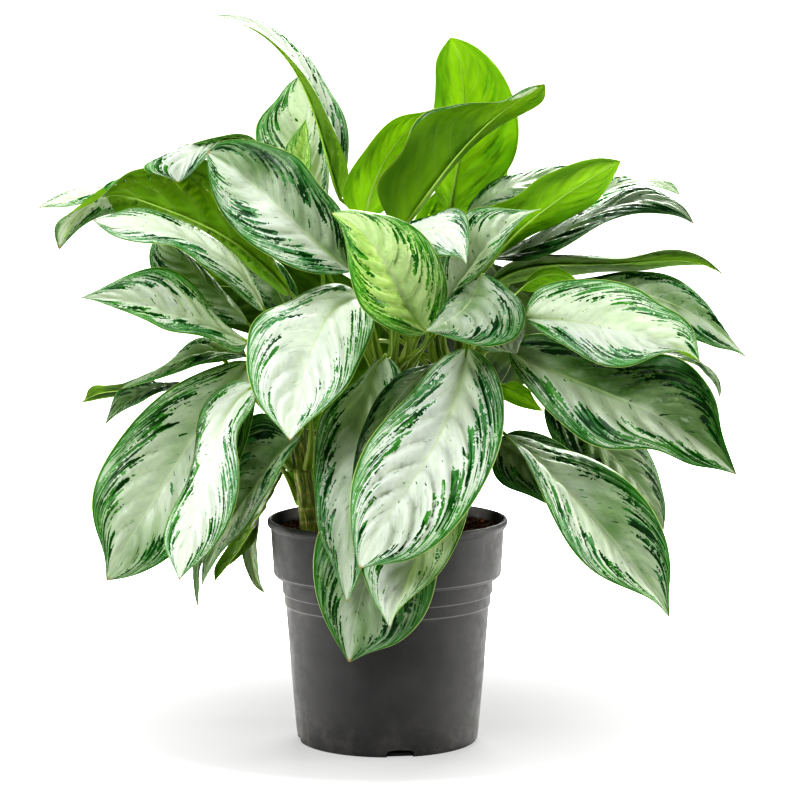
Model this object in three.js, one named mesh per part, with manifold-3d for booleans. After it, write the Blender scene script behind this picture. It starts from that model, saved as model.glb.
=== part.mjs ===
// Potted chinese evergreen: a bushy foliage plant in a black plastic nursery pot.
// Millimetres, +Z up. The origin is the centre of the pot's flat base, on the
// ground. The best side of the plant faces -Y, its right-hand side is +X.
import * as THREE from 'three';
import { mergeVertices } from 'three/addons/utils/BufferGeometryUtils.js';
import Module from 'manifold-3d';

const wasm = await Module();
wasm.setup();

// ---------------------------------------------------------------- dimensions
const RIM_D = 210;           // outside diameter of the pot's rolled rim
const POT_H = 195.7;         // pot height
const BASE_D = 157.2;        // outside diameter at the foot
const WALL = 2.0;            // pot wall
const FLOOR = 3.0;           // pot floor
const SOIL_Z = 185;          // mean level of the soil surface
const SOIL_GAP = 0.4;        // soil to pot wall
const STEM_GAP = 0.35;       // stem to soil
const SEGS = 36;             // segments round the pot and the soil
const SLOT_W = 23;           // drain slots in the foot
const SLOT_H = 6.5;
const SLOT_N = 4;
const SLOT_AZ = -81.8;       // first slot, degrees from +X
const LEAF_T = 1.0;          // leaf blade thickness
const LEAF_EASE = 0.03;       // tolerance that thins out the leaf's triangles
const PETIOLE_R0 = 1.7;      // leaf stalk radius at the blade
const PETIOLE_R1 = 2.5;      // leaf stalk radius at the stem

// Outside of the pot from the centre of the base to the rim: [radius, height].
// The wall tapers down from a straight collar, with three small steps below it.
const POT_OUT = [
  [0, 0], [76.9, 0], [78.0, 0.9], [BASE_D / 2, 3.2], [79.3, 10], [84.7, 76], [88.0, 118],
  [89.4, 120.8], [89.7, 130.0], [91.1, 131.0], [91.4, 141.0], [96.2, 142.2],
  [98.4, 145.6], [100.0, 168], [101.3, 187.4], [104.2, 189.2], [RIM_D / 2, 192.0],
  [104.4, 194.9], [103.0, POT_H], [101.4, 195.4], [100.6, 193.6],
];
const POT_IN = [
  [101.3 - WALL, 187.0], [98.0, 168], [96.7, 150], [95.2, 146.4], [89.4, 144.2], [89.1, 131.8],
  [87.6, 130.6], [87.2, 121.6], [86.0, 118], [82.7, 76], [77.6, 14], [76.6, FLOOR], [0, FLOOR],
];
// Outside of the soil below its surface.
const SOIL_SIDE = [
  [0, FLOOR + SOIL_GAP], [60, FLOOR + SOIL_GAP], [66, 10], [76.2, 16], [85.3, 117.4],
  [86.9, 130.0], [88.7, 145.0], [94.6, 147.9], [96.4, 152], [98.3, 178],
];
const SOIL_TOP = [[96.0, SOIL_Z - 1.5], [80, SOIL_Z], [52, SOIL_Z + 0.8], [24, SOIL_Z + 1.2], [0, SOIL_Z + 1.4]];

// ------------------------------------------------------------------- stems
// [name, radius at the soil, radius at the top, points from below the soil upwards]
const STEMS = [
  ['stem_a', 8.5, 7.0, [[-64.0,-24.0,148.0], [-70.0,-20.0,215.0], [-77.0,-14.0,262.0], [-80.0,-6.0,305.0]]],
  ['stem_b', 9.0, 7.0, [[-40.0,28.0,148.0], [-44.0,34.0,220.0], [-50.0,40.0,280.0], [-54.0,42.0,335.0]]],
  ['stem_c', 9.5, 7.5, [[2.0,2.0,148.0], [2.0,6.0,220.0], [4.0,8.0,280.0], [6.0,8.0,335.0]]],
  ['stem_d', 9.0, 7.0, [[44.0,-20.0,148.0], [52.0,-18.0,220.0], [60.0,-14.0,270.0], [66.0,-8.0,318.0]]],
  ['stem_e', 9.0, 7.0, [[42.0,34.0,148.0], [46.0,40.0,220.0], [52.0,44.0,280.0], [58.0,46.0,335.0]]],
];

// ------------------------------------------------------------------- leaves
// [name, stalk as four Bezier points from the blade to the stem, stations from the
// base of the blade to its tip, each as x, y, z of one edge, the midrib and the other edge]
const YOUNG = ['leaf_06_young', 'leaf_31_young_spear'];
const LEAVES = [
  ['leaf_01', [[66.9,-91.8,352.3], [68.4,-76.6,366.7], [57.5,-27.6,317.1], [60.4,-19.1,305.5]], [
    [65.3,-89.6,352.9,66.9,-91.8,352.3,69.4,-92.6,353.2],
    [48.1,-94.3,345.7,63.7,-105.0,336.4,86.0,-108.8,341.8],
    [34.2,-102.3,333.9,59.2,-118.0,321.0,94.6,-124.4,323.5],
    [22.6,-114.0,320.4,53.5,-130.7,306.1,97.0,-138.5,303.4],
    [10.0,-128.6,308.2,46.7,-142.9,291.7,94.4,-150.8,283.2],
    [-2.8,-144.1,296.6,38.9,-154.3,277.8,87.7,-161.7,263.8],
    [-14.0,-158.7,283.7,30.3,-164.7,264.4,78.1,-171.3,245.6],
    [-22.3,-171.0,268.9,21.0,-174.0,251.4,66.5,-179.9,228.5],
    [-27.6,-181.0,252.8,11.4,-182.0,238.6,53.1,-187.3,212.7],
    [-29.5,-188.8,235.7,1.6,-188.8,225.8,37.1,-193.5,199.4],
    [-29.0,-195.0,218.3,-7.8,-194.6,212.8,18.2,-198.3,190.3],
    [-26.5,-200.2,201.0,-16.0,-199.8,198.9,-2.7,-201.7,187.3],
    [-22.1,-204.8,184.0,-22.1,-204.8,184.0,-22.1,-204.8,184.0],
  ]],
  ['leaf_02', [[-1.8,-60.1,341.7], [0.3,-52.0,346.4], [-6.3,-6.7,332.1], [-1.4,0.1,324.1]], [
    [-10.3,-58.2,341.5,-1.8,-60.1,341.7,10.9,-60.3,339.2],
    [-21.3,-57.0,325.6,-12.6,-69.0,328.8,14.1,-75.2,323.3],
    [-36.3,-60.6,313.6,-16.4,-78.3,312.4,14.4,-90.6,307.1],
    [-50.5,-68.7,301.4,-18.9,-87.4,295.8,12.4,-105.6,291.3],
    [-58.7,-78.8,285.3,-21.9,-96.3,279.3,8.9,-119.3,275.6],
    [-60.7,-88.5,267.2,-24.9,-105.2,262.9,4.3,-130.9,260.2],
    [-61.6,-97.2,249.0,-27.5,-112.7,246.4,-0.7,-138.7,244.5],
    [-61.3,-105.1,230.7,-29.7,-119.3,229.8,-5.8,-143.6,228.5],
    [-59.1,-112.5,212.6,-31.4,-125.6,213.1,-10.5,-146.7,212.1],
    [-54.1,-119.6,195.1,-32.6,-131.6,196.4,-14.7,-148.5,195.4],
    [-46.7,-126.6,178.4,-33.2,-136.7,179.6,-19.4,-148.4,178.5],
    [-39.9,-134.5,161.7,-33.3,-140.8,162.6,-25.5,-147.5,161.9],
    [-32.9,-143.3,145.4,-32.9,-143.9,145.5,-32.8,-146.0,145.9],
  ]],
  ['leaf_03', [[44.6,-73.1,338.7], [55.1,-52.1,344.6], [33.9,-19.3,340.4], [55.1,-10.6,309.6]], [
    [36.2,-72.3,336.1,44.6,-73.1,338.7,48.8,-74.0,332.0],
    [23.6,-73.7,334.6,34.0,-83.3,333.0,45.1,-88.2,321.9],
    [11.8,-75.6,329.8,24.4,-92.4,326.0,40.5,-101.1,312.1],
    [1.6,-79.9,322.6,15.8,-101.2,318.1,35.5,-112.1,302.4],
    [-6.8,-85.9,313.6,8.1,-109.5,309.3,30.0,-121.2,292.8],
    [-13.4,-92.9,303.4,1.3,-117.2,299.9,24.1,-128.3,283.2],
    [-18.4,-100.5,292.5,-4.6,-124.0,289.9,18.0,-133.8,273.7],
    [-22.2,-107.8,281.2,-9.9,-129.5,279.5,11.7,-138.0,264.1],
    [-24.9,-116.1,269.8,-14.4,-135.0,268.8,5.3,-141.5,254.6],
    [-26.8,-124.7,258.4,-18.5,-140.1,257.9,-1.6,-144.7,245.4],
    [-27.9,-133.6,246.9,-22.2,-144.6,246.9,-9.4,-147.6,236.9],
    [-28.5,-143.0,235.6,-25.5,-148.8,235.7,-18.3,-150.3,229.6],
    [-28.5,-152.8,224.4,-28.5,-152.8,224.4,-28.5,-152.8,224.4],
  ]],
  ['leaf_04', [[56.7,-112.4,268.9], [58.5,-101.3,271.6], [59.6,-43.8,261.7], [60.2,-26.4,233.1]], [
    [35.9,-109.5,268.6,56.7,-112.4,268.9,69.6,-93.4,249.6],
    [27.7,-116.4,257.6,53.6,-120.4,257.0,70.2,-111.3,239.0],
    [18.9,-123.6,247.1,49.7,-128.7,245.3,68.7,-136.8,229.6],
    [10.0,-128.0,236.4,45.4,-133.6,233.5,66.0,-148.4,218.7],
    [1.4,-131.9,225.5,40.6,-137.3,221.6,62.0,-156.1,207.5],
    [-6.6,-135.2,214.1,35.5,-140.8,209.9,56.9,-161.4,196.5],
    [-13.5,-137.3,201.9,30.3,-142.8,198.1,50.9,-163.9,185.6],
    [-18.9,-138.7,188.8,25.0,-142.2,185.9,43.8,-162.8,174.8],
    [-21.4,-143.0,175.4,19.8,-146.0,174.3,35.0,-165.1,165.9],
    [-17.1,-147.7,162.5,14.8,-150.6,162.8,25.2,-167.3,158.1],
    [-11.7,-152.1,150.0,10.2,-154.8,151.1,15.5,-167.7,149.8],
    [-4.3,-158.1,138.9,6.0,-159.0,139.3,7.4,-166.2,139.7],
    [2.7,-162.7,127.2,2.7,-162.8,127.3,2.7,-163.0,127.3],
  ]],
  ['leaf_05', [[26.2,-62.8,292.6], [33.7,-48.1,312.2], [43.2,-22.9,309.0], [55.0,-16.7,296.2]], [
    [26.2,-58.0,292.1,26.2,-62.8,292.6,26.1,-67.6,293.1],
    [9.3,-47.3,278.3,21.1,-70.0,275.8,33.1,-93.5,276.4],
    [-6.6,-43.7,264.0,16.3,-77.4,259.1,38.4,-113.0,258.7],
    [-21.2,-51.1,249.7,11.4,-87.1,242.8,42.0,-125.9,240.0],
    [-34.2,-72.3,236.2,6.4,-102.2,227.4,44.0,-135.0,220.7],
    [-45.8,-85.6,220.8,1.0,-108.8,211.0,44.4,-134.6,199.9],
    [-55.3,-98.1,204.2,-4.9,-113.5,194.6,43.3,-130.9,178.5],
    [-60.8,-109.2,185.9,-11.0,-117.3,178.2,40.4,-127.2,157.3],
    [-61.6,-116.9,166.4,-16.8,-119.5,161.4,34.3,-125.1,137.0],
    [-58.6,-120.0,146.4,-22.0,-119.7,144.0,22.7,-124.1,119.5],
    [-51.8,-123.8,127.4,-26.0,-122.3,126.8,6.3,-125.3,107.1],
    [-42.2,-126.5,109.5,-29.1,-125.3,109.5,-13.2,-126.6,100.7],
    [-31.6,-128.3,92.1,-31.6,-128.3,92.1,-31.6,-128.2,92.1],
  ]],
  ['leaf_06_young', [[33.5,-84.2,365.0], [35.2,-57.2,346.1], [16.3,-18.0,341.2], [7.4,-2.4,324.3]], [
    [33.5,-82.7,364.9,33.5,-84.2,365.0,33.5,-87.6,363.6],
    [44.1,-88.9,375.2,25.9,-96.4,373.7,21.5,-113.7,363.8],
    [49.3,-96.7,389.3,19.5,-108.3,383.7,9.8,-134.8,368.5],
    [49.6,-106.4,404.5,14.1,-119.5,394.0,-1.0,-150.0,374.8],
    [46.5,-115.5,419.2,9.2,-129.3,404.3,-10.9,-159.8,382.1],
    [41.0,-123.1,433.0,4.5,-137.1,414.5,-19.1,-165.4,391.1],
    [33.1,-128.2,445.3,-0.3,-142.3,424.5,-24.7,-167.5,401.6],
    [22.6,-129.6,455.1,-5.5,-144.4,434.0,-28.3,-166.6,412.9],
    [10.0,-129.2,461.7,-11.5,-143.9,442.9,-30.5,-163.2,424.3],
    [-3.6,-128.1,465.9,-18.4,-141.6,450.9,-32.3,-157.7,435.7],
    [-17.6,-127.4,468.7,-26.5,-138.0,457.7,-34.6,-150.2,446.9],
    [-31.8,-127.8,469.8,-35.7,-133.8,463.0,-38.6,-140.6,457.7],
    [-45.6,-129.4,466.7,-45.6,-129.5,466.7,-45.6,-129.6,466.7],
  ]],
  ['leaf_07', [[-21.4,-43.7,390.6], [-12.9,-30.8,391.1], [-18.5,0.1,364.5], [-5.0,6.7,323.1]], [
    [-21.5,-40.0,390.3,-21.4,-43.7,390.6,-21.4,-45.1,390.7],
    [-35.6,-39.7,401.4,-33.0,-57.7,389.2,-12.3,-66.9,383.6],
    [-53.6,-45.4,401.9,-43.1,-71.8,384.3,-10.2,-87.0,373.0],
    [-70.3,-58.2,396.3,-50.6,-85.9,376.3,-13.5,-104.8,362.6],
    [-85.6,-76.6,388.9,-56.0,-99.3,366.9,-18.1,-120.1,352.5],
    [-101.5,-97.0,383.8,-60.7,-111.9,357.2,-22.8,-132.9,342.4],
    [-112.6,-116.0,372.8,-64.8,-123.4,347.3,-28.1,-143.5,332.4],
    [-115.4,-131.4,356.7,-68.1,-133.7,337.0,-34.7,-152.6,323.2],
    [-114.7,-143.0,340.0,-70.7,-142.8,326.5,-42.9,-160.3,315.1],
    [-110.3,-151.6,323.7,-72.8,-150.6,315.8,-51.9,-166.2,307.8],
    [-101.8,-158.4,308.8,-74.7,-157.4,305.0,-61.3,-169.8,300.6],
    [-89.9,-164.0,296.3,-76.5,-163.6,294.2,-70.3,-170.7,292.6],
    [-78.5,-169.4,283.4,-78.5,-169.4,283.4,-78.5,-169.6,283.5],
  ]],
  ['leaf_08', [[-29.6,-62.1,413.9], [25.9,-54.8,399.6], [6.5,-39.5,365.8], [4.2,-2.6,311.5]], [
    [-29.6,-58.9,413.7,-29.6,-62.1,413.9,-29.5,-64.9,414.1],
    [-33.1,-55.2,429.2,-40.0,-65.5,422.2,-44.1,-78.1,412.7],
    [-34.2,-55.6,445.4,-50.2,-68.7,430.7,-58.9,-87.0,414.1],
    [-36.9,-59.5,461.5,-60.0,-71.6,439.6,-73.3,-90.8,417.9],
    [-45.4,-64.5,475.1,-69.7,-73.7,448.6,-87.2,-90.4,423.3],
    [-56.2,-68.6,487.1,-79.2,-74.4,457.7,-100.6,-86.9,429.9],
    [-65.2,-70.0,500.3,-88.8,-73.4,466.7,-113.3,-81.7,437.8],
    [-76.2,-68.3,511.8,-98.5,-70.2,475.5,-124.9,-75.4,447.3],
    [-90.9,-64.8,518.2,-108.5,-65.8,484.1,-135.0,-69.2,458.3],
    [-106.3,-62.2,523.1,-118.7,-63.4,492.5,-142.8,-65.8,471.1],
    [-122.4,-58.2,525.6,-129.2,-60.1,500.5,-148.0,-63.1,485.1],
    [-138.6,-52.4,523.4,-140.4,-54.5,507.9,-151.0,-56.7,499.7],
    [-152.2,-46.6,514.4,-152.1,-48.2,514.5,-152.0,-49.4,514.5],
  ]],
  ['leaf_09', [[2.4,-53.5,421.8], [-11.2,-29.3,388.9], [36.1,-23.3,369.1], [12.1,-0.3,320.7]], [
    [2.4,-51.5,421.7,2.4,-53.5,421.8,2.4,-56.0,422.0],
    [-0.5,-48.4,432.7,4.7,-61.1,429.7,7.9,-73.6,424.6],
    [2.5,-48.0,443.8,8.5,-68.7,436.9,13.4,-87.7,426.4],
    [10.8,-50.6,452.0,13.7,-75.9,442.9,19.0,-97.8,427.6],
    [21.2,-56.0,457.2,20.0,-82.9,447.6,24.5,-104.6,428.2],
    [32.3,-64.1,460.9,27.1,-89.3,450.6,30.1,-109.3,428.6],
    [42.9,-74.5,465.6,34.6,-95.2,451.7,35.6,-112.5,429.0],
    [53.6,-86.3,469.7,42.0,-100.8,450.4,41.1,-116.1,429.7],
    [63.7,-97.5,466.4,48.5,-106.0,446.9,46.5,-119.8,430.6],
    [68.2,-106.6,456.7,54.0,-110.7,441.9,52.0,-122.7,431.1],
    [68.3,-113.3,445.7,58.6,-115.0,436.2,57.4,-124.9,430.4],
    [67.0,-118.3,434.7,62.6,-118.8,430.0,62.3,-124.6,427.8],
    [66.0,-122.6,423.6,66.0,-122.5,423.6,66.0,-122.6,423.6],
  ]],
  ['leaf_10', [[79.7,-74.4,413.0], [89.5,-56.3,406.8], [9.3,-17.3,338.1], [10.0,-1.4,299.1]], [
    [79.8,-71.0,412.8,79.7,-74.4,413.0,79.6,-77.6,413.2],
    [76.3,-69.7,408.4,77.5,-86.9,408.4,91.1,-94.0,409.9],
    [71.3,-70.8,405.4,75.1,-97.8,403.6,101.2,-104.6,403.1],
    [66.0,-73.0,403.2,72.5,-105.1,398.8,110.4,-114.1,395.2],
    [60.6,-82.0,401.4,69.3,-115.9,394.5,114.4,-124.8,384.3],
    [55.5,-93.8,399.1,65.7,-127.1,390.7,112.1,-135.2,372.6],
    [51.3,-106.0,395.8,61.5,-137.5,387.2,104.0,-144.9,363.5],
    [47.8,-117.9,392.1,56.9,-146.6,384.2,92.2,-153.4,359.4],
    [44.7,-129.5,388.0,52.1,-154.5,381.5,79.5,-160.6,359.0],
    [41.8,-140.9,384.0,47.0,-161.4,379.2,66.9,-166.6,361.2],
    [38.7,-152.7,380.1,41.7,-167.5,377.2,54.8,-171.4,365.5],
    [35.2,-165.1,376.6,36.4,-173.1,375.5,43.2,-175.2,370.4],
    [31.1,-178.3,373.9,31.1,-178.4,373.9,31.1,-178.4,373.9],
  ]],
  ['leaf_11', [[51.2,-22.4,385.6], [38.0,-9.2,369.0], [23.4,5.5,355.2], [16.5,7.7,328.1]], [
    [45.2,-21.7,387.2,51.2,-22.4,385.6,55.5,-24.5,385.7],
    [41.6,-25.1,399.4,56.4,-29.0,394.2,60.3,-40.8,394.7],
    [41.3,-28.4,412.0,61.6,-34.8,402.7,66.8,-50.6,401.8],
    [44.1,-33.3,424.3,66.9,-41.1,411.1,73.8,-60.7,408.3],
    [48.8,-39.3,436.0,72.3,-47.2,419.3,80.4,-68.4,415.0],
    [54.3,-45.8,447.3,78.0,-53.0,427.3,86.3,-74.8,422.4],
    [60.7,-52.7,458.0,84.0,-59.2,434.9,91.4,-84.2,430.4],
    [70.1,-58.0,465.8,90.4,-64.2,442.1,96.5,-88.4,438.1],
    [81.8,-62.1,468.8,97.3,-68.4,448.8,101.7,-89.8,445.7],
    [93.8,-65.6,468.5,104.6,-72.1,454.8,107.3,-89.7,452.9],
    [105.8,-69.5,467.1,112.5,-75.5,460.0,113.6,-88.1,459.5],
    [117.7,-74.9,466.7,120.8,-78.7,464.4,120.9,-85.4,464.9],
    [129.5,-81.7,467.9,129.5,-81.9,467.9,129.5,-82.0,467.9],
  ]],
  ['leaf_12', [[85.5,-51.3,393.7], [88.6,-34.1,395.8], [85.5,-3.8,325.5], [75.5,-6.7,312.7]], [
    [85.5,-52.3,393.8,85.5,-51.3,393.7,85.5,-51.4,393.7],
    [79.5,-62.3,390.3,85.9,-59.7,389.6,91.4,-59.6,396.5],
    [75.2,-71.2,385.2,87.2,-68.0,385.7,97.5,-67.8,397.8],
    [72.3,-78.8,379.2,89.2,-76.1,382.1,103.6,-76.0,397.3],
    [70.6,-85.7,372.8,91.6,-83.9,378.9,108.8,-84.2,394.6],
    [70.2,-92.2,366.3,94.3,-91.0,375.8,112.6,-91.4,390.1],
    [71.3,-98.4,359.9,97.2,-97.4,372.7,114.9,-97.8,384.8],
    [74.5,-104.1,354.3,100.0,-103.1,369.6,115.9,-103.1,378.9],
    [80.4,-108.9,351.2,102.7,-108.0,366.3,115.7,-107.0,372.8],
    [87.2,-112.9,351.0,105.0,-112.3,362.7,114.3,-110.4,366.8],
    [94.1,-116.4,351.5,106.7,-116.0,358.7,112.1,-113.7,361.1],
    [100.9,-119.6,351.0,107.5,-119.4,354.4,109.5,-117.7,355.5],
    [107.5,-122.7,350.1,107.5,-122.7,350.1,107.5,-122.6,350.1],
  ]],
  ['leaf_13', [[-104.0,-42.8,379.4], [-77.2,-32.8,351.6], [-88.8,-21.5,310.3], [-86.4,-16.0,294.3]], [
    [-104.1,-40.2,379.2,-104.0,-42.8,379.4,-106.5,-45.1,377.9],
    [-109.2,-33.0,393.6,-110.5,-48.2,392.8,-116.9,-61.9,387.5],
    [-116.2,-29.3,407.5,-118.6,-53.5,405.0,-126.9,-75.8,397.4],
    [-125.2,-29.3,420.3,-128.0,-58.7,416.1,-136.8,-86.3,407.1],
    [-136.1,-32.1,431.5,-138.7,-63.6,425.7,-146.8,-93.8,416.6],
    [-148.6,-36.9,440.8,-150.4,-68.1,434.1,-157.1,-98.9,425.7],
    [-161.2,-43.3,449.6,-162.8,-72.4,441.0,-168.1,-101.6,433.6],
    [-174.1,-51.0,457.8,-175.8,-76.3,446.6,-180.7,-102.1,438.7],
    [-187.7,-59.6,464.2,-189.2,-79.9,451.0,-194.5,-100.5,439.9],
    [-202.0,-68.3,467.9,-202.9,-83.2,454.3,-208.4,-97.7,440.8],
    [-216.6,-76.5,467.4,-216.8,-86.2,456.6,-222.0,-94.9,443.8],
    [-230.6,-84.2,463.2,-230.8,-89.1,458.0,-234.3,-93.0,450.1],
    [-244.5,-91.9,459.2,-244.5,-91.9,459.2,-244.5,-91.8,459.2],
  ]],
  ['leaf_14', [[-118.5,-61.3,355.4], [-54.5,-42.9,329.8], [-63.7,-42.8,266.9], [-68.6,-25.7,243.6]], [
    [-118.7,-57.9,358.5,-118.5,-61.3,355.4,-119.3,-64.1,337.9],
    [-131.6,-51.9,364.4,-129.6,-65.9,360.3,-129.2,-78.5,346.1],
    [-141.7,-49.7,374.4,-140.7,-70.5,365.0,-138.5,-91.6,354.7],
    [-149.6,-52.6,386.3,-151.8,-74.9,369.7,-149.1,-101.5,361.1],
    [-157.6,-59.6,398.2,-163.0,-79.0,374.1,-160.9,-108.0,364.1],
    [-167.1,-68.4,408.6,-174.2,-82.9,378.4,-173.1,-111.7,365.7],
    [-178.7,-76.6,416.1,-185.4,-86.5,382.3,-185.0,-113.6,368.7],
    [-191.9,-83.3,419.1,-196.8,-89.8,385.9,-195.8,-114.4,374.8],
    [-205.3,-88.3,417.2,-208.2,-92.6,389.0,-206.8,-114.1,380.6],
    [-218.1,-92.1,412.5,-219.8,-95.1,391.5,-218.3,-112.7,385.3],
    [-230.4,-95.4,406.5,-231.5,-97.4,393.4,-230.2,-110.1,389.5],
    [-242.7,-98.4,400.3,-243.3,-99.5,394.6,-242.3,-106.3,393.3],
    [-255.1,-101.6,394.9,-255.1,-101.6,394.9,-255.0,-101.7,394.9],
  ]],
  ['leaf_15', [[-117.6,-31.4,334.7], [-105.5,-23.5,338.2], [-90.3,-22.9,290.3], [-86.3,-18.6,276.7]], [
    [-121.1,-28.5,337.9,-117.6,-31.4,334.7,-113.2,-34.0,328.1],
    [-142.0,-30.3,332.5,-128.8,-40.3,320.8,-111.7,-50.1,309.6],
    [-162.2,-35.6,325.5,-139.7,-48.9,306.9,-113.4,-63.4,291.1],
    [-180.8,-44.9,316.3,-150.4,-57.2,292.8,-117.8,-72.9,272.8],
    [-197.5,-56.7,304.7,-160.7,-65.5,278.5,-124.5,-79.6,254.8],
    [-212.1,-68.8,291.0,-170.6,-73.4,263.9,-132.9,-84.4,237.4],
    [-224.8,-79.7,275.5,-180.1,-80.7,249.2,-142.9,-88.4,220.8],
    [-236.0,-88.6,258.7,-189.5,-87.6,234.4,-154.1,-92.6,205.0],
    [-244.6,-95.3,240.1,-198.8,-93.3,219.3,-166.7,-96.6,190.4],
    [-247.5,-100.2,219.6,-208.0,-97.9,204.2,-181.3,-100.3,177.7],
    [-243.5,-103.6,199.0,-217.3,-101.8,188.9,-197.8,-103.6,167.6],
    [-237.0,-106.1,178.8,-226.5,-105.2,173.5,-216.1,-106.2,160.9],
    [-235.3,-108.4,157.9,-235.3,-108.4,157.9,-235.3,-108.4,157.9],
  ]],
  ['leaf_16', [[-112.7,-64.3,317.5], [-107.4,-48.1,305.3], [-86.9,-33.4,292.9], [-84.4,-21.3,264.6]], [
    [-118.6,-62.3,324.1,-112.7,-64.3,317.5,-109.2,-67.0,310.1],
    [-134.9,-61.0,319.5,-123.7,-74.1,309.5,-113.8,-89.3,299.0],
    [-148.3,-61.8,309.4,-132.3,-84.0,298.5,-121.3,-108.8,289.0],
    [-157.6,-65.1,295.7,-138.6,-93.5,286.3,-124.7,-123.5,276.7],
    [-161.8,-70.4,280.0,-143.3,-102.5,273.3,-122.6,-132.9,263.2],
    [-162.8,-77.6,263.9,-147.0,-110.9,259.9,-121.2,-138.4,249.2],
    [-165.0,-87.0,248.4,-150.2,-118.7,246.5,-122.6,-141.4,235.0],
    [-170.2,-98.7,234.3,-153.7,-125.7,233.0,-126.4,-143.2,221.0],
    [-177.3,-112.3,221.5,-157.5,-132.2,219.7,-132.3,-144.7,207.7],
    [-183.2,-125.9,208.2,-161.5,-138.1,206.3,-140.2,-146.3,195.5],
    [-184.2,-137.4,193.5,-165.3,-143.5,192.9,-149.8,-148.4,184.8],
    [-177.6,-146.1,179.5,-168.6,-148.5,179.3,-160.9,-150.7,175.6],
    [-170.8,-153.3,165.5,-170.8,-153.2,165.5,-170.8,-153.2,165.5],
  ]],
  ['leaf_17', [[-73.8,-41.2,273.8], [-70.8,-39.4,277.9], [-75.0,-28.1,278.0], [-76.0,-22.6,271.8]], [
    [-78.9,-41.5,271.2,-73.8,-41.2,273.8,-72.0,-43.9,271.5],
    [-92.1,-41.8,281.0,-82.9,-43.7,264.6,-79.3,-58.2,262.9],
    [-104.7,-41.9,291.7,-91.8,-46.2,255.2,-85.9,-69.0,253.4],
    [-119.8,-43.1,286.3,-100.4,-48.5,245.6,-92.2,-75.9,243.2],
    [-129.7,-44.1,273.1,-108.7,-50.6,235.7,-98.4,-79.5,232.4],
    [-135.2,-44.1,257.1,-116.7,-52.3,225.5,-104.8,-80.8,221.5],
    [-139.1,-43.1,240.6,-124.4,-53.9,215.0,-111.7,-80.6,210.5],
    [-143.7,-42.3,224.2,-131.5,-55.2,204.1,-119.4,-79.5,200.0],
    [-148.5,-42.7,208.0,-138.2,-56.4,192.8,-127.9,-77.5,189.8],
    [-153.0,-44.9,192.0,-144.3,-57.4,181.3,-136.7,-74.8,179.8],
    [-156.6,-48.9,176.1,-149.7,-58.5,169.3,-145.3,-71.1,169.2],
    [-158.6,-54.2,160.2,-154.3,-59.5,157.1,-152.6,-66.3,157.5],
    [-158.1,-60.4,144.5,-158.1,-60.5,144.6,-158.1,-60.5,144.6],
  ]],
  ['leaf_18', [[-85.4,15.3,251.2], [-83.0,15.1,256.8], [-78.4,-0.6,256.3], [-75.8,-5.3,249.2]], [
    [-89.8,16.5,248.4,-85.4,15.3,251.2,-83.7,17.1,248.3],
    [-95.1,25.2,237.6,-89.6,15.3,241.0,-89.8,27.1,237.4],
    [-100.5,28.4,227.7,-94.0,13.3,231.2,-96.7,32.3,227.7],
    [-106.1,30.8,218.0,-98.5,8.2,221.9,-103.3,30.9,218.8],
    [-111.9,33.1,208.4,-103.3,8.2,212.0,-109.1,32.7,208.9],
    [-117.9,34.1,199.1,-108.5,9.2,202.1,-113.0,33.9,198.1],
    [-123.9,34.1,190.0,-113.9,10.9,192.2,-114.9,34.4,186.9],
    [-130.0,33.0,181.1,-119.6,13.1,182.4,-116.8,34.3,175.7],
    [-136.0,30.9,172.4,-125.6,15.4,172.6,-121.5,33.8,165.6],
    [-142.1,28.7,163.8,-131.8,17.7,163.0,-129.4,32.7,157.8],
    [-148.2,26.3,155.1,-138.4,19.7,153.7,-138.1,30.5,151.2],
    [-152.9,23.6,145.9,-145.1,20.8,144.6,-146.3,26.6,144.3],
    [-152.1,21.5,135.8,-152.1,21.6,135.8,-152.1,21.7,135.8],
  ]],
  ['leaf_19', [[-130.5,40.7,236.4], [-106.3,42.9,264.6], [-66.3,37.8,274.4], [-58.8,37.4,259.1]], [
    [-130.6,42.4,236.1,-130.5,40.7,236.4,-130.5,39.4,236.5],
    [-139.0,52.3,226.0,-136.8,42.3,226.5,-130.3,34.1,225.8],
    [-146.6,59.8,215.4,-142.7,43.9,216.2,-132.5,30.5,215.1],
    [-153.3,64.6,204.7,-148.2,45.4,205.8,-136.6,28.7,204.7],
    [-159.2,67.3,193.8,-153.1,46.9,195.1,-141.9,28.3,194.6],
    [-164.2,68.7,182.7,-157.6,48.4,184.1,-147.6,29.1,184.5],
    [-168.3,69.1,171.3,-161.5,49.8,172.9,-153.3,30.9,174.2],
    [-171.5,68.7,159.8,-164.8,51.3,161.5,-158.4,33.7,163.3],
    [-173.5,67.8,148.1,-167.4,52.9,149.8,-162.6,37.4,151.9],
    [-174.4,66.4,136.3,-169.2,54.5,138.0,-165.8,42.0,140.0],
    [-174.0,64.5,124.6,-170.2,56.2,126.1,-168.0,47.2,127.6],
    [-172.3,62.3,113.1,-170.1,57.9,114.1,-169.0,53.1,115.0],
    [-169.0,59.7,102.2,-169.0,59.7,102.2,-169.0,59.6,102.2],
  ]],
  ['leaf_20', [[-111.2,42.7,231.7], [-111.5,31.1,251.9], [-90.1,-7.7,247.3], [-78.3,-12.6,215.9]], [
    [-111.1,40.0,232.0,-111.2,42.7,231.7,-111.1,41.5,231.8],
    [-116.0,36.7,223.7,-113.5,48.0,221.5,-111.3,40.7,222.6],
    [-120.2,34.9,214.7,-115.7,49.5,211.9,-111.6,38.0,213.6],
    [-123.8,36.0,205.0,-117.9,51.2,202.3,-112.3,37.5,204.3],
    [-126.6,36.7,195.0,-120.0,52.4,192.6,-113.1,38.1,194.9],
    [-128.6,37.9,184.8,-121.7,53.3,182.9,-114.0,39.1,185.4],
    [-129.7,39.6,174.4,-122.9,53.9,173.2,-114.9,40.4,175.9],
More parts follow.
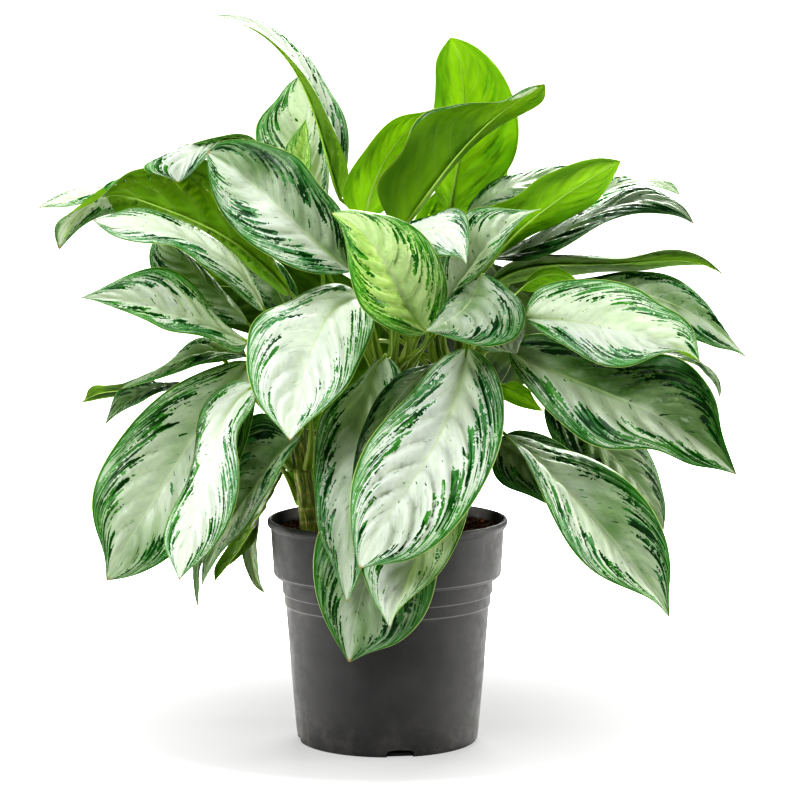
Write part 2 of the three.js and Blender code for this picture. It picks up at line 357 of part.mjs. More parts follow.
    [-129.8,41.3,163.9,-123.4,54.2,163.5,-115.5,41.7,166.3],
    [-128.8,42.5,153.6,-123.0,54.4,153.8,-115.7,43.9,156.5],
    [-126.5,45.7,143.1,-121.5,54.9,144.1,-115.6,46.6,146.6],
    [-122.7,50.1,132.9,-118.8,56.4,134.6,-114.7,50.4,136.6],
    [-117.0,54.9,123.9,-114.6,58.1,125.6,-112.7,54.9,126.7],
    [-109.0,60.0,117.5,-109.0,60.0,117.5,-109.0,59.9,117.5],
  ]],
  ['leaf_21', [[-105.6,-12.5,501.6], [-78.2,6.8,475.8], [-17.2,-15.7,332.7], [-2.2,0.2,307.9]], [
    [-105.6,-14.0,501.6,-105.6,-12.5,501.6,-105.5,-14.2,501.6],
    [-106.9,-24.6,515.6,-109.1,-16.3,509.5,-110.0,-26.2,507.5],
    [-114.3,-33.0,526.9,-114.4,-19.4,516.4,-115.4,-35.2,512.3],
    [-127.1,-39.2,530.5,-121.3,-22.4,521.6,-121.6,-41.3,515.9],
    [-140.6,-42.3,528.6,-129.3,-24.7,524.6,-128.5,-44.5,518.1],
    [-153.8,-42.0,524.6,-137.9,-25.8,525.4,-135.9,-45.0,518.5],
    [-166.9,-40.8,519.9,-146.5,-27.1,524.2,-143.0,-44.0,516.5],
    [-179.6,-43.4,514.9,-154.5,-31.4,521.5,-149.2,-44.5,512.5],
    [-191.4,-53.7,509.6,-161.4,-40.9,517.4,-154.4,-49.3,507.7],
    [-203.6,-58.2,504.0,-167.3,-50.5,511.9,-159.2,-54.3,502.5],
    [-201.5,-59.8,498.0,-172.0,-55.9,505.1,-164.2,-56.7,497.2],
    [-188.4,-59.1,494.3,-175.2,-57.5,497.2,-169.8,-56.3,492.3],
    [-176.1,-57.3,488.7,-176.1,-57.1,488.7,-176.2,-55.5,488.6],
  ]],
  ['leaf_22', [[-84.4,4.5,392.2], [-71.0,13.6,371.4], [-43.3,84.3,358.1], [-54.5,52.1,314.5]], [
    [-84.2,0.3,398.6,-84.4,4.5,392.2,-84.5,7.3,385.1],
    [-97.5,-22.7,421.0,-97.3,-2.7,408.8,-100.8,18.9,395.9],
    [-106.4,-38.0,445.1,-112.2,-9.5,423.2,-116.2,26.2,408.1],
    [-115.3,-43.0,468.5,-128.6,-14.8,435.7,-131.2,28.8,420.9],
    [-128.0,-42.9,489.8,-146.1,-19.7,446.4,-146.4,27.5,433.5],
    [-146.8,-44.2,505.8,-164.2,-24.3,455.6,-162.3,23.3,444.8],
    [-170.9,-48.2,508.5,-182.9,-27.2,463.6,-179.5,17.7,453.9],
    [-194.8,-53.0,503.0,-202.1,-27.8,470.7,-197.7,11.3,460.0],
    [-218.8,-54.9,497.3,-221.7,-26.8,477.0,-216.5,4.1,462.6],
    [-237.3,-54.4,480.6,-241.9,-26.4,476.2,-235.1,-4.1,460.9],
    [-258.5,-53.1,467.2,-258.5,-31.7,465.3,-252.5,-14.2,454.9],
    [-280.6,-44.1,453.4,-271.6,-33.4,449.6,-267.5,-23.7,444.4],
    [-279.7,-33.8,430.8,-279.7,-33.8,430.8,-279.7,-33.7,430.8],
  ]],
  ['leaf_23', [[-165.0,51.7,456.7], [-178.5,73.5,345.2], [-138.2,-3.3,324.6], [-88.8,-9.5,276.9]], [
    [-165.1,54.4,469.7,-165.0,51.7,456.7,-165.1,50.5,443.5],
    [-177.8,71.2,473.5,-176.5,57.6,461.6,-177.1,47.8,441.8],
    [-190.9,86.0,476.6,-188.3,63.3,465.8,-188.9,45.2,445.2],
    [-204.0,97.6,478.9,-200.5,68.8,469.0,-199.9,43.6,451.0],
    [-217.2,105.9,480.5,-213.0,74.2,471.4,-210.7,44.1,457.3],
    [-230.3,111.6,481.2,-225.6,79.4,472.9,-221.7,47.3,463.5],
    [-243.3,115.5,481.1,-238.4,84.6,473.5,-233.5,53.1,468.5],
    [-256.2,118.0,480.2,-251.3,89.9,473.2,-246.5,61.0,471.0],
    [-269.0,119.5,478.4,-264.3,95.5,472.1,-259.8,70.6,468.8],
    [-281.5,120.2,476.0,-277.2,101.2,470.2,-273.1,81.4,464.8],
    [-293.8,120.3,472.6,-290.1,107.0,467.5,-287.0,93.2,462.6],
    [-305.4,119.8,467.4,-302.9,112.9,464.1,-301.2,105.7,461.3],
    [-315.5,118.8,459.9,-315.5,118.8,459.9,-315.5,118.8,459.9],
  ]],
  ['leaf_24', [[-119.0,0.3,363.9], [-99.2,-2.1,342.3], [-96.4,-16.0,312.0], [-89.3,-11.3,299.0]], [
    [-127.6,0,363.9,-119.0,0.3,363.9,-120.8,2.2,368.1],
    [-138.0,-2.3,365.5,-125.1,0.1,370.7,-127.7,10.1,373.6],
    [-148.1,-4.2,368.0,-131.5,-0.1,377.5,-134.3,15.9,379.6],
    [-158.0,-5.4,371.5,-138.0,-0.4,384.0,-140.4,19.3,386.1],
    [-167.5,-6.0,375.8,-144.7,-0.6,390.4,-146.3,20.6,392.9],
    [-176.5,-6.1,381.1,-151.4,-0.8,396.6,-152.0,20.4,399.9],
    [-185.0,-5.9,387.3,-158.3,-1.0,402.8,-157.7,19.1,406.9],
    [-192.5,-5.6,394.6,-165.1,-1.0,408.9,-163.5,16.9,413.7],
    [-198.9,-5.0,402.9,-172.0,-1.0,415.1,-169.6,14.1,420.3],
    [-203.6,-4.2,412.2,-178.8,-0.9,421.3,-176.0,10.7,426.5],
    [-205.6,-3.0,422.4,-185.4,-0.8,427.7,-182.9,7.2,432.2],
    [-203.7,-1.6,432.6,-191.9,-0.5,434.2,-190.2,3.5,437.1],
    [-198.0,-0.2,441.0,-198.0,-0.2,441.0,-198.0,-0.2,441.0],
  ]],
  ['leaf_25', [[-83.5,25.3,364.4], [-72.8,19.1,350.7], [-58.7,27.9,340.8], [-57.8,32.7,329.3]], [
    [-83.5,23.9,364.5,-83.5,25.3,364.4,-83.6,26.5,364.3],
    [-91.1,22.6,366.8,-86.4,28.1,371.0,-80.4,34.1,371.5],
    [-98.4,23.2,370.0,-89.5,30.9,377.6,-78.9,39.9,379.3],
    [-105.2,25.8,374.1,-92.8,33.7,384.0,-79.4,44.1,387.5],
    [-111.5,29.7,379.0,-96.3,36.5,390.4,-81.8,47.1,395.5],
    [-117.2,34.0,384.6,-100.0,39.3,396.6,-85.8,49.5,402.9],
    [-122.2,38.1,390.7,-104.1,42.2,402.7,-90.9,51.7,409.6],
    [-126.6,42.0,397.2,-108.4,45.1,408.6,-97.0,53.7,415.5],
    [-130.5,45.6,404.1,-113.0,48.0,414.3,-103.7,55.6,420.8],
    [-133.8,49.1,411.3,-118.0,51.0,419.7,-110.9,57.2,425.3],
    [-136.1,52.6,418.9,-123.3,53.9,424.9,-118.5,58.5,429.1],
    [-136.7,56.2,426.7,-128.9,56.9,429.7,-126.5,59.4,432.1],
    [-134.8,59.8,434.2,-134.8,59.9,434.2,-134.8,59.9,434.2],
  ]],
  ['leaf_26', [[-175.7,0.8,311.6], [-145.1,-12.8,299.1], [-106.8,-18.7,318.0], [-89.1,-13.2,285.2]], [
    [-180.1,2.2,315.8,-175.7,0.8,311.6,-175.6,-0.9,307.4],
    [-187.6,8.0,313.3,-182.5,1.5,310.9,-181.6,-6.4,309.0],
    [-195.3,12.8,312.4,-189.2,2.2,309.9,-187.7,-10.3,308.8],
    [-202.9,15.6,312.2,-195.9,2.8,308.6,-193.8,-12.3,307.3],
    [-210.4,16.4,312.3,-202.5,3.4,306.9,-199.8,-12.8,304.8],
    [-217.7,15.8,312.2,-209.0,4.0,304.8,-205.7,-12.0,302.0],
    [-224.8,14.4,311.1,-215.3,4.7,302.2,-211.7,-10.3,298.9],
    [-231.4,13.1,308.2,-221.4,5.5,299.1,-217.7,-8.0,295.7],
    [-236.5,12.2,303.0,-227.3,6.3,295.4,-223.7,-5.3,292.4],
    [-240.0,11.9,296.5,-232.8,7.1,291.2,-229.7,-2.1,288.8],
    [-242.6,11.7,289.6,-237.9,8.0,286.5,-235.5,1.5,284.9],
    [-244.6,11.0,282.5,-242.4,8.9,281.2,-241.2,5.4,280.5],
    [-246.4,9.7,275.6,-246.4,9.7,275.6,-246.4,9.7,275.6],
  ]],
  ['leaf_27', [[-199.8,30.5,305.9], [-144.9,3.7,320.1], [-96.5,-18.5,262.6], [-84.3,-20.2,241.6]], [
    [-199.8,31.0,310.2,-199.8,30.5,305.9,-199.9,30.6,299.7],
    [-206.1,32.5,312.6,-206.1,34.6,304.5,-206.4,39.9,299.6],
    [-212.6,33.8,313.7,-212.5,38.7,303.6,-213.0,48.1,299.2],
    [-219.4,35.1,313.4,-218.8,42.7,303.0,-219.4,54.6,298.6],
    [-226.0,37.0,311.9,-225.2,46.8,302.5,-225.8,59.7,297.8],
    [-232.7,39.8,309.9,-231.6,50.8,302.0,-232.1,63.7,296.8],
    [-239.6,43.9,308.0,-238.1,54.9,301.4,-238.2,66.8,295.7],
    [-246.7,49.3,306.6,-244.5,59.0,300.5,-244.4,69.4,294.4],
    [-254.0,55.7,305.6,-250.9,63.1,299.1,-250.4,71.6,293.1],
    [-261.3,62.4,304.4,-257.3,67.3,297.3,-256.4,73.5,291.6],
    [-267.1,68.4,299.9,-263.4,71.4,294.7,-262.5,75.5,290.1],
    [-269.9,73.8,292.9,-269.2,75.6,291.4,-268.5,77.5,288.7],
    [-274.6,79.6,287.2,-274.6,79.7,287.2,-274.6,79.7,287.2],
  ]],
  ['leaf_28', [[-122.1,-10.5,337.9], [-111.4,-7.5,334.6], [-96.9,9.1,306.5], [-87.2,-4.3,281.5]], [
    [-122.1,-8.4,347.3,-122.1,-10.5,337.9,-121.1,-12.3,336.4],
    [-132.6,-2.8,348.1,-131.3,-11.5,340.2,-129.9,-21.9,336.6],
    [-142.7,1.7,350.6,-140.7,-12.5,341.4,-138.8,-29.1,336.1],
    [-153.0,4.2,352.5,-150.2,-13.6,341.3,-147.6,-33.7,334.9],
    [-163.2,5.3,351.5,-159.6,-14.7,340.0,-156.5,-36.3,333.1],
    [-172.4,5.2,346.7,-168.8,-15.7,337.8,-165.5,-37.3,330.8],
    [-180.0,4.3,339.8,-177.8,-16.6,334.7,-174.4,-37.2,328.1],
    [-186.8,2.2,332.2,-186.6,-17.4,331.1,-183.3,-36.1,325.1],
    [-194.3,-1.0,325.7,-195.2,-18.1,327.2,-192.3,-34.3,322.0],
    [-203.6,-4.9,322.2,-203.8,-18.7,322.9,-201.3,-31.8,318.8],
    [-213.2,-9.5,319.9,-212.2,-19.3,318.6,-210.5,-28.6,315.6],
    [-222.2,-14.7,316.6,-220.7,-19.8,314.2,-219.8,-24.8,312.7],
    [-229.3,-20.3,310.3,-229.3,-20.3,310.3,-229.3,-20.4,310.3],
  ]],
  ['leaf_29', [[-40.8,42.3,470.2], [7.4,67.7,438.2], [5.3,52.3,373.5], [5.2,18.8,326.6]], [
    [-40.7,39.9,470.3,-40.8,42.3,470.2,-40.8,44.8,470.1],
    [-34.2,27.9,487.5,-46.0,43.1,486.9,-36.8,57.8,488.5],
    [-35.5,18.5,505.5,-50.7,43.7,503.7,-34.4,66.6,507.4],
    [-41.7,11.1,522.4,-55.4,43.0,520.5,-33.5,69.0,526.8],
    [-49.5,5.0,538.4,-60.3,40.7,537.2,-39.2,71.0,544.9],
    [-57.9,4.3,554.0,-66.0,40.9,553.6,-49.7,73.2,561.2],
    [-66.9,6.6,569.3,-73.0,42.0,569.6,-59.3,73.8,578.0],
    [-77.0,10.8,583.9,-81.5,43.3,584.7,-70.3,72.6,593.8],
    [-88.6,16.4,597.5,-92.0,44.6,598.5,-83.3,69.8,608.0],
    [-102.0,23.2,609.5,-104.6,45.9,610.5,-98.2,65.8,620.0],
    [-117.2,30.9,619.4,-119.1,47.1,620.1,-115.2,60.9,628.6],
    [-134.1,39.6,626.5,-135.2,48.2,626.8,-133.7,55.3,632.4],
    [-152.3,48.9,630.3,-152.3,48.9,630.3,-152.3,48.9,630.3],
  ]],
  ['leaf_30', [[-59.8,61.2,429.7], [-54.8,56.2,416.5], [-59.8,4.9,372.2], [-49.0,32.5,317.7]], [
    [-59.7,58.1,429.9,-59.8,61.2,429.7,-59.9,64.0,429.6],
    [-70.3,50.8,440.9,-63.3,65.2,441.6,-57.6,79.9,441.4],
    [-79.6,47.8,452.9,-65.9,69.1,453.8,-55.4,92.1,453.7],
    [-87.6,50.0,465.7,-68.0,73.0,466.1,-53.8,100.1,466.4],
    [-95.8,56.6,478.3,-69.7,76.8,478.5,-52.7,105.0,479.4],
    [-104.2,65.7,490.9,-71.0,80.7,491.0,-52.5,107.8,492.5],
    [-111.5,75.1,504.1,-72.1,84.6,503.5,-53.0,109.3,505.6],
    [-116.7,83.2,518.3,-73.0,88.7,516.1,-54.5,110.1,518.7],
    [-117.1,89.8,533.3,-73.8,93.0,528.6,-57.1,110.6,531.6],
    [-109.7,95.5,546.3,-74.8,97.4,541.2,-60.7,111.1,544.2],
    [-99.4,100.8,557.4,-75.8,102.1,553.9,-65.6,111.5,556.4],
    [-90.3,106.3,569.6,-77.1,106.8,566.5,-71.6,111.7,568.1],
    [-78.6,111.6,579.1,-78.6,111.6,579.1,-78.6,111.6,579.1],
  ]],
  ['leaf_31_young_spear', [[-75.2,52.1,483.0], [-54.3,24.1,422.2], [33.6,31.7,335.2], [45.9,39.9,306.1]], [
    [-75.2,52.2,483.0,-75.2,52.1,483.0,-75.2,51.3,483.0],
    [-80.3,52.6,486.2,-74.7,52.5,487.8,-71.9,47.9,487.0],
    [-85.0,52.9,489.9,-74.2,52.9,492.6,-69.4,45.6,491.5],
    [-89.0,53.1,494.3,-73.8,53.3,497.4,-67.8,44.6,496.3],
    [-91.9,53.4,499.5,-73.4,53.7,502.2,-66.9,44.3,501.2],
    [-92.9,53.8,505.4,-73.0,54.2,507.0,-66.8,44.6,506.2],
    [-91.8,54.3,511.2,-72.7,54.6,511.8,-67.1,45.3,511.2],
    [-89.3,54.9,516.6,-72.4,55.2,516.6,-67.8,46.4,516.1],
    [-86.1,55.6,521.6,-72.2,55.7,521.4,-68.6,47.9,521.0],
    [-82.5,56.2,526.4,-72.0,56.3,526.2,-69.5,49.8,525.9],
    [-78.8,56.8,531.0,-71.9,56.8,531.0,-70.4,52.1,530.8],
    [-75.1,57.4,535.8,-71.8,57.4,535.8,-71.2,54.9,535.8],
    [-71.7,58.0,540.7,-71.7,58.0,540.7,-71.7,57.9,540.7],
  ]],
  ['leaf_32', [[-19.8,45.8,450.8], [-23.5,66.9,416.2], [-21.7,25.6,382.7], [-2.3,15.8,317.0]], [
    [-37.3,43.6,457.0,-19.8,45.8,450.8,-8.4,47.6,450.7],
    [-39.8,36.3,468.3,-18.5,38.4,461.2,-3.3,46.5,458.8],
    [-38.8,29.1,479.9,-16.4,33.8,471.2,2.1,45.5,466.6],
    [-35.2,21.4,491.0,-13.5,29.5,481.1,7.6,43.3,474.4],
    [-29.9,14.3,501.2,-9.9,26.0,490.6,13.1,39.8,482.2],
    [-23.5,11.7,510.6,-5.6,25.9,499.6,18.5,36.0,490.0],
    [-16.5,8.6,519.5,-0.6,23.5,508.4,23.7,30.9,498.0],
    [-9.0,6.5,528.1,5.0,20.4,516.7,28.5,25.5,506.2],
    [-0.9,5.6,535.8,11.2,17.5,524.6,32.7,20.7,514.7],
    [8.7,5.2,541.6,18.0,14.9,532.0,36.2,16.8,523.4],
    [19.5,5.2,544.9,25.2,12.6,538.9,38.9,13.5,532.4],
    [30.5,6.1,547.1,32.9,10.4,545.1,40.5,10.8,541.5],
    [41.1,8.2,550.8,41.1,8.3,550.8,41.1,8.3,550.8],
  ]],
  ['leaf_33', [[13.5,17.5,447.0], [-12.6,36.7,424.2], [-32.8,15.9,349.9], [-4.3,11.6,329.2]], [
    [-6.5,17.7,449.6,13.5,17.5,447.0,21.3,20.5,450.3],
    [-6.9,9.6,468.1,21.9,10.5,459.4,29.1,28.1,462.2],
    [-8.4,1.8,486.6,30.4,3.7,471.8,37.4,32.1,474.1],
    [1.7,-5.9,501.7,38.9,-2.8,484.0,46.1,32.0,485.8],
    [13.1,-13.1,516.0,47.7,-8.9,495.8,55.3,28.8,497.2],
    [20.1,-19.5,532.8,56.8,-14.6,507.4,65.0,23.2,508.1],
    [31.1,-26.1,546.6,66.2,-19.7,518.5,75.3,16.1,518.3],
    [48.2,-34.0,552.1,76.1,-24.4,529.1,86.2,7.5,527.6],
    [65.6,-41.6,555.5,86.5,-28.6,539.1,97.9,-2.5,535.8],
    [83.3,-47.3,556.5,97.4,-32.4,548.5,110.1,-13.7,542.8],
    [100.8,-49.1,559.9,108.9,-36.0,557.0,122.3,-25.2,549.4],
    [116.9,-46.7,567.8,121.0,-39.3,564.7,132.7,-35.0,558.4],
    [133.3,-42.8,571.6,133.3,-42.6,571.6,133.3,-42.7,571.6],
  ]],
  ['leaf_34', [[55.4,82.4,457.9], [58.5,95.0,420.9], [26.8,21.9,372.8], [11.6,17.1,324.1]], [
    [53.6,82.2,457.9,55.4,82.4,457.9,59.8,81.0,458.0],
    [45.8,88.8,469.1,58.0,78.7,470.9,74.7,72.5,466.6],
    [39.5,91.3,481.4,60.2,74.7,484.1,87.7,66.4,478.1],
    [35.0,89.7,494.7,62.4,70.9,497.2,100.7,63.6,489.3],
    [33.0,84.7,508.5,64.3,65.4,510.3,110.3,60.0,503.4],
    [34.0,74.8,522.5,65.5,49.5,523.6,114.2,44.0,520.3],
    [36.9,66.3,536.1,66.5,40.7,536.7,114.2,36.4,537.4],
    [39.7,57.8,549.7,66.9,35.4,549.7,111.1,32.4,554.1],
    [41.4,48.4,563.3,66.6,31.0,562.6,105.1,29.2,570.0],
    [42.1,38.7,576.9,65.5,27.2,575.5,96.3,26.2,584.5],
    [42.4,30.1,590.4,63.3,23.7,588.1,84.8,23.3,596.9],
    [47.5,23.3,602.5,60.0,20.6,600.5,70.9,20.5,606.5],
    [54.9,17.3,611.7,54.9,17.4,611.7,54.9,17.4,611.7],
  ]],
  ['leaf_35', [[70.2,29.4,458.6], [48.3,22.3,429.5], [23.6,30.0,356.7], [46.6,41.3,316.4]], [
    [67.6,30.9,460.2,70.2,29.4,458.6,76.3,28.7,457.7],
    [73.5,43.5,468.4,77.5,32.2,464.7,84.3,23.7,462.0],
    [80.5,52.4,475.9,85.4,33.7,470.3,92.7,20.7,465.3],
    [88.4,56.7,482.5,93.6,35.2,475.1,101.4,20.6,467.8],
    [97.3,58.8,488.0,102.3,37.0,479.3,110.3,23.3,469.8],
    [106.9,60.8,492.2,111.3,41.4,482.8,119.4,28.6,471.4],
    [117.0,66.6,495.2,121.1,56.8,485.4,128.7,38.0,472.9],
    [128.0,85.7,497.1,130.9,68.6,487.6,138.2,50.1,474.6],
    [138.8,93.3,498.5,140.7,75.7,489.6,147.5,60.6,476.7],
    [149.4,95.9,499.4,150.6,81.7,491.3,156.6,70.5,479.7],
    [160.1,97.4,499.3,160.6,87.6,492.6,165.3,80.3,483.6],
    [170.6,98.7,497.9,170.7,93.6,493.7,173.5,90.0,488.6],
    [180.8,99.6,494.6,180.8,99.6,494.6,180.8,99.6,494.6],
  ]],
  ['leaf_36', [[85.6,-15.8,414.3], [61.0,-5.0,389.1], [36.2,5.7,358.8], [55.5,35.8,327.0]], [
    [82.3,-12.4,419.3,85.6,-15.8,414.3,88.3,-13.8,412.5],
    [75.5,-16.6,433.0,92.7,-19.2,424.6,94.9,-6.8,422.8],
    [72.2,-20.6,447.8,100.5,-22.6,434.3,104.8,-3.0,430.5],
    [77.7,-24.3,461.3,108.9,-24.6,443.4,115.9,-1.7,436.6],
    [90.5,-28.7,468.7,117.8,-27.0,451.9,127.1,-3.8,442.5],
    [104.4,-33.1,473.7,127.1,-30.1,460.0,138.3,-9.0,448.2],
    [116.6,-36.1,482.0,136.7,-33.1,467.6,149.4,-16.1,453.8],
    [127.8,-37.9,491.5,146.5,-36.0,474.8,160.2,-24.2,459.6],
    [141.0,-39.3,498.1,156.6,-38.6,481.7,170.6,-32.0,466.2],
    [154.7,-40.7,503.6,166.8,-40.9,488.3,179.6,-38.1,474.6],
    [168.8,-42.2,507.7,177.0,-42.9,494.8,186.9,-42.2,484.6],
    [183.4,-44.1,509.2,187.4,-44.7,501.1,192.8,-44.8,495.5],
    [197.7,-46.5,506.8,197.7,-46.5,506.8,197.7,-46.6,506.8],
  ]],
  ['leaf_37', [[134.1,51.2,439.1], [116.6,22.5,418.8], [71.7,72.5,337.6], [60.5,54.7,314.0]], [
    [134.1,52.5,452.2,134.1,51.2,439.1,138.4,49.0,434.8],
    [142.0,64.2,461.1,144.6,57.7,443.8,148.8,44.8,438.4],
    [151.1,76.0,469.0,154.8,64.3,449.3,158.4,43.1,443.7],
    [161.2,87.2,475.9,164.7,70.8,455.2,167.6,44.6,449.9],
    [172.2,97.1,481.7,174.6,77.2,461.2,176.6,48.6,456.5],
    [183.9,105.6,486.0,184.7,83.5,467.0,185.7,54.6,463.0],
    [196.2,112.7,488.5,195.2,89.9,472.4,195.2,62.1,469.3],
    [208.8,118.4,489.1,206.0,96.3,477.0,205.3,70.9,474.7],
    [221.3,122.6,487.8,217.5,102.8,480.3,216.3,80.9,478.8],
    [233.7,125.4,486.3,229.5,109.4,481.7,228.2,91.7,480.5],
    [246.0,127.0,484.9,241.6,115.9,480.7,240.4,103.4,479.2],
    [257.7,128.0,481.0,253.3,122.3,477.0,252.4,115.7,475.6],
    [264.2,128.6,471.2,264.2,128.6,471.2,264.2,128.6,471.2],
  ]],
  ['leaf_38', [[87.0,4.5,421.7], [31.6,-0.2,404.6], [71.2,15.1,358.5], [62.9,37.3,329.1]], [
    [87.1,6.0,424.2,87.0,4.5,421.7,88.7,2.2,421.0],
    [104.0,20.2,428.3,103.2,3.7,423.5,103.8,-13.6,420.4],
    [120.0,30.3,435.2,118.8,2.7,427.8,118.8,-25.5,420.5],
    [135.3,35.2,443.4,133.7,0.4,434.0,133.5,-34.6,424.5],
    [150.7,37.5,451.6,148.2,0.1,441.3,147.2,-37.5,431.4],
    [166.6,37.3,458.3,162.4,0.1,449.0,160.5,-37.6,439.2],
    [183.0,34.9,463.6,176.7,0,456.5,174.1,-35.8,446.6],
    [197.4,31.1,472.8,191.3,-0.1,463.4,187.9,-32.4,453.8],
    [211.5,26.1,482.2,206.5,-0.2,468.7,202.5,-27.6,459.5],
    [227.9,20.4,482.5,222.5,-0.2,471.3,218.0,-21.8,462.6],
    [243.0,14.1,475.3,238.5,-0.3,469.7,234.1,-15.2,462.5],
    [256.2,6.9,465.6,253.1,-0.8,462.9,249.9,-8.5,458.6],
    [264.4,-1.6,451.4,264.4,-1.7,451.4,264.4,-1.7,451.4],
  ]],
  ['leaf_39', [[86.9,27.8,394.9], [66.6,30.6,385.5], [86.7,25.6,349.8], [64.3,39.8,312.8]], [
    [85.1,25.5,397.7,86.9,27.8,394.9,89.6,30.3,393.8],
    [97.8,7.7,411.8,101.2,24.1,405.6,107.1,39.9,396.5],
    [113.4,-7.0,421.2,117.7,20.0,412.4,124.6,45.9,399.0],
    [130.9,-17.8,425.0,135.1,15.7,415.6,142.1,48.1,401.2],
    [148.8,-25.3,425.9,152.6,11.4,416.7,159.4,47.1,403.2],
    [166.7,-30.0,425.5,170.2,7.4,416.9,176.7,43.9,405.1],
    [184.7,-32.1,424.7,187.8,3.7,417.3,193.8,39.0,407.0],
    [202.9,-32.1,424.8,205.3,0.6,418.3,210.7,32.8,409.1],
    [221.1,-30.1,426.7,222.7,-2.2,419.6,227.4,25.7,411.5],
    [239.4,-26.5,429.1,240.2,-4.6,420.7,244.0,17.8,414.2],
    [257.9,-22.0,427.9,257.7,-6.9,420.2,260.4,9.2,415.9],
    [275.0,-17.2,420.1,274.7,-9.2,416.4,276.7,-0.6,415.3],
    [289.6,-12.1,408.1,289.6,-12.0,408.0,289.6,-11.9,408.0],
  ]],
  ['leaf_40', [[113.8,-20.7,395.7], [87.2,-8.1,369.3], [56.4,28.7,347.2], [64.4,1.0,309.3]], [
    [118.1,-20.3,400.0,113.8,-20.7,395.7,118.1,-20.8,394.0],
    [119.8,-23.7,404.5,117.0,-21.7,399.0,121.9,-21.6,394.0],
    [122.2,-26.9,408.5,120.4,-22.8,401.9,125.7,-22.5,394.2],
    [125.4,-29.7,411.9,124.1,-23.8,404.5,129.5,-23.5,394.5],
    [129.3,-31.6,414.3,128.0,-24.8,406.6,133.3,-24.5,395.0],
    [133.6,-32.9,415.8,132.1,-25.6,408.2,137.0,-25.6,395.7],
    [138.2,-33.5,416.4,136.5,-26.5,409.3,140.7,-26.6,396.5],
    [142.7,-33.7,416.1,140.9,-27.3,409.7,144.4,-27.5,397.4],
    [147.2,-33.5,415.0,145.3,-28.0,409.5,148.0,-28.3,398.5],
    [151.5,-33.0,413.2,149.7,-28.7,408.8,151.6,-28.9,399.7],
    [155.5,-32.3,410.8,154.0,-29.3,407.6,155.2,-29.5,401.0],
    [159.1,-31.4,407.7,158.1,-29.9,406.1,158.7,-30.0,402.5],
    [162.1,-30.5,404.1,162.1,-30.5,404.1,162.1,-30.5,404.1],
  ]],
  ['leaf_41', [[148.7,-12.1,386.5], [109.8,-2.8,383.4], [84.9,41.4,349.6], [66.5,45.5,317.8]], [
    [144.5,-9.2,394.9,148.7,-12.1,386.5,148.6,-14.3,378.0],
    [159.7,-1.0,401.9,162.5,-16.3,391.9,161.5,-27.8,376.3],
    [176.4,4.2,405.1,176.8,-20.6,395.1,174.5,-39.5,374.5],
    [193.1,5.3,407.5,191.4,-24.8,396.3,187.5,-48.5,372.7],
    [209.5,2.9,409.9,205.9,-28.9,395.4,200.6,-54.8,370.6],
    [225.9,-2.1,410.3,220.2,-32.7,392.8,213.8,-59.0,368.2],
    [241.8,-8.2,407.5,234.1,-36.2,388.5,227.0,-61.3,365.5],
    [256.4,-14.4,400.9,247.5,-39.3,383.0,240.3,-62.3,362.3],
    [268.5,-20.3,390.4,260.3,-42.1,376.2,253.6,-62.2,358.6],
    [278.3,-26.3,377.7,272.6,-44.6,368.4,266.9,-61.0,354.4],
    [287.0,-33.1,364.5,284.3,-46.9,359.8,280.2,-58.9,349.7],
    [295.9,-41.5,351.7,295.4,-49.1,350.3,294.0,-55.6,346.5],
    [305.8,-51.2,340.0,305.8,-51.3,340.0,305.7,-51.4,340.0],
  ]],
  ['leaf_42', [[115.3,-91.1,377.3], [94.0,-75.9,369.9], [52.4,-14.5,347.1], [58.2,-16.0,312.2]], [
    [113.6,-89.7,390.6,115.3,-91.1,377.3,115.2,-94.4,374.3],
    [124.5,-95.8,401.8,127.4,-98.3,377.5,125.5,-110.3,368.1],
    [138.6,-102.5,408.2,139.7,-105.6,377.5,136.6,-122.9,362.7],
    [153.7,-109.2,410.9,151.9,-112.5,376.9,147.5,-131.2,356.5],
    [168.9,-115.7,411.8,164.0,-118.9,375.7,158.7,-136.1,350.2],
    [184.1,-122.0,411.0,176.0,-124.9,374.0,170.3,-139.7,344.7],
    [198.7,-127.8,407.7,187.8,-130.4,371.6,182.7,-143.5,341.3],
    [212.3,-133.2,401.3,199.6,-135.2,368.7,195.5,-148.4,341.7],
    [224.4,-138.0,392.5,211.1,-139.5,365.2,207.5,-153.6,346.3],
    [237.7,-141.9,385.5,222.6,-143.2,361.2,219.2,-157.6,351.9],
    [248.6,-145.6,375.5,233.8,-146.5,356.7,231.6,-158.5,355.8],
    [253.7,-149.1,361.3,244.9,-149.5,351.7,244.7,-156.2,354.2],
    [255.7,-152.4,346.3,255.7,-152.4,346.3,255.7,-152.6,346.3],
  ]],
  ['leaf_43', [[238.1,21.0,338.5], [208.2,-1.9,350.7], [100.8,-14.7,376.2], [61.9,36.9,322.2]], [
    [238.2,22.2,340.1,238.1,21.0,338.5,238.0,19.3,335.1],
    [245.4,32.4,339.4,244.2,25.0,336.5,243.5,17.2,335.8],
    [252.5,40.9,337.7,250.4,29.1,334.5,249.2,16.7,335.5],
    [259.2,47.6,335.1,256.6,33.0,332.5,255.0,18.0,334.1],
    [265.5,52.8,331.8,262.7,36.9,330.3,260.7,20.8,331.9],
    [271.4,56.8,328.1,268.7,40.8,327.7,266.3,24.7,328.9],
    [277.2,60.0,324.2,274.6,44.8,324.7,271.7,29.5,325.3],
    [282.9,62.6,320.5,280.2,48.8,321.2,276.8,35.0,321.1],
    [288.3,64.6,316.4,285.4,52.8,316.9,281.6,41.1,316.3],
    [293.0,66.2,311.5,289.7,57.0,311.8,286.0,47.7,311.1],
    [296.2,67.4,305.7,292.9,61.1,305.8,289.8,54.6,305.4],
    [297.0,68.4,299.1,294.7,65.3,299.4,293.1,61.9,299.2],
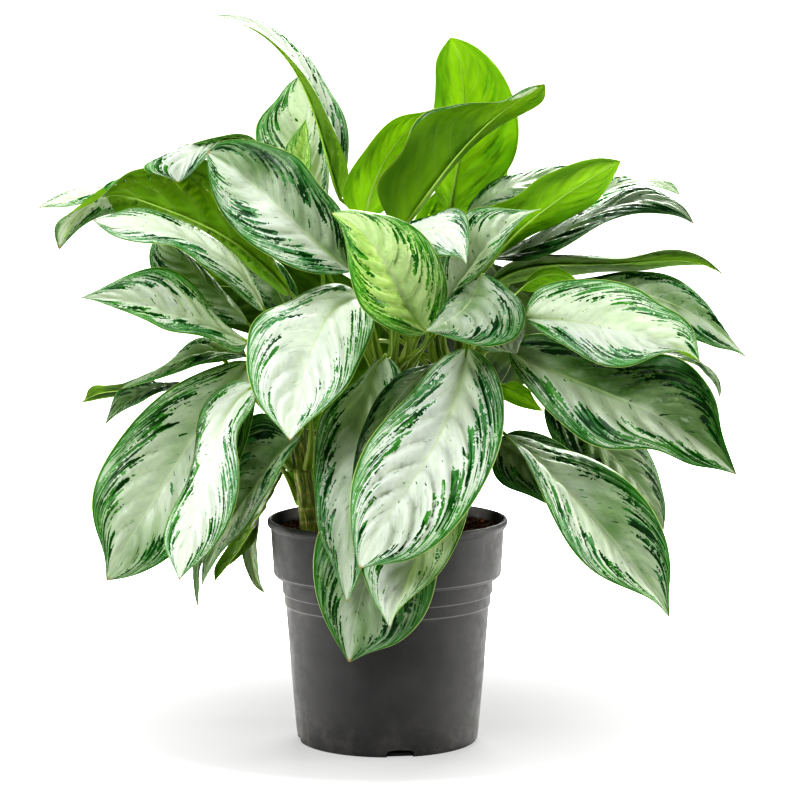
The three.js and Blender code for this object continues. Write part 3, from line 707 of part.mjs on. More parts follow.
    [295.3,69.4,292.8,295.3,69.4,292.8,295.3,69.4,292.8],
  ]],
  ['leaf_44', [[103.6,-71.0,348.7], [92.4,-66.8,354.1], [67.0,-36.4,344.1], [67.8,-19.1,309.3]], [
    [107.9,-68.9,358.6,103.6,-71.0,348.7,99.3,-74.6,344.8],
    [128.9,-66.3,361.5,119.1,-78.2,340.3,108.8,-94.0,330.1],
    [149.7,-65.9,356.6,135.4,-85.2,333.3,120.6,-108.7,316.7],
    [170.1,-69.2,351.1,151.9,-92.0,326.9,132.4,-117.8,302.9],
    [190.6,-77.0,348.1,168.5,-98.6,320.9,146.3,-122.5,290.4],
    [210.7,-88.5,345.5,185.1,-104.8,314.8,161.1,-125.5,278.7],
    [230.8,-100.2,347.7,201.4,-110.6,308.4,178.6,-128.3,271.8],
    [249.2,-110.4,341.7,217.5,-115.6,301.3,197.4,-131.3,271.3],
    [263.4,-118.2,327.6,233.1,-119.9,293.2,216.2,-134.0,272.2],
    [272.9,-123.6,309.7,248.2,-123.6,284.0,234.2,-135.5,266.8],
    [276.3,-127.5,289.4,262.7,-126.8,273.9,251.8,-135.5,259.4],
    [282.2,-130.3,269.8,276.5,-129.7,262.8,270.7,-134.2,255.9],
    [289.3,-132.6,250.6,289.3,-132.5,250.6,289.3,-132.6,250.6],
  ]],
  ['leaf_45', [[88.1,-30.3,319.1], [76.8,-28.3,321.8], [77.5,-20.9,320.1], [72.5,-16.2,312.6]], [
    [89.8,-30.8,323.5,88.1,-30.3,319.1,86.4,-31.3,310.6],
    [91.7,-36.4,319.5,92.1,-31.4,317.5,89.8,-31.6,308.0],
    [95.5,-40.6,317.1,96.1,-32.5,315.9,93.4,-31.7,305.7],
    [100.4,-42.5,317.9,100.0,-33.6,314.1,97.1,-31.7,303.5],
    [105.2,-42.7,319.2,103.9,-34.6,312.2,100.9,-31.9,301.6],
    [110.2,-42.2,319.2,107.8,-35.6,310.2,104.7,-32.4,299.8],
    [114.8,-41.8,317.3,111.6,-36.6,308.1,108.7,-33.2,298.2],
    [118.6,-41.9,314.1,115.3,-37.4,305.9,112.7,-34.3,296.9],
    [121.7,-42.3,310.3,119.0,-38.2,303.6,116.7,-35.5,295.8],
    [124.5,-42.7,306.1,122.6,-38.8,301.2,120.8,-36.7,294.8],
    [127.1,-42.6,301.8,126.2,-39.4,298.8,124.9,-38.0,294.1],
    [129.9,-41.9,297.5,129.7,-40.0,296.2,129.1,-39.2,293.5],
    [133.2,-40.5,293.5,133.2,-40.5,293.5,133.2,-40.5,293.5],
  ]],
  ['leaf_46', [[99.8,-66.5,276.8], [84.3,-54.5,289.3], [68.4,-29.2,305.2], [66.4,-21.3,293.0]], [
    [102.5,-63.5,276.5,99.8,-66.5,276.8,98.1,-67.2,276.9],
    [121.2,-57.0,271.7,112.8,-72.7,265.9,110.0,-89.3,266.9],
    [139.9,-55.4,264.5,125.7,-78.7,254.9,118.7,-106.4,253.6],
    [159.2,-58.7,260.4,138.4,-83.9,243.6,126.5,-117.0,238.9],
    [177.5,-65.7,254.1,150.8,-88.1,232.0,133.7,-122.0,223.2],
    [194.2,-74.6,245.1,163.0,-91.9,220.0,141.4,-123.0,207.0],
    [208.9,-83.2,233.3,175.0,-94.6,207.6,150.5,-121.5,191.1],
    [221.1,-91.2,219.1,186.6,-97.6,195.0,161.8,-119.9,176.6],
    [230.3,-98.1,202.7,197.8,-101.0,182.1,175.6,-119.2,164.8],
    [236.0,-103.2,184.5,208.5,-104.2,168.9,191.6,-119.1,156.6],
    [237.6,-106.8,165.2,218.8,-107.0,155.2,208.3,-118.6,149.5],
    [236.4,-109.6,145.8,228.4,-109.5,141.0,224.2,-116.3,140.3],
    [237.0,-112.0,126.3,237.0,-112.0,126.3,237.0,-112.2,126.3],
  ]],
  ['leaf_47', [[93.7,-48.4,267.8], [73.0,-44.7,273.4], [68.5,-25.4,264.5], [65.8,-22.8,258.8]], [
    [98.8,-47.2,278.0,93.7,-48.4,267.8,96.2,-50.7,261.2],
    [109.2,-48.2,278.2,101.7,-49.6,263.6,89.8,-53.4,253.1],
    [119.6,-49.3,277.5,109.8,-50.9,259.4,90.2,-56.2,242.9],
    [129.8,-49.6,275.3,117.8,-51.6,255.0,95.9,-58.5,234.4],
    [139.6,-50.3,271.5,125.7,-52.6,250.5,104.9,-60.5,229.2],
    [148.6,-51.7,266.4,133.5,-54.2,246.0,114.9,-62.2,225.9],
    [156.9,-54.4,260.6,141.2,-56.7,241.5,124.6,-64.2,222.0],
    [164.8,-57.9,254.3,148.8,-59.8,236.9,134.1,-66.2,217.6],
    [172.2,-61.9,247.6,156.2,-63.8,232.3,143.7,-68.2,213.5],
    [178.7,-65.1,239.9,163.5,-66.5,227.3,153.6,-69.7,210.0],
    [183.4,-67.7,231.0,170.7,-68.5,222.1,163.9,-70.6,208.0],
    [185.5,-69.7,221.0,177.8,-69.9,216.5,174.5,-71.0,208.2],
    [184.7,-70.9,210.7,184.7,-70.9,210.7,184.7,-70.9,210.7],
  ]],
  ['leaf_48', [[139.4,0.8,302.9], [128.6,-1.1,310.1], [91.7,-10.8,313.0], [71.7,-10.0,280.5]], [
    [135.0,-0.8,298.7,139.4,0.8,302.9,149.9,1.5,305.4],
    [136.1,-4.3,285.7,148.7,4.0,293.2,164.1,10.0,302.2],
    [139.0,-6.1,272.6,158.3,7.2,283.7,177.8,17.7,296.8],
    [144.9,-5.9,260.3,168.2,10.3,274.4,190.7,24.0,289.7],
    [153.6,-3.8,249.6,178.2,13.5,265.2,202.6,28.7,281.1],
    [163.8,0,239.8,188.1,16.6,255.9,213.3,32.2,271.1],
    [174.4,5.2,230.1,198.0,19.8,246.4,222.6,34.7,259.9],
    [185.1,11.4,220.2,207.5,23.0,236.6,230.6,36.5,247.7],
    [196.1,18.0,210.4,216.6,26.3,226.2,237.0,38.0,234.7],
    [207.4,24.3,201.0,225.1,29.6,215.3,241.7,39.1,221.1],
    [219.2,29.9,192.4,232.8,33.0,203.7,244.7,39.8,207.0],
    [231.6,34.9,184.8,239.4,36.3,191.4,245.7,40.0,192.7],
    [244.7,39.6,178.5,244.7,39.6,178.5,244.7,39.7,178.5],
  ]],
  ['leaf_49', [[-1.4,86.2,330.6], [17.1,74.5,354.0], [-35.6,34.7,345.6], [-43.6,38.9,322.4]], [
    [-1.5,83.6,331.6,-1.4,86.2,330.6,-1.3,88.8,329.6],
    [-15.1,81.3,332.2,-9.7,91.4,320.2,0.7,101.0,311.4],
    [-28.3,81.4,328.9,-17.8,96.5,309.4,0.4,109.5,294.2],
    [-40.6,84.4,321.7,-25.7,101.4,298.4,-2.1,114.2,278.8],
    [-51.8,89.8,311.5,-33.3,106.3,287.1,-6.4,116.1,264.9],
    [-61.8,97.0,298.9,-40.8,111.1,275.4,-12.4,116.5,252.3],
    [-70.8,105.6,284.4,-47.9,115.9,263.4,-19.7,116.7,240.6],
    [-78.8,114.8,268.6,-54.8,120.7,251.1,-28.1,117.8,229.4],
    [-85.5,123.6,252.0,-61.4,125.5,238.5,-37.5,120.1,218.6],
    [-90.2,130.8,234.8,-67.6,130.3,225.5,-47.9,124.1,208.4],
    [-92.0,136.3,217.5,-73.6,135.0,212.3,-59.2,129.5,199.0],
    [-90.1,140.4,200.7,-79.2,139.7,198.8,-71.5,136.3,191.0],
    [-84.5,144.3,185.0,-84.5,144.2,185.0,-84.5,144.2,185.0],
  ]],
  ['leaf_50', [[42.7,56.2,381.9], [44.0,37.0,395.3], [40.3,44.3,337.6], [48.4,40.7,327.1]], [
    [42.3,59.5,382.9,42.7,56.2,381.9,43.1,53.2,381.0],
    [29.9,82.4,379.6,41.9,69.5,372.7,55.4,57.0,372.6],
    [19.0,101.3,373.9,40.5,82.7,363.3,64.7,65.3,362.7],
    [9.6,115.4,365.7,38.7,95.8,353.9,70.6,78.2,352.1],
    [1.9,125.7,355.6,36.4,109.0,344.4,72.9,94.6,341.1],
    [-4.2,133.8,344.2,33.6,122.2,334.8,72.1,112.9,330.2],
    [-8.8,141.4,332.0,30.4,135.6,325.3,68.6,131.7,319.3],
    [-11.9,150.0,319.7,26.8,149.0,315.8,62.7,149.7,308.5],
    [-13.3,160.5,307.7,22.8,162.5,306.2,54.6,166.3,298.1],
    [-12.7,172.9,296.1,18.3,176.0,296.7,44.6,181.2,288.3],
    [-9.9,186.9,285.5,13.6,189.6,287.1,32.6,194.4,279.5],
    [-4.6,201.7,276.0,8.4,203.2,277.6,18.7,206.2,272.5],
    [3.0,216.7,268.0,2.9,216.7,268.0,2.9,216.8,268.0],
  ]],
  ['leaf_51', [[-5.5,73.0,398.1], [-40.3,59.8,371.2], [34.1,51.4,325.7], [47.7,49.3,328.7]], [
    [-4.0,74.8,399.4,-5.5,73.0,398.1,-4.2,74.5,399.2],
    [5.1,86.0,416.1,4.2,76.7,405.6,11.5,87.6,402.2],
    [13.4,93.5,431.0,14.1,80.4,412.9,26.7,96.7,404.8],
    [20.1,97.2,443.4,24.0,84.0,420.2,40.8,101.9,407.7],
    [25.7,98.1,453.6,34.0,87.6,427.4,53.6,104.3,411.5],
    [31.1,97.2,462.3,43.9,91.2,434.8,65.5,105.3,417.3],
    [37.5,95.9,470.2,53.9,94.7,442.4,76.2,106.1,425.6],
    [45.8,95.3,477.7,63.7,98.2,450.2,85.1,107.4,436.4],
    [56.4,96.0,484.3,73.4,101.7,458.3,92.5,109.5,448.5],
    [68.8,98.5,489.3,82.8,105.2,466.9,98.5,111.8,460.9],
    [82.1,102.8,492.7,91.8,108.8,476.0,103.1,113.9,473.0],
    [95.5,108.8,494.7,100.4,112.4,485.5,106.3,115.3,484.5],
    [108.3,116.3,495.5,108.3,116.3,495.6,108.4,116.3,495.6],
  ]],
  ['leaf_52', [[-1.5,101.9,329.1], [23.2,100.6,309.3], [-100.1,99.5,338.1], [-63.4,45.3,328.1]], [
    [1.3,99.5,329.2,-1.5,101.9,329.1,-4.5,104.4,328.9],
    [3.0,95.7,346.5,-14.8,102.6,339.7,-32.0,111.5,332.9],
    [-1.0,92.8,363.1,-28.7,102.5,349.5,-55.8,114.7,336.0],
    [-11.1,91.7,378.6,-43.2,101.6,358.6,-75.1,113.6,338.5],
    [-26.7,91.9,392.8,-58.3,100.0,366.8,-90.6,109.1,340.8],
    [-46.6,92.8,405.2,-74.1,98.0,374.0,-103.3,102.2,343.3],
    [-69.8,93.4,415.2,-90.5,95.6,380.1,-114.6,94.2,346.0],
    [-94.6,92.5,421.7,-107.6,92.9,385.1,-125.9,86.4,349.5],
    [-119.2,89.8,423.8,-125.1,89.8,388.9,-138.5,80.1,354.0],
    [-142.4,85.6,421.5,-143.1,86.6,391.2,-152.8,75.7,359.9],
    [-163.5,81.1,414.7,-161.3,83.1,392.1,-168.1,73.6,367.6],
    [-182.1,77.5,403.6,-179.6,79.6,391.4,-183.5,73.6,377.5],
    [-197.9,76.0,389.1,-197.8,76.0,389.1,-197.8,76.0,389.1],
  ]],
  ['leaf_53', [[92.3,58.9,414.0], [81.7,36.2,430.8], [47.1,63.4,357.6], [66.1,51.0,327.9]], [
    [92.4,55.8,413.3,92.3,58.9,414.0,92.3,62.5,414.7],
    [108.5,55.2,408.2,98.3,71.5,404.6,88.8,89.0,406.9],
    [122.8,59.4,400.2,103.5,84.2,394.7,85.5,110.5,397.9],
    [134.4,68.7,389.7,108.0,96.8,384.5,82.8,126.3,387.5],
    [142.6,81.9,377.3,111.7,109.7,373.9,80.5,137.6,376.1],
    [147.8,98.1,363.8,114.6,122.7,363.0,79.0,145.8,364.0],
    [150.1,116.4,350.0,116.4,136.0,351.9,78.4,152.5,351.6],
    [150.0,136.2,336.0,117.2,149.6,340.6,78.6,159.5,339.1],
    [147.4,156.1,322.0,116.8,163.4,329.2,80.1,168.2,327.0],
    [141.7,175.0,308.4,115.1,177.3,317.8,82.9,178.8,315.3],
    [132.1,191.9,296.4,111.9,191.3,306.5,87.3,191.3,304.4],
    [118.0,206.5,288.0,107.2,205.2,295.6,93.3,204.9,294.3],
    [100.9,219.0,285.1,100.9,219.0,285.1,100.9,218.9,285.1],
  ]],
];

// ------------------------------------------------------------------- helpers
const v3 = (a) => new THREE.Vector3(a[0], a[1], a[2]);

// A BufferGeometry with shared vertices merged, no collapsed triangles and its faces out.
function tidy(geometry) {
  const g = geometry.clone();
  for (const key of Object.keys(g.attributes)) if (key !== 'position') g.deleteAttribute(key);
  const m = mergeVertices(g, 1e-4);
  const p = m.attributes.position;
  const tri = [];
  const src = m.index.array;
  let volume = 0;
  const a = new THREE.Vector3(), b = new THREE.Vector3(), c = new THREE.Vector3();
  for (let i = 0; i < src.length; i += 3) {
    const [x, y, z] = [src[i], src[i + 1], src[i + 2]];
    if (x === y || y === z || x === z) continue;
    tri.push(x, y, z);
    a.fromBufferAttribute(p, x); b.fromBufferAttribute(p, y); c.fromBufferAttribute(p, z);
    volume += a.dot(b.cross(c));
  }
  if (volume < 0) for (let i = 0; i < tri.length; i += 3) [tri[i + 1], tri[i + 2]] = [tri[i + 2], tri[i + 1]];
  const out = new THREE.BufferGeometry();
  out.setAttribute('position', new THREE.BufferAttribute(new Float32Array(p.array), 3));
  out.setIndex(tri);
  return out;
}

function solid(geometry) {
  const g = tidy(geometry);
  return new wasm.Manifold(new wasm.Mesh({
    numProp: 3,
    vertProperties: new Float32Array(g.attributes.position.array),
    triVerts: new Uint32Array(g.index.array),
  }));
}

function toGeometry(manifold) {
  const m = manifold.getMesh();
  const pos = new Float32Array(m.numVert * 3);
  for (let i = 0; i < m.numVert; i++) for (let k = 0; k < 3; k++) pos[3 * i + k] = m.vertProperties[i * m.numProp + k];
  const g = new THREE.BufferGeometry();
  g.setAttribute('position', new THREE.BufferAttribute(pos, 3));
  g.setIndex(Array.from(m.triVerts));
  g.computeVertexNormals();
  return g;
}

// A closed skin over a stack of rings that all have the same number of points.
function skin(rings) {
  const n = rings[0].length;
  const pos = [];
  for (const ring of rings) for (const q of ring) pos.push(q.x, q.y, q.z);
  const index = [];
  for (let i = 0; i < rings.length - 1; i++) {
    for (let j = 0; j < n; j++) {
      const k = (j + 1) % n;
      const a = i * n + j, b = i * n + k, c = (i + 1) * n + j, d = (i + 1) * n + k;
      index.push(a, b, d, a, d, c);
    }
  }
  for (let j = 1; j < n - 1; j++) {
    index.push(0, j + 1, j);
    const o = (rings.length - 1) * n;
    index.push(o, o + j, o + j + 1);
  }
  const g = new THREE.BufferGeometry();
  g.setAttribute('position', new THREE.BufferAttribute(new Float32Array(pos), 3));
  g.setIndex(index);
  return g;
}

// A round rod along a list of points, with a radius at each point.
function rod(points, radii, sides) {
  const rings = [];
  const up = new THREE.Vector3(0.31, -0.94, 0.12).normalize();
  let normal = null;
  for (let i = 0; i < points.length; i++) {
    const t = new THREE.Vector3().subVectors(points[Math.min(i + 1, points.length - 1)], points[Math.max(i - 1, 0)]).normalize();
    if (!normal) normal = up.clone();
    normal = normal.clone().addScaledVector(t, -normal.dot(t)).normalize();
    const side = new THREE.Vector3().crossVectors(t, normal);
    const ring = [];
    for (let k = 0; k < sides; k++) {
      const a = (k / sides) * Math.PI * 2;
      ring.push(points[i].clone().addScaledVector(normal, Math.cos(a) * radii[i]).addScaledVector(side, Math.sin(a) * radii[i]));
    }
    rings.push(ring);
  }
  return skin(rings);
}

function curveOf(rows) {
  return new THREE.CatmullRomCurve3(rows.map(v3), false, 'catmullrom', 0.5);
}

// --------------------------------------------------------------------- parts
function makePot() {
  const profile = POT_OUT.concat(POT_IN).map(([r, z]) => new THREE.Vector2(r, z));
  let body = solid(new THREE.LatheGeometry(profile, SEGS).rotateX(Math.PI / 2));
  for (let i = 0; i < SLOT_N; i++) {
    const slot = new THREE.BoxGeometry(14, SLOT_W, SLOT_H + 4);
    slot.translate(79, 0, SLOT_H / 2 - 2);
    slot.rotateZ(THREE.MathUtils.degToRad(SLOT_AZ + (i * 360) / SLOT_N));
    body = body.subtract(solid(slot));
  }
  return toGeometry(body);
}

// Crumbs of the soil surface, as a smooth function of place.
function crumbs(x, y) {
  return 1.3 * Math.sin(x * 0.13 + 1.1) * Math.cos(y * 0.11 - 0.4) + 0.9 * Math.sin(x * 0.29 + y * 0.23) + 0.5 * Math.cos(x * 0.41 - y * 0.37);
}

function makeSoil(stems) {
  const rings = [];
  const ringAt = (r, z, bumpy) => {
    const ring = [];
    for (let k = 0; k < SEGS; k++) {
      // the same corners as the pot's wall, so that the gap between them is even
      const a = (k / SEGS) * Math.PI * 2;
      const x = Math.sin(a) * r, y = Math.cos(a) * r;
      ring.push(new THREE.Vector3(x, y, bumpy ? z + crumbs(x, y) : z));
    }
    return ring;
  };
  for (const [r, z] of SOIL_SIDE) rings.push(ringAt(Math.max(r, 0.001), z, false));
  for (const [r, z] of SOIL_TOP) rings.push(ringAt(Math.max(r, 0.001), z, r > 1));
  rings[0] = ringAt(1.5, SOIL_SIDE[0][1], false);
  rings[rings.length - 1] = ringAt(1.5, SOIL_TOP[SOIL_TOP.length - 1][1], false);
  let body = solid(skin(rings));
  for (const s of stems) {
    const hole = rod(s.path, s.radii.map((r) => r + STEM_GAP + 0.3), 8);
    body = body.subtract(solid(hole));
  }
  return toGeometry(body);
}

function stemSpec([name, r0, r1, rows]) {
  const curve = curveOf(rows);
  const path = [], radii = [];
  const n = 7;
  for (let i = 0; i <= n; i++) {
    path.push(curve.getPoint(i / n));
    radii.push(r0 + ((r1 - r0) * i) / n);
  }
  // a short domed top
  const last = path[n], dir = new THREE.Vector3().subVectors(last, path[n - 1]).normalize();
  path.push(last.clone().addScaledVector(dir, 4));
  radii.push(r1 * 0.55);
  return { name, path, radii };
}

// A leaf is one piece: a thin curved blade and the stalk that carries it to a stem.
// The blade is the union of small convex plates, so it stays one clean body at sharp folds.
const BLADE_AT = [0.025, 0.11, 0.22, 0.34, 0.47, 0.6, 0.73, 0.86, 0.975];
function makeLeaf(edgeA, midrib, edgeB, stalk) {
  const A = curveOf(edgeA), M = curveOf(midrib), B = curveOf(edgeB);
  const h = LEAF_T / 2;
  const pair = (q, n) => [q.clone().addScaledVector(n, h), q.clone().addScaledVector(n, -h)];
  const rows = BLADE_AT.map((s) => {
    const a = A.getPoint(s), m = M.getPoint(s), b = B.getPoint(s);
    const along = M.getTangent(s);
    const na = new THREE.Vector3().subVectors(m, a).cross(along);
    const nb = new THREE.Vector3().subVectors(b, m).cross(along);
    if (na.length() < 1e-6) na.copy(nb);
    if (nb.length() < 1e-6) nb.copy(na);
    na.normalize(); nb.normalize();
    const nm = na.clone().add(nb);
    if (nm.length() < 0.5) nm.copy(na);
    nm.normalize();
    return [pair(a, na), pair(m, nm), pair(b, nb)];
  });
  const plates = [];
  const plate = (...corners) => plates.push(wasm.Manifold.hull(corners.flat().map((p) => [p.x, p.y, p.z])));
  for (let i = 0; i < rows.length - 1; i++) {
    for (let j = 0; j < 2; j++) {
      const a = rows[i][j], b = rows[i][j + 1], c = rows[i + 1][j], d = rows[i + 1][j + 1];
      plate(a, b, c);
      plate(b, c, d);
    }
  }
  const bez = new THREE.CubicBezierCurve3(...stalk.map(v3));
  const path = [M.getPoint(0.05)];
  const radii = [1.2];
  const n = 6;
  for (let i = 0; i <= n; i++) {
    path.push(bez.getPoint(i / n));
    radii.push(PETIOLE_R0 + ((PETIOLE_R1 - PETIOLE_R0) * i) / n);
  }
  plates.push(solid(rod(path, radii, 5)));
  // keep the one outer body, without the slivers that a sharp fold can leave inside it
  const bodies = wasm.Manifold.union(plates).simplify(LEAF_EASE).decompose();
  bodies.sort((p, q) => q.volume() - p.volume());
  return toGeometry(bodies[0]);
}

// --------------------------------------------------------------------- model
const finish = {
  pot: new THREE.MeshStandardMaterial({ color: 0x2e2e31, roughness: 0.62, metalness: 0 }),
  soil: new THREE.MeshStandardMaterial({ color: 0x3a2419, roughness: 1, metalness: 0 }),
  stem: new THREE.MeshStandardMaterial({ color: 0x8d9a3c, roughness: 0.5, metalness: 0 }),
  leaf: new THREE.MeshStandardMaterial({ color: 0x8fb58a, roughness: 0.38, metalness: 0 }),
  youngLeaf: new THREE.MeshStandardMaterial({ color: 0xb4d060, roughness: 0.38, metalness: 0 }),
};
const plant = new THREE.Group();
function addPart(name, geometry, material) {
  const mesh = new THREE.Mesh(geometry, material);
  mesh.name = name;
  plant.add(mesh);
}
const stems = STEMS.map(stemSpec);
addPart('pot', makePot(), finish.pot);
addPart('soil', makeSoil(stems), finish.soil);
for (const s of stems) addPart(s.name, toGeometry(solid(rod(s.path, s.radii, 8))), finish.stem);
for (const [name, stalk, rows] of LEAVES) {
  const at = (k) => rows.map((r) => r.slice(3 * k, 3 * k + 3));
  addPart(name, makeLeaf(at(0), at(1), at(2), stalk), YOUNG.includes(name) ? finish.youngLeaf : finish.leaf);
}
export default plant;
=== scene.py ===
# Looks of the potted chinese evergreen in its black nursery pot.
# Lengths in the tables are millimetres, in the frame's own axes; MM turns them into metres.
import math
import bpy
import numpy as np
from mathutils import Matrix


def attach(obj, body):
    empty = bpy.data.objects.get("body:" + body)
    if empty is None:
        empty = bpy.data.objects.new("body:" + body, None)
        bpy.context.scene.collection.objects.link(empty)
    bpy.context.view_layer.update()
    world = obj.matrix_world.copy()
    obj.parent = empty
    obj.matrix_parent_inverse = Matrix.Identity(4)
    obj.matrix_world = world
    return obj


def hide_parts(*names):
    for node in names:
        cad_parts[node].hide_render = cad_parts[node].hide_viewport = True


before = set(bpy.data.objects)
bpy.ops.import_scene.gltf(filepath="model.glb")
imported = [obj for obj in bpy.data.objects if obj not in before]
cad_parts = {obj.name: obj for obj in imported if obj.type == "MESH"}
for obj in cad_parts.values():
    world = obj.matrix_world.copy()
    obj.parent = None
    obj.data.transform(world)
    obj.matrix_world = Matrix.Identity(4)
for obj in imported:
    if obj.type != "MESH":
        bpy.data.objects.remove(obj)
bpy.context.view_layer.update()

MM = 0.001
SEG = 144  # round the pot

# ---------------------------------------------------------------- tables
# Outside and inside of the pot, as radius and height.
POT_OUT = [
    (0, 0), (76.9, 0), (78.3, 0.9), (79.1, 3.2), (79.9, 10), (85.5, 76), (88.7, 118),
    (90.0, 120.8), (90.3, 130.0), (91.7, 131.0), (92.0, 144.4), (97.8, 145.4),
    (99.3, 147.8), (100.6, 168), (101.8, 187.4), (104.2, 189.4), (105.0, 192.0),
    (104.4, 194.9), (103.0, 195.7), (101.4, 195.4), (100.6, 193.6),
]
POT_IN = [
    (99.3, 187.0), (98.0, 168), (96.7, 150), (95.2, 146.4), (89.4, 144.2), (89.1, 131.8),
    (87.6, 130.6), (87.2, 121.6), (86.0, 118), (82.7, 76), (77.6, 14), (76.6, 3), (0, 3),
]
SLOT_W, SLOT_H, SLOT_N, SLOT_AZ = 23, 6.5, 4, -81.8
SOIL_SIDE = [
    (0, 3.4), (60, 3.4), (66, 10), (76.2, 16), (85.3, 117.4),
    (86.9, 130.0), (88.7, 145.0), (94.6, 147.9), (96.4, 152), (98.3, 178),
]
SOIL_Z = 185.0

# Stems: name, radius at the soil, radius at the top, points upwards.
STEMS = [
    ('stem_a', 8.5, 7.0, [(-64, -24, 148), (-70, -20, 215), (-77, -14, 262), (-80, -6, 305)]),
    ('stem_b', 9.0, 7.0, [(-40, 28, 148), (-44, 34, 220), (-50, 40, 280), (-54, 42, 335)]),
    ('stem_c', 9.5, 7.5, [(2, 2, 148), (2, 6, 220), (4, 8, 280), (6, 8, 335)]),
    ('stem_d', 9.0, 7.0, [(44, -20, 148), (52, -18, 220), (60, -14, 270), (66, -8, 318)]),
    ('stem_e', 9.0, 7.0, [(42, 34, 148), (46, 40, 220), (52, 44, 280), (58, 46, 335)]),
]

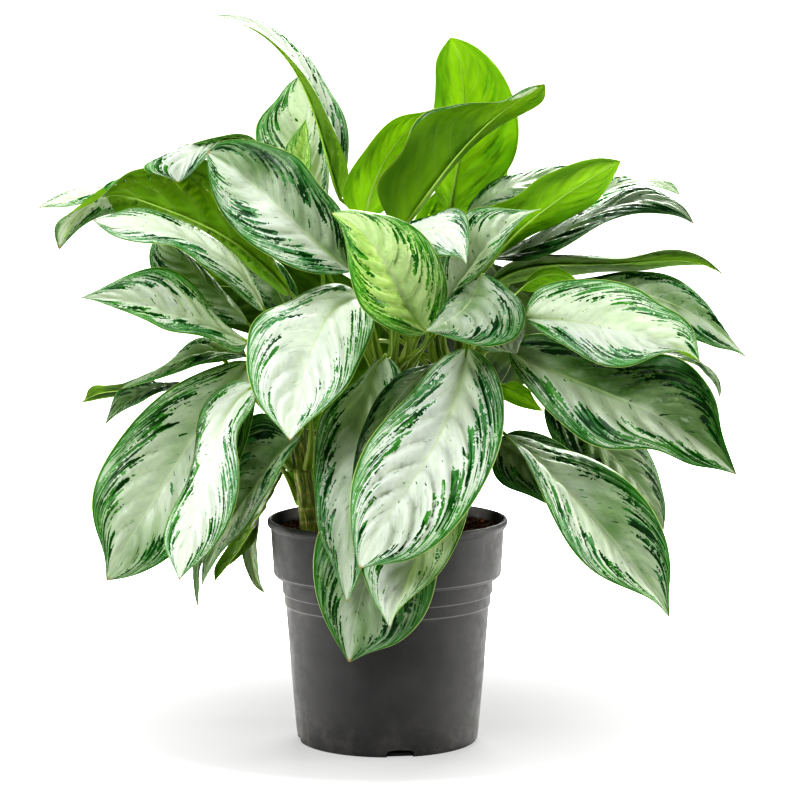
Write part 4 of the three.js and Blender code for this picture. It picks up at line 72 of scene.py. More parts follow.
# Leaves: name, which way the upper face looks, young kind, where along the blade it turns over (minus: one margin
# only), how dark the marking is, how much painted shade darkens the leaf (partly also the greener ground of leaves
# grown in the bush), how much that painted shade differs between its halves and how much more of it is on the
# underside, how much darker the whole leaf is painted as shade, seed, relief, the stalk as a Bezier from blade to stem,
# and 13 stations from base to tip, each as x, y, z of one edge, the midrib and the other edge.
LEAVES = [
    ('leaf_01', 1, 0, 2, 0.6, 0.1, 0, 0, 0, 72.9, 1.15,
        [(66.9, -91.8, 352.3), (68.4, -76.6, 366.7), (57.5, -27.6, 317.1), (60.4, -19.1, 305.5)],
        [(65.3, -89.6, 352.9, 66.9, -91.8, 352.3, 69.4, -92.6, 353.2),
         (48.1, -94.3, 345.7, 63.7, -105, 336.4, 86, -108.8, 341.8),
         (34.2, -102.3, 333.9, 59.2, -118, 321, 94.6, -124.4, 323.5),
         (22.6, -114, 320.4, 53.5, -130.7, 306.1, 97, -138.5, 303.4),
         (10, -128.6, 308.2, 46.7, -142.9, 291.7, 94.4, -150.8, 283.2),
         (-2.8, -144.1, 296.6, 38.9, -154.3, 277.8, 87.7, -161.7, 263.8),
         (-14, -158.7, 283.7, 30.3, -164.7, 264.4, 78.1, -171.3, 245.6),
         (-22.3, -171, 268.9, 21, -174, 251.4, 66.5, -179.9, 228.5),
         (-27.6, -181, 252.8, 11.4, -182, 238.6, 53.1, -187.3, 212.7),
         (-29.5, -188.8, 235.7, 1.6, -188.8, 225.8, 37.1, -193.5, 199.4),
         (-29, -195, 218.3, -7.8, -194.6, 212.8, 18.2, -198.3, 190.3),
         (-26.5, -200.2, 201, -16, -199.8, 198.9, -2.7, -201.7, 187.3),
         (-22.1, -204.8, 184, -22.1, -204.8, 184, -22.1, -204.8, 184)]),
    ('leaf_02', 1, 0, 2, 1.6, 0.52, 0, 0, 0, 5.8, 0.8,
        [(-1.8, -60.1, 341.7), (0.3, -52, 346.4), (-6.3, -6.7, 332.1), (-1.4, 0.1, 324.1)],
        [(-10.3, -58.2, 341.5, -1.8, -60.1, 341.7, 10.9, -60.3, 339.2),
         (-21.3, -57, 325.6, -12.6, -69, 328.8, 14.1, -75.2, 323.3),
         (-36.3, -60.6, 313.6, -16.4, -78.3, 312.4, 14.4, -90.6, 307.1),
         (-50.5, -68.7, 301.4, -18.9, -87.4, 295.8, 12.4, -105.6, 291.3),
         (-58.7, -78.8, 285.3, -21.9, -96.3, 279.3, 8.9, -119.3, 275.6),
         (-60.7, -88.5, 267.2, -24.9, -105.2, 262.9, 4.3, -130.9, 260.2),
         (-61.6, -97.2, 249, -27.5, -112.7, 246.4, -0.7, -138.7, 244.5),
         (-61.3, -105.1, 230.7, -29.7, -119.3, 229.8, -5.8, -143.6, 228.5),
         (-59.1, -112.5, 212.6, -31.4, -125.6, 213.1, -10.5, -146.7, 212.1),
         (-54.1, -119.6, 195.1, -32.6, -131.6, 196.4, -14.7, -148.5, 195.4),
         (-46.7, -126.6, 178.4, -33.2, -136.7, 179.6, -19.4, -148.4, 178.5),
         (-39.9, -134.5, 161.7, -33.3, -140.8, 162.6, -25.5, -147.5, 161.9),
         (-32.9, -143.3, 145.4, -32.9, -143.9, 145.5, -32.8, -146, 145.9)]),
    ('leaf_03', 1, 0, 2, 3.4, 1, 0, 0, 0.45, 5.0, 0.72,
        [(44.6, -73.1, 338.7), (55.1, -52.1, 344.6), (33.9, -19.3, 340.4), (55.1, -10.6, 309.6)],
        [(36.2, -72.3, 336.1, 44.6, -73.1, 338.7, 48.8, -74, 332),
         (23.6, -73.7, 334.6, 34, -83.3, 333, 45.1, -88.2, 321.9),
         (11.8, -75.6, 329.8, 24.4, -92.4, 326, 40.5, -101.1, 312.1),
         (1.6, -79.9, 322.6, 15.8, -101.2, 318.1, 35.5, -112.1, 302.4),
         (-6.8, -85.9, 313.6, 8.1, -109.5, 309.3, 30, -121.2, 292.8),
         (-13.4, -92.9, 303.4, 1.3, -117.2, 299.9, 24.1, -128.3, 283.2),
         (-18.4, -100.5, 292.5, -4.6, -124, 289.9, 18, -133.8, 273.7),
         (-22.2, -107.8, 281.2, -9.9, -129.5, 279.5, 11.7, -138, 264.1),
         (-24.9, -116.1, 269.8, -14.4, -135, 268.8, 5.3, -141.5, 254.6),
         (-26.8, -124.7, 258.4, -18.5, -140.1, 257.9, -1.6, -144.7, 245.4),
         (-27.9, -133.6, 246.9, -22.2, -144.6, 246.9, -9.4, -147.6, 236.9),
         (-28.5, -143, 235.6, -25.5, -148.8, 235.7, -18.3, -150.3, 229.6),
         (-28.5, -152.8, 224.4, -28.5, -152.8, 224.4, -28.5, -152.8, 224.4)]),
    ('leaf_04', 1, 0, 2, -2.2, 0, 0, 0, 0, 59.1, 0.82,
        [(56.7, -112.4, 268.9), (58.5, -101.3, 271.6), (59.6, -43.8, 261.7), (60.2, -26.4, 233.1)],
        [(35.9, -109.5, 268.6, 56.7, -112.4, 268.9, 69.6, -93.4, 249.6),
         (27.7, -116.4, 257.6, 53.6, -120.4, 257, 70.2, -111.3, 239),
         (18.9, -123.6, 247.1, 49.7, -128.7, 245.3, 68.7, -136.8, 229.6),
         (10, -128, 236.4, 45.4, -133.6, 233.5, 66, -148.4, 218.7),
         (1.4, -131.9, 225.5, 40.6, -137.3, 221.6, 62, -156.1, 207.5),
         (-6.6, -135.2, 214.1, 35.5, -140.8, 209.9, 56.9, -161.4, 196.5),
         (-13.5, -137.3, 201.9, 30.3, -142.8, 198.1, 50.9, -163.9, 185.6),
         (-18.9, -138.7, 188.8, 25, -142.2, 185.9, 43.8, -162.8, 174.8),
         (-21.4, -143, 175.4, 19.8, -146, 174.3, 35, -165.1, 165.9),
         (-17.1, -147.7, 162.5, 14.8, -150.6, 162.8, 25.2, -167.3, 158.1),
         (-11.7, -152.1, 150, 10.2, -154.8, 151.1, 15.5, -167.7, 149.8),
         (-4.3, -158.1, 138.9, 6, -159, 139.3, 7.4, -166.2, 139.7),
         (2.7, -162.7, 127.2, 2.7, -162.8, 127.3, 2.7, -163, 127.3)]),
    ('leaf_05', 1, 0, 2, 1.4, 0.65, 0, 0, 0, 87.7, 0.8,
        [(26.2, -62.8, 292.6), (33.7, -48.1, 312.2), (43.2, -22.9, 309), (55, -16.7, 296.2)],
        [(26.2, -58, 292.1, 26.2, -62.8, 292.6, 26.1, -67.6, 293.1),
         (9.3, -47.3, 278.3, 21.1, -70, 275.8, 33.1, -93.5, 276.4),
         (-6.6, -43.7, 264, 16.3, -77.4, 259.1, 38.4, -113, 258.7),
         (-21.2, -51.1, 249.7, 11.4, -87.1, 242.8, 42, -125.9, 240),
         (-34.2, -72.3, 236.2, 6.4, -102.2, 227.4, 44, -135, 220.7),
         (-45.8, -85.6, 220.8, 1, -108.8, 211, 44.4, -134.6, 199.9),
         (-55.3, -98.1, 204.2, -4.9, -113.5, 194.6, 43.3, -130.9, 178.5),
         (-60.8, -109.2, 185.9, -11, -117.3, 178.2, 40.4, -127.2, 157.3),
         (-61.6, -116.9, 166.4, -16.8, -119.5, 161.4, 34.3, -125.1, 137),
         (-58.6, -120, 146.4, -22, -119.7, 144, 22.7, -124.1, 119.5),
         (-51.8, -123.8, 127.4, -26, -122.3, 126.8, 6.3, -125.3, 107.1),
         (-42.2, -126.5, 109.5, -29.1, -125.3, 109.5, -13.2, -126.6, 100.7),
         (-31.6, -128.3, 92.1, -31.6, -128.3, 92.1, -31.6, -128.2, 92.1)]),
    ('leaf_06_young', 1, 1, 2, 1.2, 0.1, 0, 0, 0, 35.9, 0.9,
        [(33.5, -84.2, 365), (35.2, -57.2, 346.1), (16.3, -18, 341.2), (7.4, -2.4, 324.3)],
        [(33.5, -82.7, 364.9, 33.5, -84.2, 365, 33.5, -87.6, 363.6),
         (44.1, -88.9, 375.2, 25.9, -96.4, 373.7, 21.5, -113.7, 363.8),
         (49.3, -96.7, 389.3, 19.5, -108.3, 383.7, 9.8, -134.8, 368.5),
         (49.6, -106.4, 404.5, 14.1, -119.5, 394, -1, -150, 374.8),
         (46.5, -115.5, 419.2, 9.2, -129.3, 404.3, -10.9, -159.8, 382.1),
         (41, -123.1, 433, 4.5, -137.1, 414.5, -19.1, -165.4, 391.1),
         (33.1, -128.2, 445.3, -0.3, -142.3, 424.5, -24.7, -167.5, 401.6),
         (22.6, -129.6, 455.1, -5.5, -144.4, 434, -28.3, -166.6, 412.9),
         (10, -129.2, 461.7, -11.5, -143.9, 442.9, -30.5, -163.2, 424.3),
         (-3.6, -128.1, 465.9, -18.4, -141.6, 450.9, -32.3, -157.7, 435.7),
         (-17.6, -127.4, 468.7, -26.5, -138, 457.7, -34.6, -150.2, 446.9),
         (-31.8, -127.8, 469.8, -35.7, -133.8, 463, -38.6, -140.6, 457.7),
         (-45.6, -129.4, 466.7, -45.6, -129.5, 466.7, -45.6, -129.6, 466.7)]),
    ('leaf_07', 1, 0, 2, -0.4, 0, 0, 0, 0, 6.4, 0.75,
        [(-21.4, -43.7, 390.6), (-12.9, -30.8, 391.1), (-18.5, 0.1, 364.5), (-5, 6.7, 323.1)],
        [(-21.5, -40, 390.3, -21.4, -43.7, 390.6, -21.4, -45.1, 390.7),
         (-35.6, -39.7, 401.4, -33, -57.7, 389.2, -12.3, -66.9, 383.6),
         (-53.6, -45.4, 401.9, -43.1, -71.8, 384.3, -10.2, -87, 373),
         (-70.3, -58.2, 396.3, -50.6, -85.9, 376.3, -13.5, -104.8, 362.6),
         (-85.6, -76.6, 388.9, -56, -99.3, 366.9, -18.1, -120.1, 352.5),
         (-101.5, -97, 383.8, -60.7, -111.9, 357.2, -22.8, -132.9, 342.4),
         (-112.6, -116, 372.8, -64.8, -123.4, 347.3, -28.1, -143.5, 332.4),
         (-115.4, -131.4, 356.7, -68.1, -133.7, 337, -34.7, -152.6, 323.2),
         (-114.7, -143, 340, -70.7, -142.8, 326.5, -42.9, -160.3, 315.1),
         (-110.3, -151.6, 323.7, -72.8, -150.6, 315.8, -51.9, -166.2, 307.8),
         (-101.8, -158.4, 308.8, -74.7, -157.4, 305, -61.3, -169.8, 300.6),
         (-89.9, -164, 296.3, -76.5, -163.6, 294.2, -70.3, -170.7, 292.6),
         (-78.5, -169.4, 283.4, -78.5, -169.4, 283.4, -78.5, -169.6, 283.5)]),
    ('leaf_08', 1, 0, 2, 1.7, 0.58, -0.5, 0, 0, 79.3, 1.0,
        [(-29.6, -62.1, 413.9), (25.9, -54.8, 399.6), (6.5, -39.5, 365.8), (4.2, -2.6, 311.5)],
        [(-29.6, -58.9, 413.7, -29.6, -62.1, 413.9, -29.5, -64.9, 414.1),
         (-33.1, -55.2, 429.2, -40, -65.5, 422.2, -44.1, -78.1, 412.7),
         (-34.2, -55.6, 445.4, -50.2, -68.7, 430.7, -58.9, -87, 414.1),
         (-36.9, -59.5, 461.5, -60, -71.6, 439.6, -73.3, -90.8, 417.9),
         (-45.4, -64.5, 475.1, -69.7, -73.7, 448.6, -87.2, -90.4, 423.3),
         (-56.2, -68.6, 487.1, -79.2, -74.4, 457.7, -100.6, -86.9, 429.9),
         (-65.2, -70, 500.3, -88.8, -73.4, 466.7, -113.3, -81.7, 437.8),
         (-76.2, -68.3, 511.8, -98.5, -70.2, 475.5, -124.9, -75.4, 447.3),
         (-90.9, -64.8, 518.2, -108.5, -65.8, 484.1, -135, -69.2, 458.3),
         (-106.3, -62.2, 523.1, -118.7, -63.4, 492.5, -142.8, -65.8, 471.1),
         (-122.4, -58.2, 525.6, -129.2, -60.1, 500.5, -148, -63.1, 485.1),
         (-138.6, -52.4, 523.4, -140.4, -54.5, 507.9, -151, -56.7, 499.7),
         (-152.2, -46.6, 514.4, -152.1, -48.2, 514.5, -152, -49.4, 514.5)]),
    ('leaf_09', -1, 0, 2, 0.8, 0, 0, 0, 0, 78.4, 0.81,
        [(2.4, -53.5, 421.8), (-11.2, -29.3, 388.9), (36.1, -23.3, 369.1), (12.1, -0.3, 320.7)],
        [(2.4, -51.5, 421.7, 2.4, -53.5, 421.8, 2.4, -56, 422),
         (-0.5, -48.4, 432.7, 4.7, -61.1, 429.7, 7.9, -73.6, 424.6),
         (2.5, -48, 443.8, 8.5, -68.7, 436.9, 13.4, -87.7, 426.4),
         (10.8, -50.6, 452, 13.7, -75.9, 442.9, 19, -97.8, 427.6),
         (21.2, -56, 457.2, 20, -82.9, 447.6, 24.5, -104.6, 428.2),
         (32.3, -64.1, 460.9, 27.1, -89.3, 450.6, 30.1, -109.3, 428.6),
         (42.9, -74.5, 465.6, 34.6, -95.2, 451.7, 35.6, -112.5, 429),
         (53.6, -86.3, 469.7, 42, -100.8, 450.4, 41.1, -116.1, 429.7),
         (63.7, -97.5, 466.4, 48.5, -106, 446.9, 46.5, -119.8, 430.6),
         (68.2, -106.6, 456.7, 54, -110.7, 441.9, 52, -122.7, 431.1),
         (68.3, -113.3, 445.7, 58.6, -115, 436.2, 57.4, -124.9, 430.4),
         (67, -118.3, 434.7, 62.6, -118.8, 430, 62.3, -124.6, 427.8),
         (66, -122.6, 423.6, 66, -122.5, 423.6, 66, -122.6, 423.6)]),
    ('leaf_10', 1, 0, 2, 1.5, 0.5, 0, 0, 0, 78.6, 0.8,
        [(79.7, -74.4, 413), (89.5, -56.3, 406.8), (9.3, -17.3, 338.1), (10, -1.4, 299.1)],
        [(79.8, -71, 412.8, 79.7, -74.4, 413, 79.6, -77.6, 413.2),
         (76.3, -69.7, 408.4, 77.5, -86.9, 408.4, 91.1, -94, 409.9),
         (71.3, -70.8, 405.4, 75.1, -97.8, 403.6, 101.2, -104.6, 403.1),
         (66, -73, 403.2, 72.5, -105.1, 398.8, 110.4, -114.1, 395.2),
         (60.6, -82, 401.4, 69.3, -115.9, 394.5, 114.4, -124.8, 384.3),
         (55.5, -93.8, 399.1, 65.7, -127.1, 390.7, 112.1, -135.2, 372.6),
         (51.3, -106, 395.8, 61.5, -137.5, 387.2, 104, -144.9, 363.5),
         (47.8, -117.9, 392.1, 56.9, -146.6, 384.2, 92.2, -153.4, 359.4),
         (44.7, -129.5, 388, 52.1, -154.5, 381.5, 79.5, -160.6, 359),
         (41.8, -140.9, 384, 47, -161.4, 379.2, 66.9, -166.6, 361.2),
         (38.7, -152.7, 380.1, 41.7, -167.5, 377.2, 54.8, -171.4, 365.5),
         (35.2, -165.1, 376.6, 36.4, -173.1, 375.5, 43.2, -175.2, 370.4),
         (31.1, -178.3, 373.9, 31.1, -178.4, 373.9, 31.1, -178.4, 373.9)]),
    ('leaf_11', -1, 0, 2, 1.2, 0.1, 0, 0, 0.06, 1.1, 0.95,
        [(51.2, -22.4, 385.6), (38, -9.2, 369), (23.4, 5.5, 355.2), (16.5, 7.7, 328.1)],
        [(45.2, -21.7, 387.2, 51.2, -22.4, 385.6, 55.5, -24.5, 385.7),
         (41.6, -25.1, 399.4, 56.4, -29, 394.2, 60.3, -40.8, 394.7),
         (41.3, -28.4, 412, 61.6, -34.8, 402.7, 66.8, -50.6, 401.8),
         (44.1, -33.3, 424.3, 66.9, -41.1, 411.1, 73.8, -60.7, 408.3),
         (48.8, -39.3, 436, 72.3, -47.2, 419.3, 80.4, -68.4, 415),
         (54.3, -45.8, 447.3, 78, -53, 427.3, 86.3, -74.8, 422.4),
         (60.7, -52.7, 458, 84, -59.2, 434.9, 91.4, -84.2, 430.4),
         (70.1, -58, 465.8, 90.4, -64.2, 442.1, 96.5, -88.4, 438.1),
         (81.8, -62.1, 468.8, 97.3, -68.4, 448.8, 101.7, -89.8, 445.7),
         (93.8, -65.6, 468.5, 104.6, -72.1, 454.8, 107.3, -89.7, 452.9),
         (105.8, -69.5, 467.1, 112.5, -75.5, 460, 113.6, -88.1, 459.5),
         (117.7, -74.9, 466.7, 120.8, -78.7, 464.4, 120.9, -85.4, 464.9),
         (129.5, -81.7, 467.9, 129.5, -81.9, 467.9, 129.5, -82, 467.9)]),
    ('leaf_12', 1, 0, 2, -3, 0, 0, 0, 0, 19.1, 0.86,
        [(85.5, -51.3, 393.7), (88.6, -34.1, 395.8), (85.5, -3.8, 325.5), (75.5, -6.7, 312.7)],
        [(85.5, -52.3, 393.8, 85.5, -51.3, 393.7, 85.5, -51.4, 393.7),
         (79.5, -62.3, 390.3, 85.9, -59.7, 389.6, 91.4, -59.6, 396.5),
         (75.2, -71.2, 385.2, 87.2, -68, 385.7, 97.5, -67.8, 397.8),
         (72.3, -78.8, 379.2, 89.2, -76.1, 382.1, 103.6, -76, 397.3),
         (70.6, -85.7, 372.8, 91.6, -83.9, 378.9, 108.8, -84.2, 394.6),
         (70.2, -92.2, 366.3, 94.3, -91, 375.8, 112.6, -91.4, 390.1),
         (71.3, -98.4, 359.9, 97.2, -97.4, 372.7, 114.9, -97.8, 384.8),
         (74.5, -104.1, 354.3, 100, -103.1, 369.6, 115.9, -103.1, 378.9),
         (80.4, -108.9, 351.2, 102.7, -108, 366.3, 115.7, -107, 372.8),
         (87.2, -112.9, 351, 105, -112.3, 362.7, 114.3, -110.4, 366.8),
         (94.1, -116.4, 351.5, 106.7, -116, 358.7, 112.1, -113.7, 361.1),
         (100.9, -119.6, 351, 107.5, -119.4, 354.4, 109.5, -117.7, 355.5),
         (107.5, -122.7, 350.1, 107.5, -122.7, 350.1, 107.5, -122.6, 350.1)]),
    ('leaf_13', 1, 0, 2, 1.2, 0, 0, 0, 0, 29.2, 0.77,
        [(-104, -42.8, 379.4), (-77.2, -32.8, 351.6), (-88.8, -21.5, 310.3), (-86.4, -16, 294.3)],
        [(-104.1, -40.2, 379.2, -104, -42.8, 379.4, -106.5, -45.1, 377.9),
         (-109.2, -33, 393.6, -110.5, -48.2, 392.8, -116.9, -61.9, 387.5),
         (-116.2, -29.3, 407.5, -118.6, -53.5, 405, -126.9, -75.8, 397.4),
         (-125.2, -29.3, 420.3, -128, -58.7, 416.1, -136.8, -86.3, 407.1),
         (-136.1, -32.1, 431.5, -138.7, -63.6, 425.7, -146.8, -93.8, 416.6),
         (-148.6, -36.9, 440.8, -150.4, -68.1, 434.1, -157.1, -98.9, 425.7),
         (-161.2, -43.3, 449.6, -162.8, -72.4, 441, -168.1, -101.6, 433.6),
         (-174.1, -51, 457.8, -175.8, -76.3, 446.6, -180.7, -102.1, 438.7),
         (-187.7, -59.6, 464.2, -189.2, -79.9, 451, -194.5, -100.5, 439.9),
         (-202, -68.3, 467.9, -202.9, -83.2, 454.3, -208.4, -97.7, 440.8),
         (-216.6, -76.5, 467.4, -216.8, -86.2, 456.6, -222, -94.9, 443.8),
         (-230.6, -84.2, 463.2, -230.8, -89.1, 458, -234.3, -93, 450.1),
         (-244.5, -91.9, 459.2, -244.5, -91.9, 459.2, -244.5, -91.8, 459.2)]),
    ('leaf_14', 1, 0, 2, 1.4, 0.15, 0, 0, 0, 40.9, 1.1,
        [(-118.5, -61.3, 355.4), (-54.5, -42.9, 329.8), (-63.7, -42.8, 266.9), (-68.6, -25.7, 243.6)],
        [(-118.7, -57.9, 358.5, -118.5, -61.3, 355.4, -119.3, -64.1, 337.9),
         (-131.6, -51.9, 364.4, -129.6, -65.9, 360.3, -129.2, -78.5, 346.1),
         (-141.7, -49.7, 374.4, -140.7, -70.5, 365, -138.5, -91.6, 354.7),
         (-149.6, -52.6, 386.3, -151.8, -74.9, 369.7, -149.1, -101.5, 361.1),
         (-157.6, -59.6, 398.2, -163, -79, 374.1, -160.9, -108, 364.1),
         (-167.1, -68.4, 408.6, -174.2, -82.9, 378.4, -173.1, -111.7, 365.7),
         (-178.7, -76.6, 416.1, -185.4, -86.5, 382.3, -185, -113.6, 368.7),
         (-191.9, -83.3, 419.1, -196.8, -89.8, 385.9, -195.8, -114.4, 374.8),
         (-205.3, -88.3, 417.2, -208.2, -92.6, 389, -206.8, -114.1, 380.6),
         (-218.1, -92.1, 412.5, -219.8, -95.1, 391.5, -218.3, -112.7, 385.3),
         (-230.4, -95.4, 406.5, -231.5, -97.4, 393.4, -230.2, -110.1, 389.5),
         (-242.7, -98.4, 400.3, -243.3, -99.5, 394.6, -242.3, -106.3, 393.3),
         (-255.1, -101.6, 394.9, -255.1, -101.6, 394.9, -255, -101.7, 394.9)]),
    ('leaf_15', 1, 0, 2, 1.6, 0.5, 0, 0, 0.06, 29.5, 0.85,
        [(-117.6, -31.4, 334.7), (-105.5, -23.5, 338.2), (-90.3, -22.9, 290.3), (-86.3, -18.6, 276.7)],
        [(-121.1, -28.5, 337.9, -117.6, -31.4, 334.7, -113.2, -34, 328.1),
         (-142, -30.3, 332.5, -128.8, -40.3, 320.8, -111.7, -50.1, 309.6),
         (-162.2, -35.6, 325.5, -139.7, -48.9, 306.9, -113.4, -63.4, 291.1),
         (-180.8, -44.9, 316.3, -150.4, -57.2, 292.8, -117.8, -72.9, 272.8),
         (-197.5, -56.7, 304.7, -160.7, -65.5, 278.5, -124.5, -79.6, 254.8),
         (-212.1, -68.8, 291, -170.6, -73.4, 263.9, -132.9, -84.4, 237.4),
         (-224.8, -79.7, 275.5, -180.1, -80.7, 249.2, -142.9, -88.4, 220.8),
         (-236, -88.6, 258.7, -189.5, -87.6, 234.4, -154.1, -92.6, 205),
         (-244.6, -95.3, 240.1, -198.8, -93.3, 219.3, -166.7, -96.6, 190.4),
         (-247.5, -100.2, 219.6, -208, -97.9, 204.2, -181.3, -100.3, 177.7),
         (-243.5, -103.6, 199, -217.3, -101.8, 188.9, -197.8, -103.6, 167.6),
         (-237, -106.1, 178.8, -226.5, -105.2, 173.5, -216.1, -106.2, 160.9),
         (-235.3, -108.4, 157.9, -235.3, -108.4, 157.9, -235.3, -108.4, 157.9)]),
    ('leaf_16', 1, 0, 2, 0.9, 0.1, 0, 0, 0, 46.1, 0.7,
        [(-112.7, -64.3, 317.5), (-107.4, -48.1, 305.3), (-86.9, -33.4, 292.9), (-84.4, -21.3, 264.6)],
        [(-118.6, -62.3, 324.1, -112.7, -64.3, 317.5, -109.2, -67, 310.1),
         (-134.9, -61, 319.5, -123.7, -74.1, 309.5, -113.8, -89.3, 299),
         (-148.3, -61.8, 309.4, -132.3, -84, 298.5, -121.3, -108.8, 289),
         (-157.6, -65.1, 295.7, -138.6, -93.5, 286.3, -124.7, -123.5, 276.7),
         (-161.8, -70.4, 280, -143.3, -102.5, 273.3, -122.6, -132.9, 263.2),
         (-162.8, -77.6, 263.9, -147, -110.9, 259.9, -121.2, -138.4, 249.2),
         (-165, -87, 248.4, -150.2, -118.7, 246.5, -122.6, -141.4, 235),
         (-170.2, -98.7, 234.3, -153.7, -125.7, 233, -126.4, -143.2, 221),
         (-177.3, -112.3, 221.5, -157.5, -132.2, 219.7, -132.3, -144.7, 207.7),
         (-183.2, -125.9, 208.2, -161.5, -138.1, 206.3, -140.2, -146.3, 195.5),
         (-184.2, -137.4, 193.5, -165.3, -143.5, 192.9, -149.8, -148.4, 184.8),
         (-177.6, -146.1, 179.5, -168.6, -148.5, 179.3, -160.9, -150.7, 175.6),
         (-170.8, -153.3, 165.5, -170.8, -153.2, 165.5, -170.8, -153.2, 165.5)]),
    ('leaf_17', 1, 0, 2, 1.6, 0.75, 0, 0, 0, 84.1, 0.74,
        [(-73.8, -41.2, 273.8), (-70.8, -39.4, 277.9), (-75, -28.1, 278), (-76, -22.6, 271.8)],
        [(-78.9, -41.5, 271.2, -73.8, -41.2, 273.8, -72, -43.9, 271.5),
         (-92.1, -41.8, 281, -82.9, -43.7, 264.6, -79.3, -58.2, 262.9),
         (-104.7, -41.9, 291.7, -91.8, -46.2, 255.2, -85.9, -69, 253.4),
         (-119.8, -43.1, 286.3, -100.4, -48.5, 245.6, -92.2, -75.9, 243.2),
         (-129.7, -44.1, 273.1, -108.7, -50.6, 235.7, -98.4, -79.5, 232.4),
         (-135.2, -44.1, 257.1, -116.7, -52.3, 225.5, -104.8, -80.8, 221.5),
         (-139.1, -43.1, 240.6, -124.4, -53.9, 215, -111.7, -80.6, 210.5),
         (-143.7, -42.3, 224.2, -131.5, -55.2, 204.1, -119.4, -79.5, 200),
         (-148.5, -42.7, 208, -138.2, -56.4, 192.8, -127.9, -77.5, 189.8),
         (-153, -44.9, 192, -144.3, -57.4, 181.3, -136.7, -74.8, 179.8),
         (-156.6, -48.9, 176.1, -149.7, -58.5, 169.3, -145.3, -71.1, 169.2),
         (-158.6, -54.2, 160.2, -154.3, -59.5, 157.1, -152.6, -66.3, 157.5),
         (-158.1, -60.4, 144.5, -158.1, -60.5, 144.6, -158.1, -60.5, 144.6)]),
    ('leaf_18', -1, 0, 2, 1.5, 0.4, 0, 0.35, 0, 33.7, 1.18,
        [(-85.4, 15.3, 251.2), (-83, 15.1, 256.8), (-78.4, -0.6, 256.3), (-75.8, -5.3, 249.2)],
        [(-89.8, 16.5, 248.4, -85.4, 15.3, 251.2, -83.7, 17.1, 248.3),
         (-95.1, 25.2, 237.6, -89.6, 15.3, 241, -89.8, 27.1, 237.4),
         (-100.5, 28.4, 227.7, -94, 13.3, 231.2, -96.7, 32.3, 227.7),
         (-106.1, 30.8, 218, -98.5, 8.2, 221.9, -103.3, 30.9, 218.8),
         (-111.9, 33.1, 208.4, -103.3, 8.2, 212, -109.1, 32.7, 208.9),
         (-117.9, 34.1, 199.1, -108.5, 9.2, 202.1, -113, 33.9, 198.1),
         (-123.9, 34.1, 190, -113.9, 10.9, 192.2, -114.9, 34.4, 186.9),
         (-130, 33, 181.1, -119.6, 13.1, 182.4, -116.8, 34.3, 175.7),
         (-136, 30.9, 172.4, -125.6, 15.4, 172.6, -121.5, 33.8, 165.6),
         (-142.1, 28.7, 163.8, -131.8, 17.7, 163, -129.4, 32.7, 157.8),
         (-148.2, 26.3, 155.1, -138.4, 19.7, 153.7, -138.1, 30.5, 151.2),
         (-152.9, 23.6, 145.9, -145.1, 20.8, 144.6, -146.3, 26.6, 144.3),
         (-152.1, 21.5, 135.8, -152.1, 21.6, 135.8, -152.1, 21.7, 135.8)]),
    ('leaf_19', 1, 0, 2, 1.8, 1, 0, 0, 0.2, 84.3, 0.98,
        [(-130.5, 40.7, 236.4), (-106.3, 42.9, 264.6), (-66.3, 37.8, 274.4), (-58.8, 37.4, 259.1)],
        [(-130.6, 42.4, 236.1, -130.5, 40.7, 236.4, -130.5, 39.4, 236.5),
         (-139, 52.3, 226, -136.8, 42.3, 226.5, -130.3, 34.1, 225.8),
         (-146.6, 59.8, 215.4, -142.7, 43.9, 216.2, -132.5, 30.5, 215.1),
         (-153.3, 64.6, 204.7, -148.2, 45.4, 205.8, -136.6, 28.7, 204.7),
         (-159.2, 67.3, 193.8, -153.1, 46.9, 195.1, -141.9, 28.3, 194.6),
         (-164.2, 68.7, 182.7, -157.6, 48.4, 184.1, -147.6, 29.1, 184.5),
         (-168.3, 69.1, 171.3, -161.5, 49.8, 172.9, -153.3, 30.9, 174.2),
         (-171.5, 68.7, 159.8, -164.8, 51.3, 161.5, -158.4, 33.7, 163.3),
         (-173.5, 67.8, 148.1, -167.4, 52.9, 149.8, -162.6, 37.4, 151.9),
         (-174.4, 66.4, 136.3, -169.2, 54.5, 138, -165.8, 42, 140),
         (-174, 64.5, 124.6, -170.2, 56.2, 126.1, -168, 47.2, 127.6),
         (-172.3, 62.3, 113.1, -170.1, 57.9, 114.1, -169, 53.1, 115),
         (-169, 59.7, 102.2, -169, 59.7, 102.2, -169, 59.6, 102.2)]),
    ('leaf_20', 1, 0, 2, -3, 0.15, 0, 0, 0, 67.0, 1.04,
        [(-111.2, 42.7, 231.7), (-111.5, 31.1, 251.9), (-90.1, -7.7, 247.3), (-78.3, -12.6, 215.9)],
        [(-111.1, 40, 232, -111.2, 42.7, 231.7, -111.1, 41.5, 231.8),
         (-116, 36.7, 223.7, -113.5, 48, 221.5, -111.3, 40.7, 222.6),
         (-120.2, 34.9, 214.7, -115.7, 49.5, 211.9, -111.6, 38, 213.6),
         (-123.8, 36, 205, -117.9, 51.2, 202.3, -112.3, 37.5, 204.3),
         (-126.6, 36.7, 195, -120, 52.4, 192.6, -113.1, 38.1, 194.9),
         (-128.6, 37.9, 184.8, -121.7, 53.3, 182.9, -114, 39.1, 185.4),
         (-129.7, 39.6, 174.4, -122.9, 53.9, 173.2, -114.9, 40.4, 175.9),
         (-129.8, 41.3, 163.9, -123.4, 54.2, 163.5, -115.5, 41.7, 166.3),
         (-128.8, 42.5, 153.6, -123, 54.4, 153.8, -115.7, 43.9, 156.5),
         (-126.5, 45.7, 143.1, -121.5, 54.9, 144.1, -115.6, 46.6, 146.6),
         (-122.7, 50.1, 132.9, -118.8, 56.4, 134.6, -114.7, 50.4, 136.6),
         (-117, 54.9, 123.9, -114.6, 58.1, 125.6, -112.7, 54.9, 126.7),
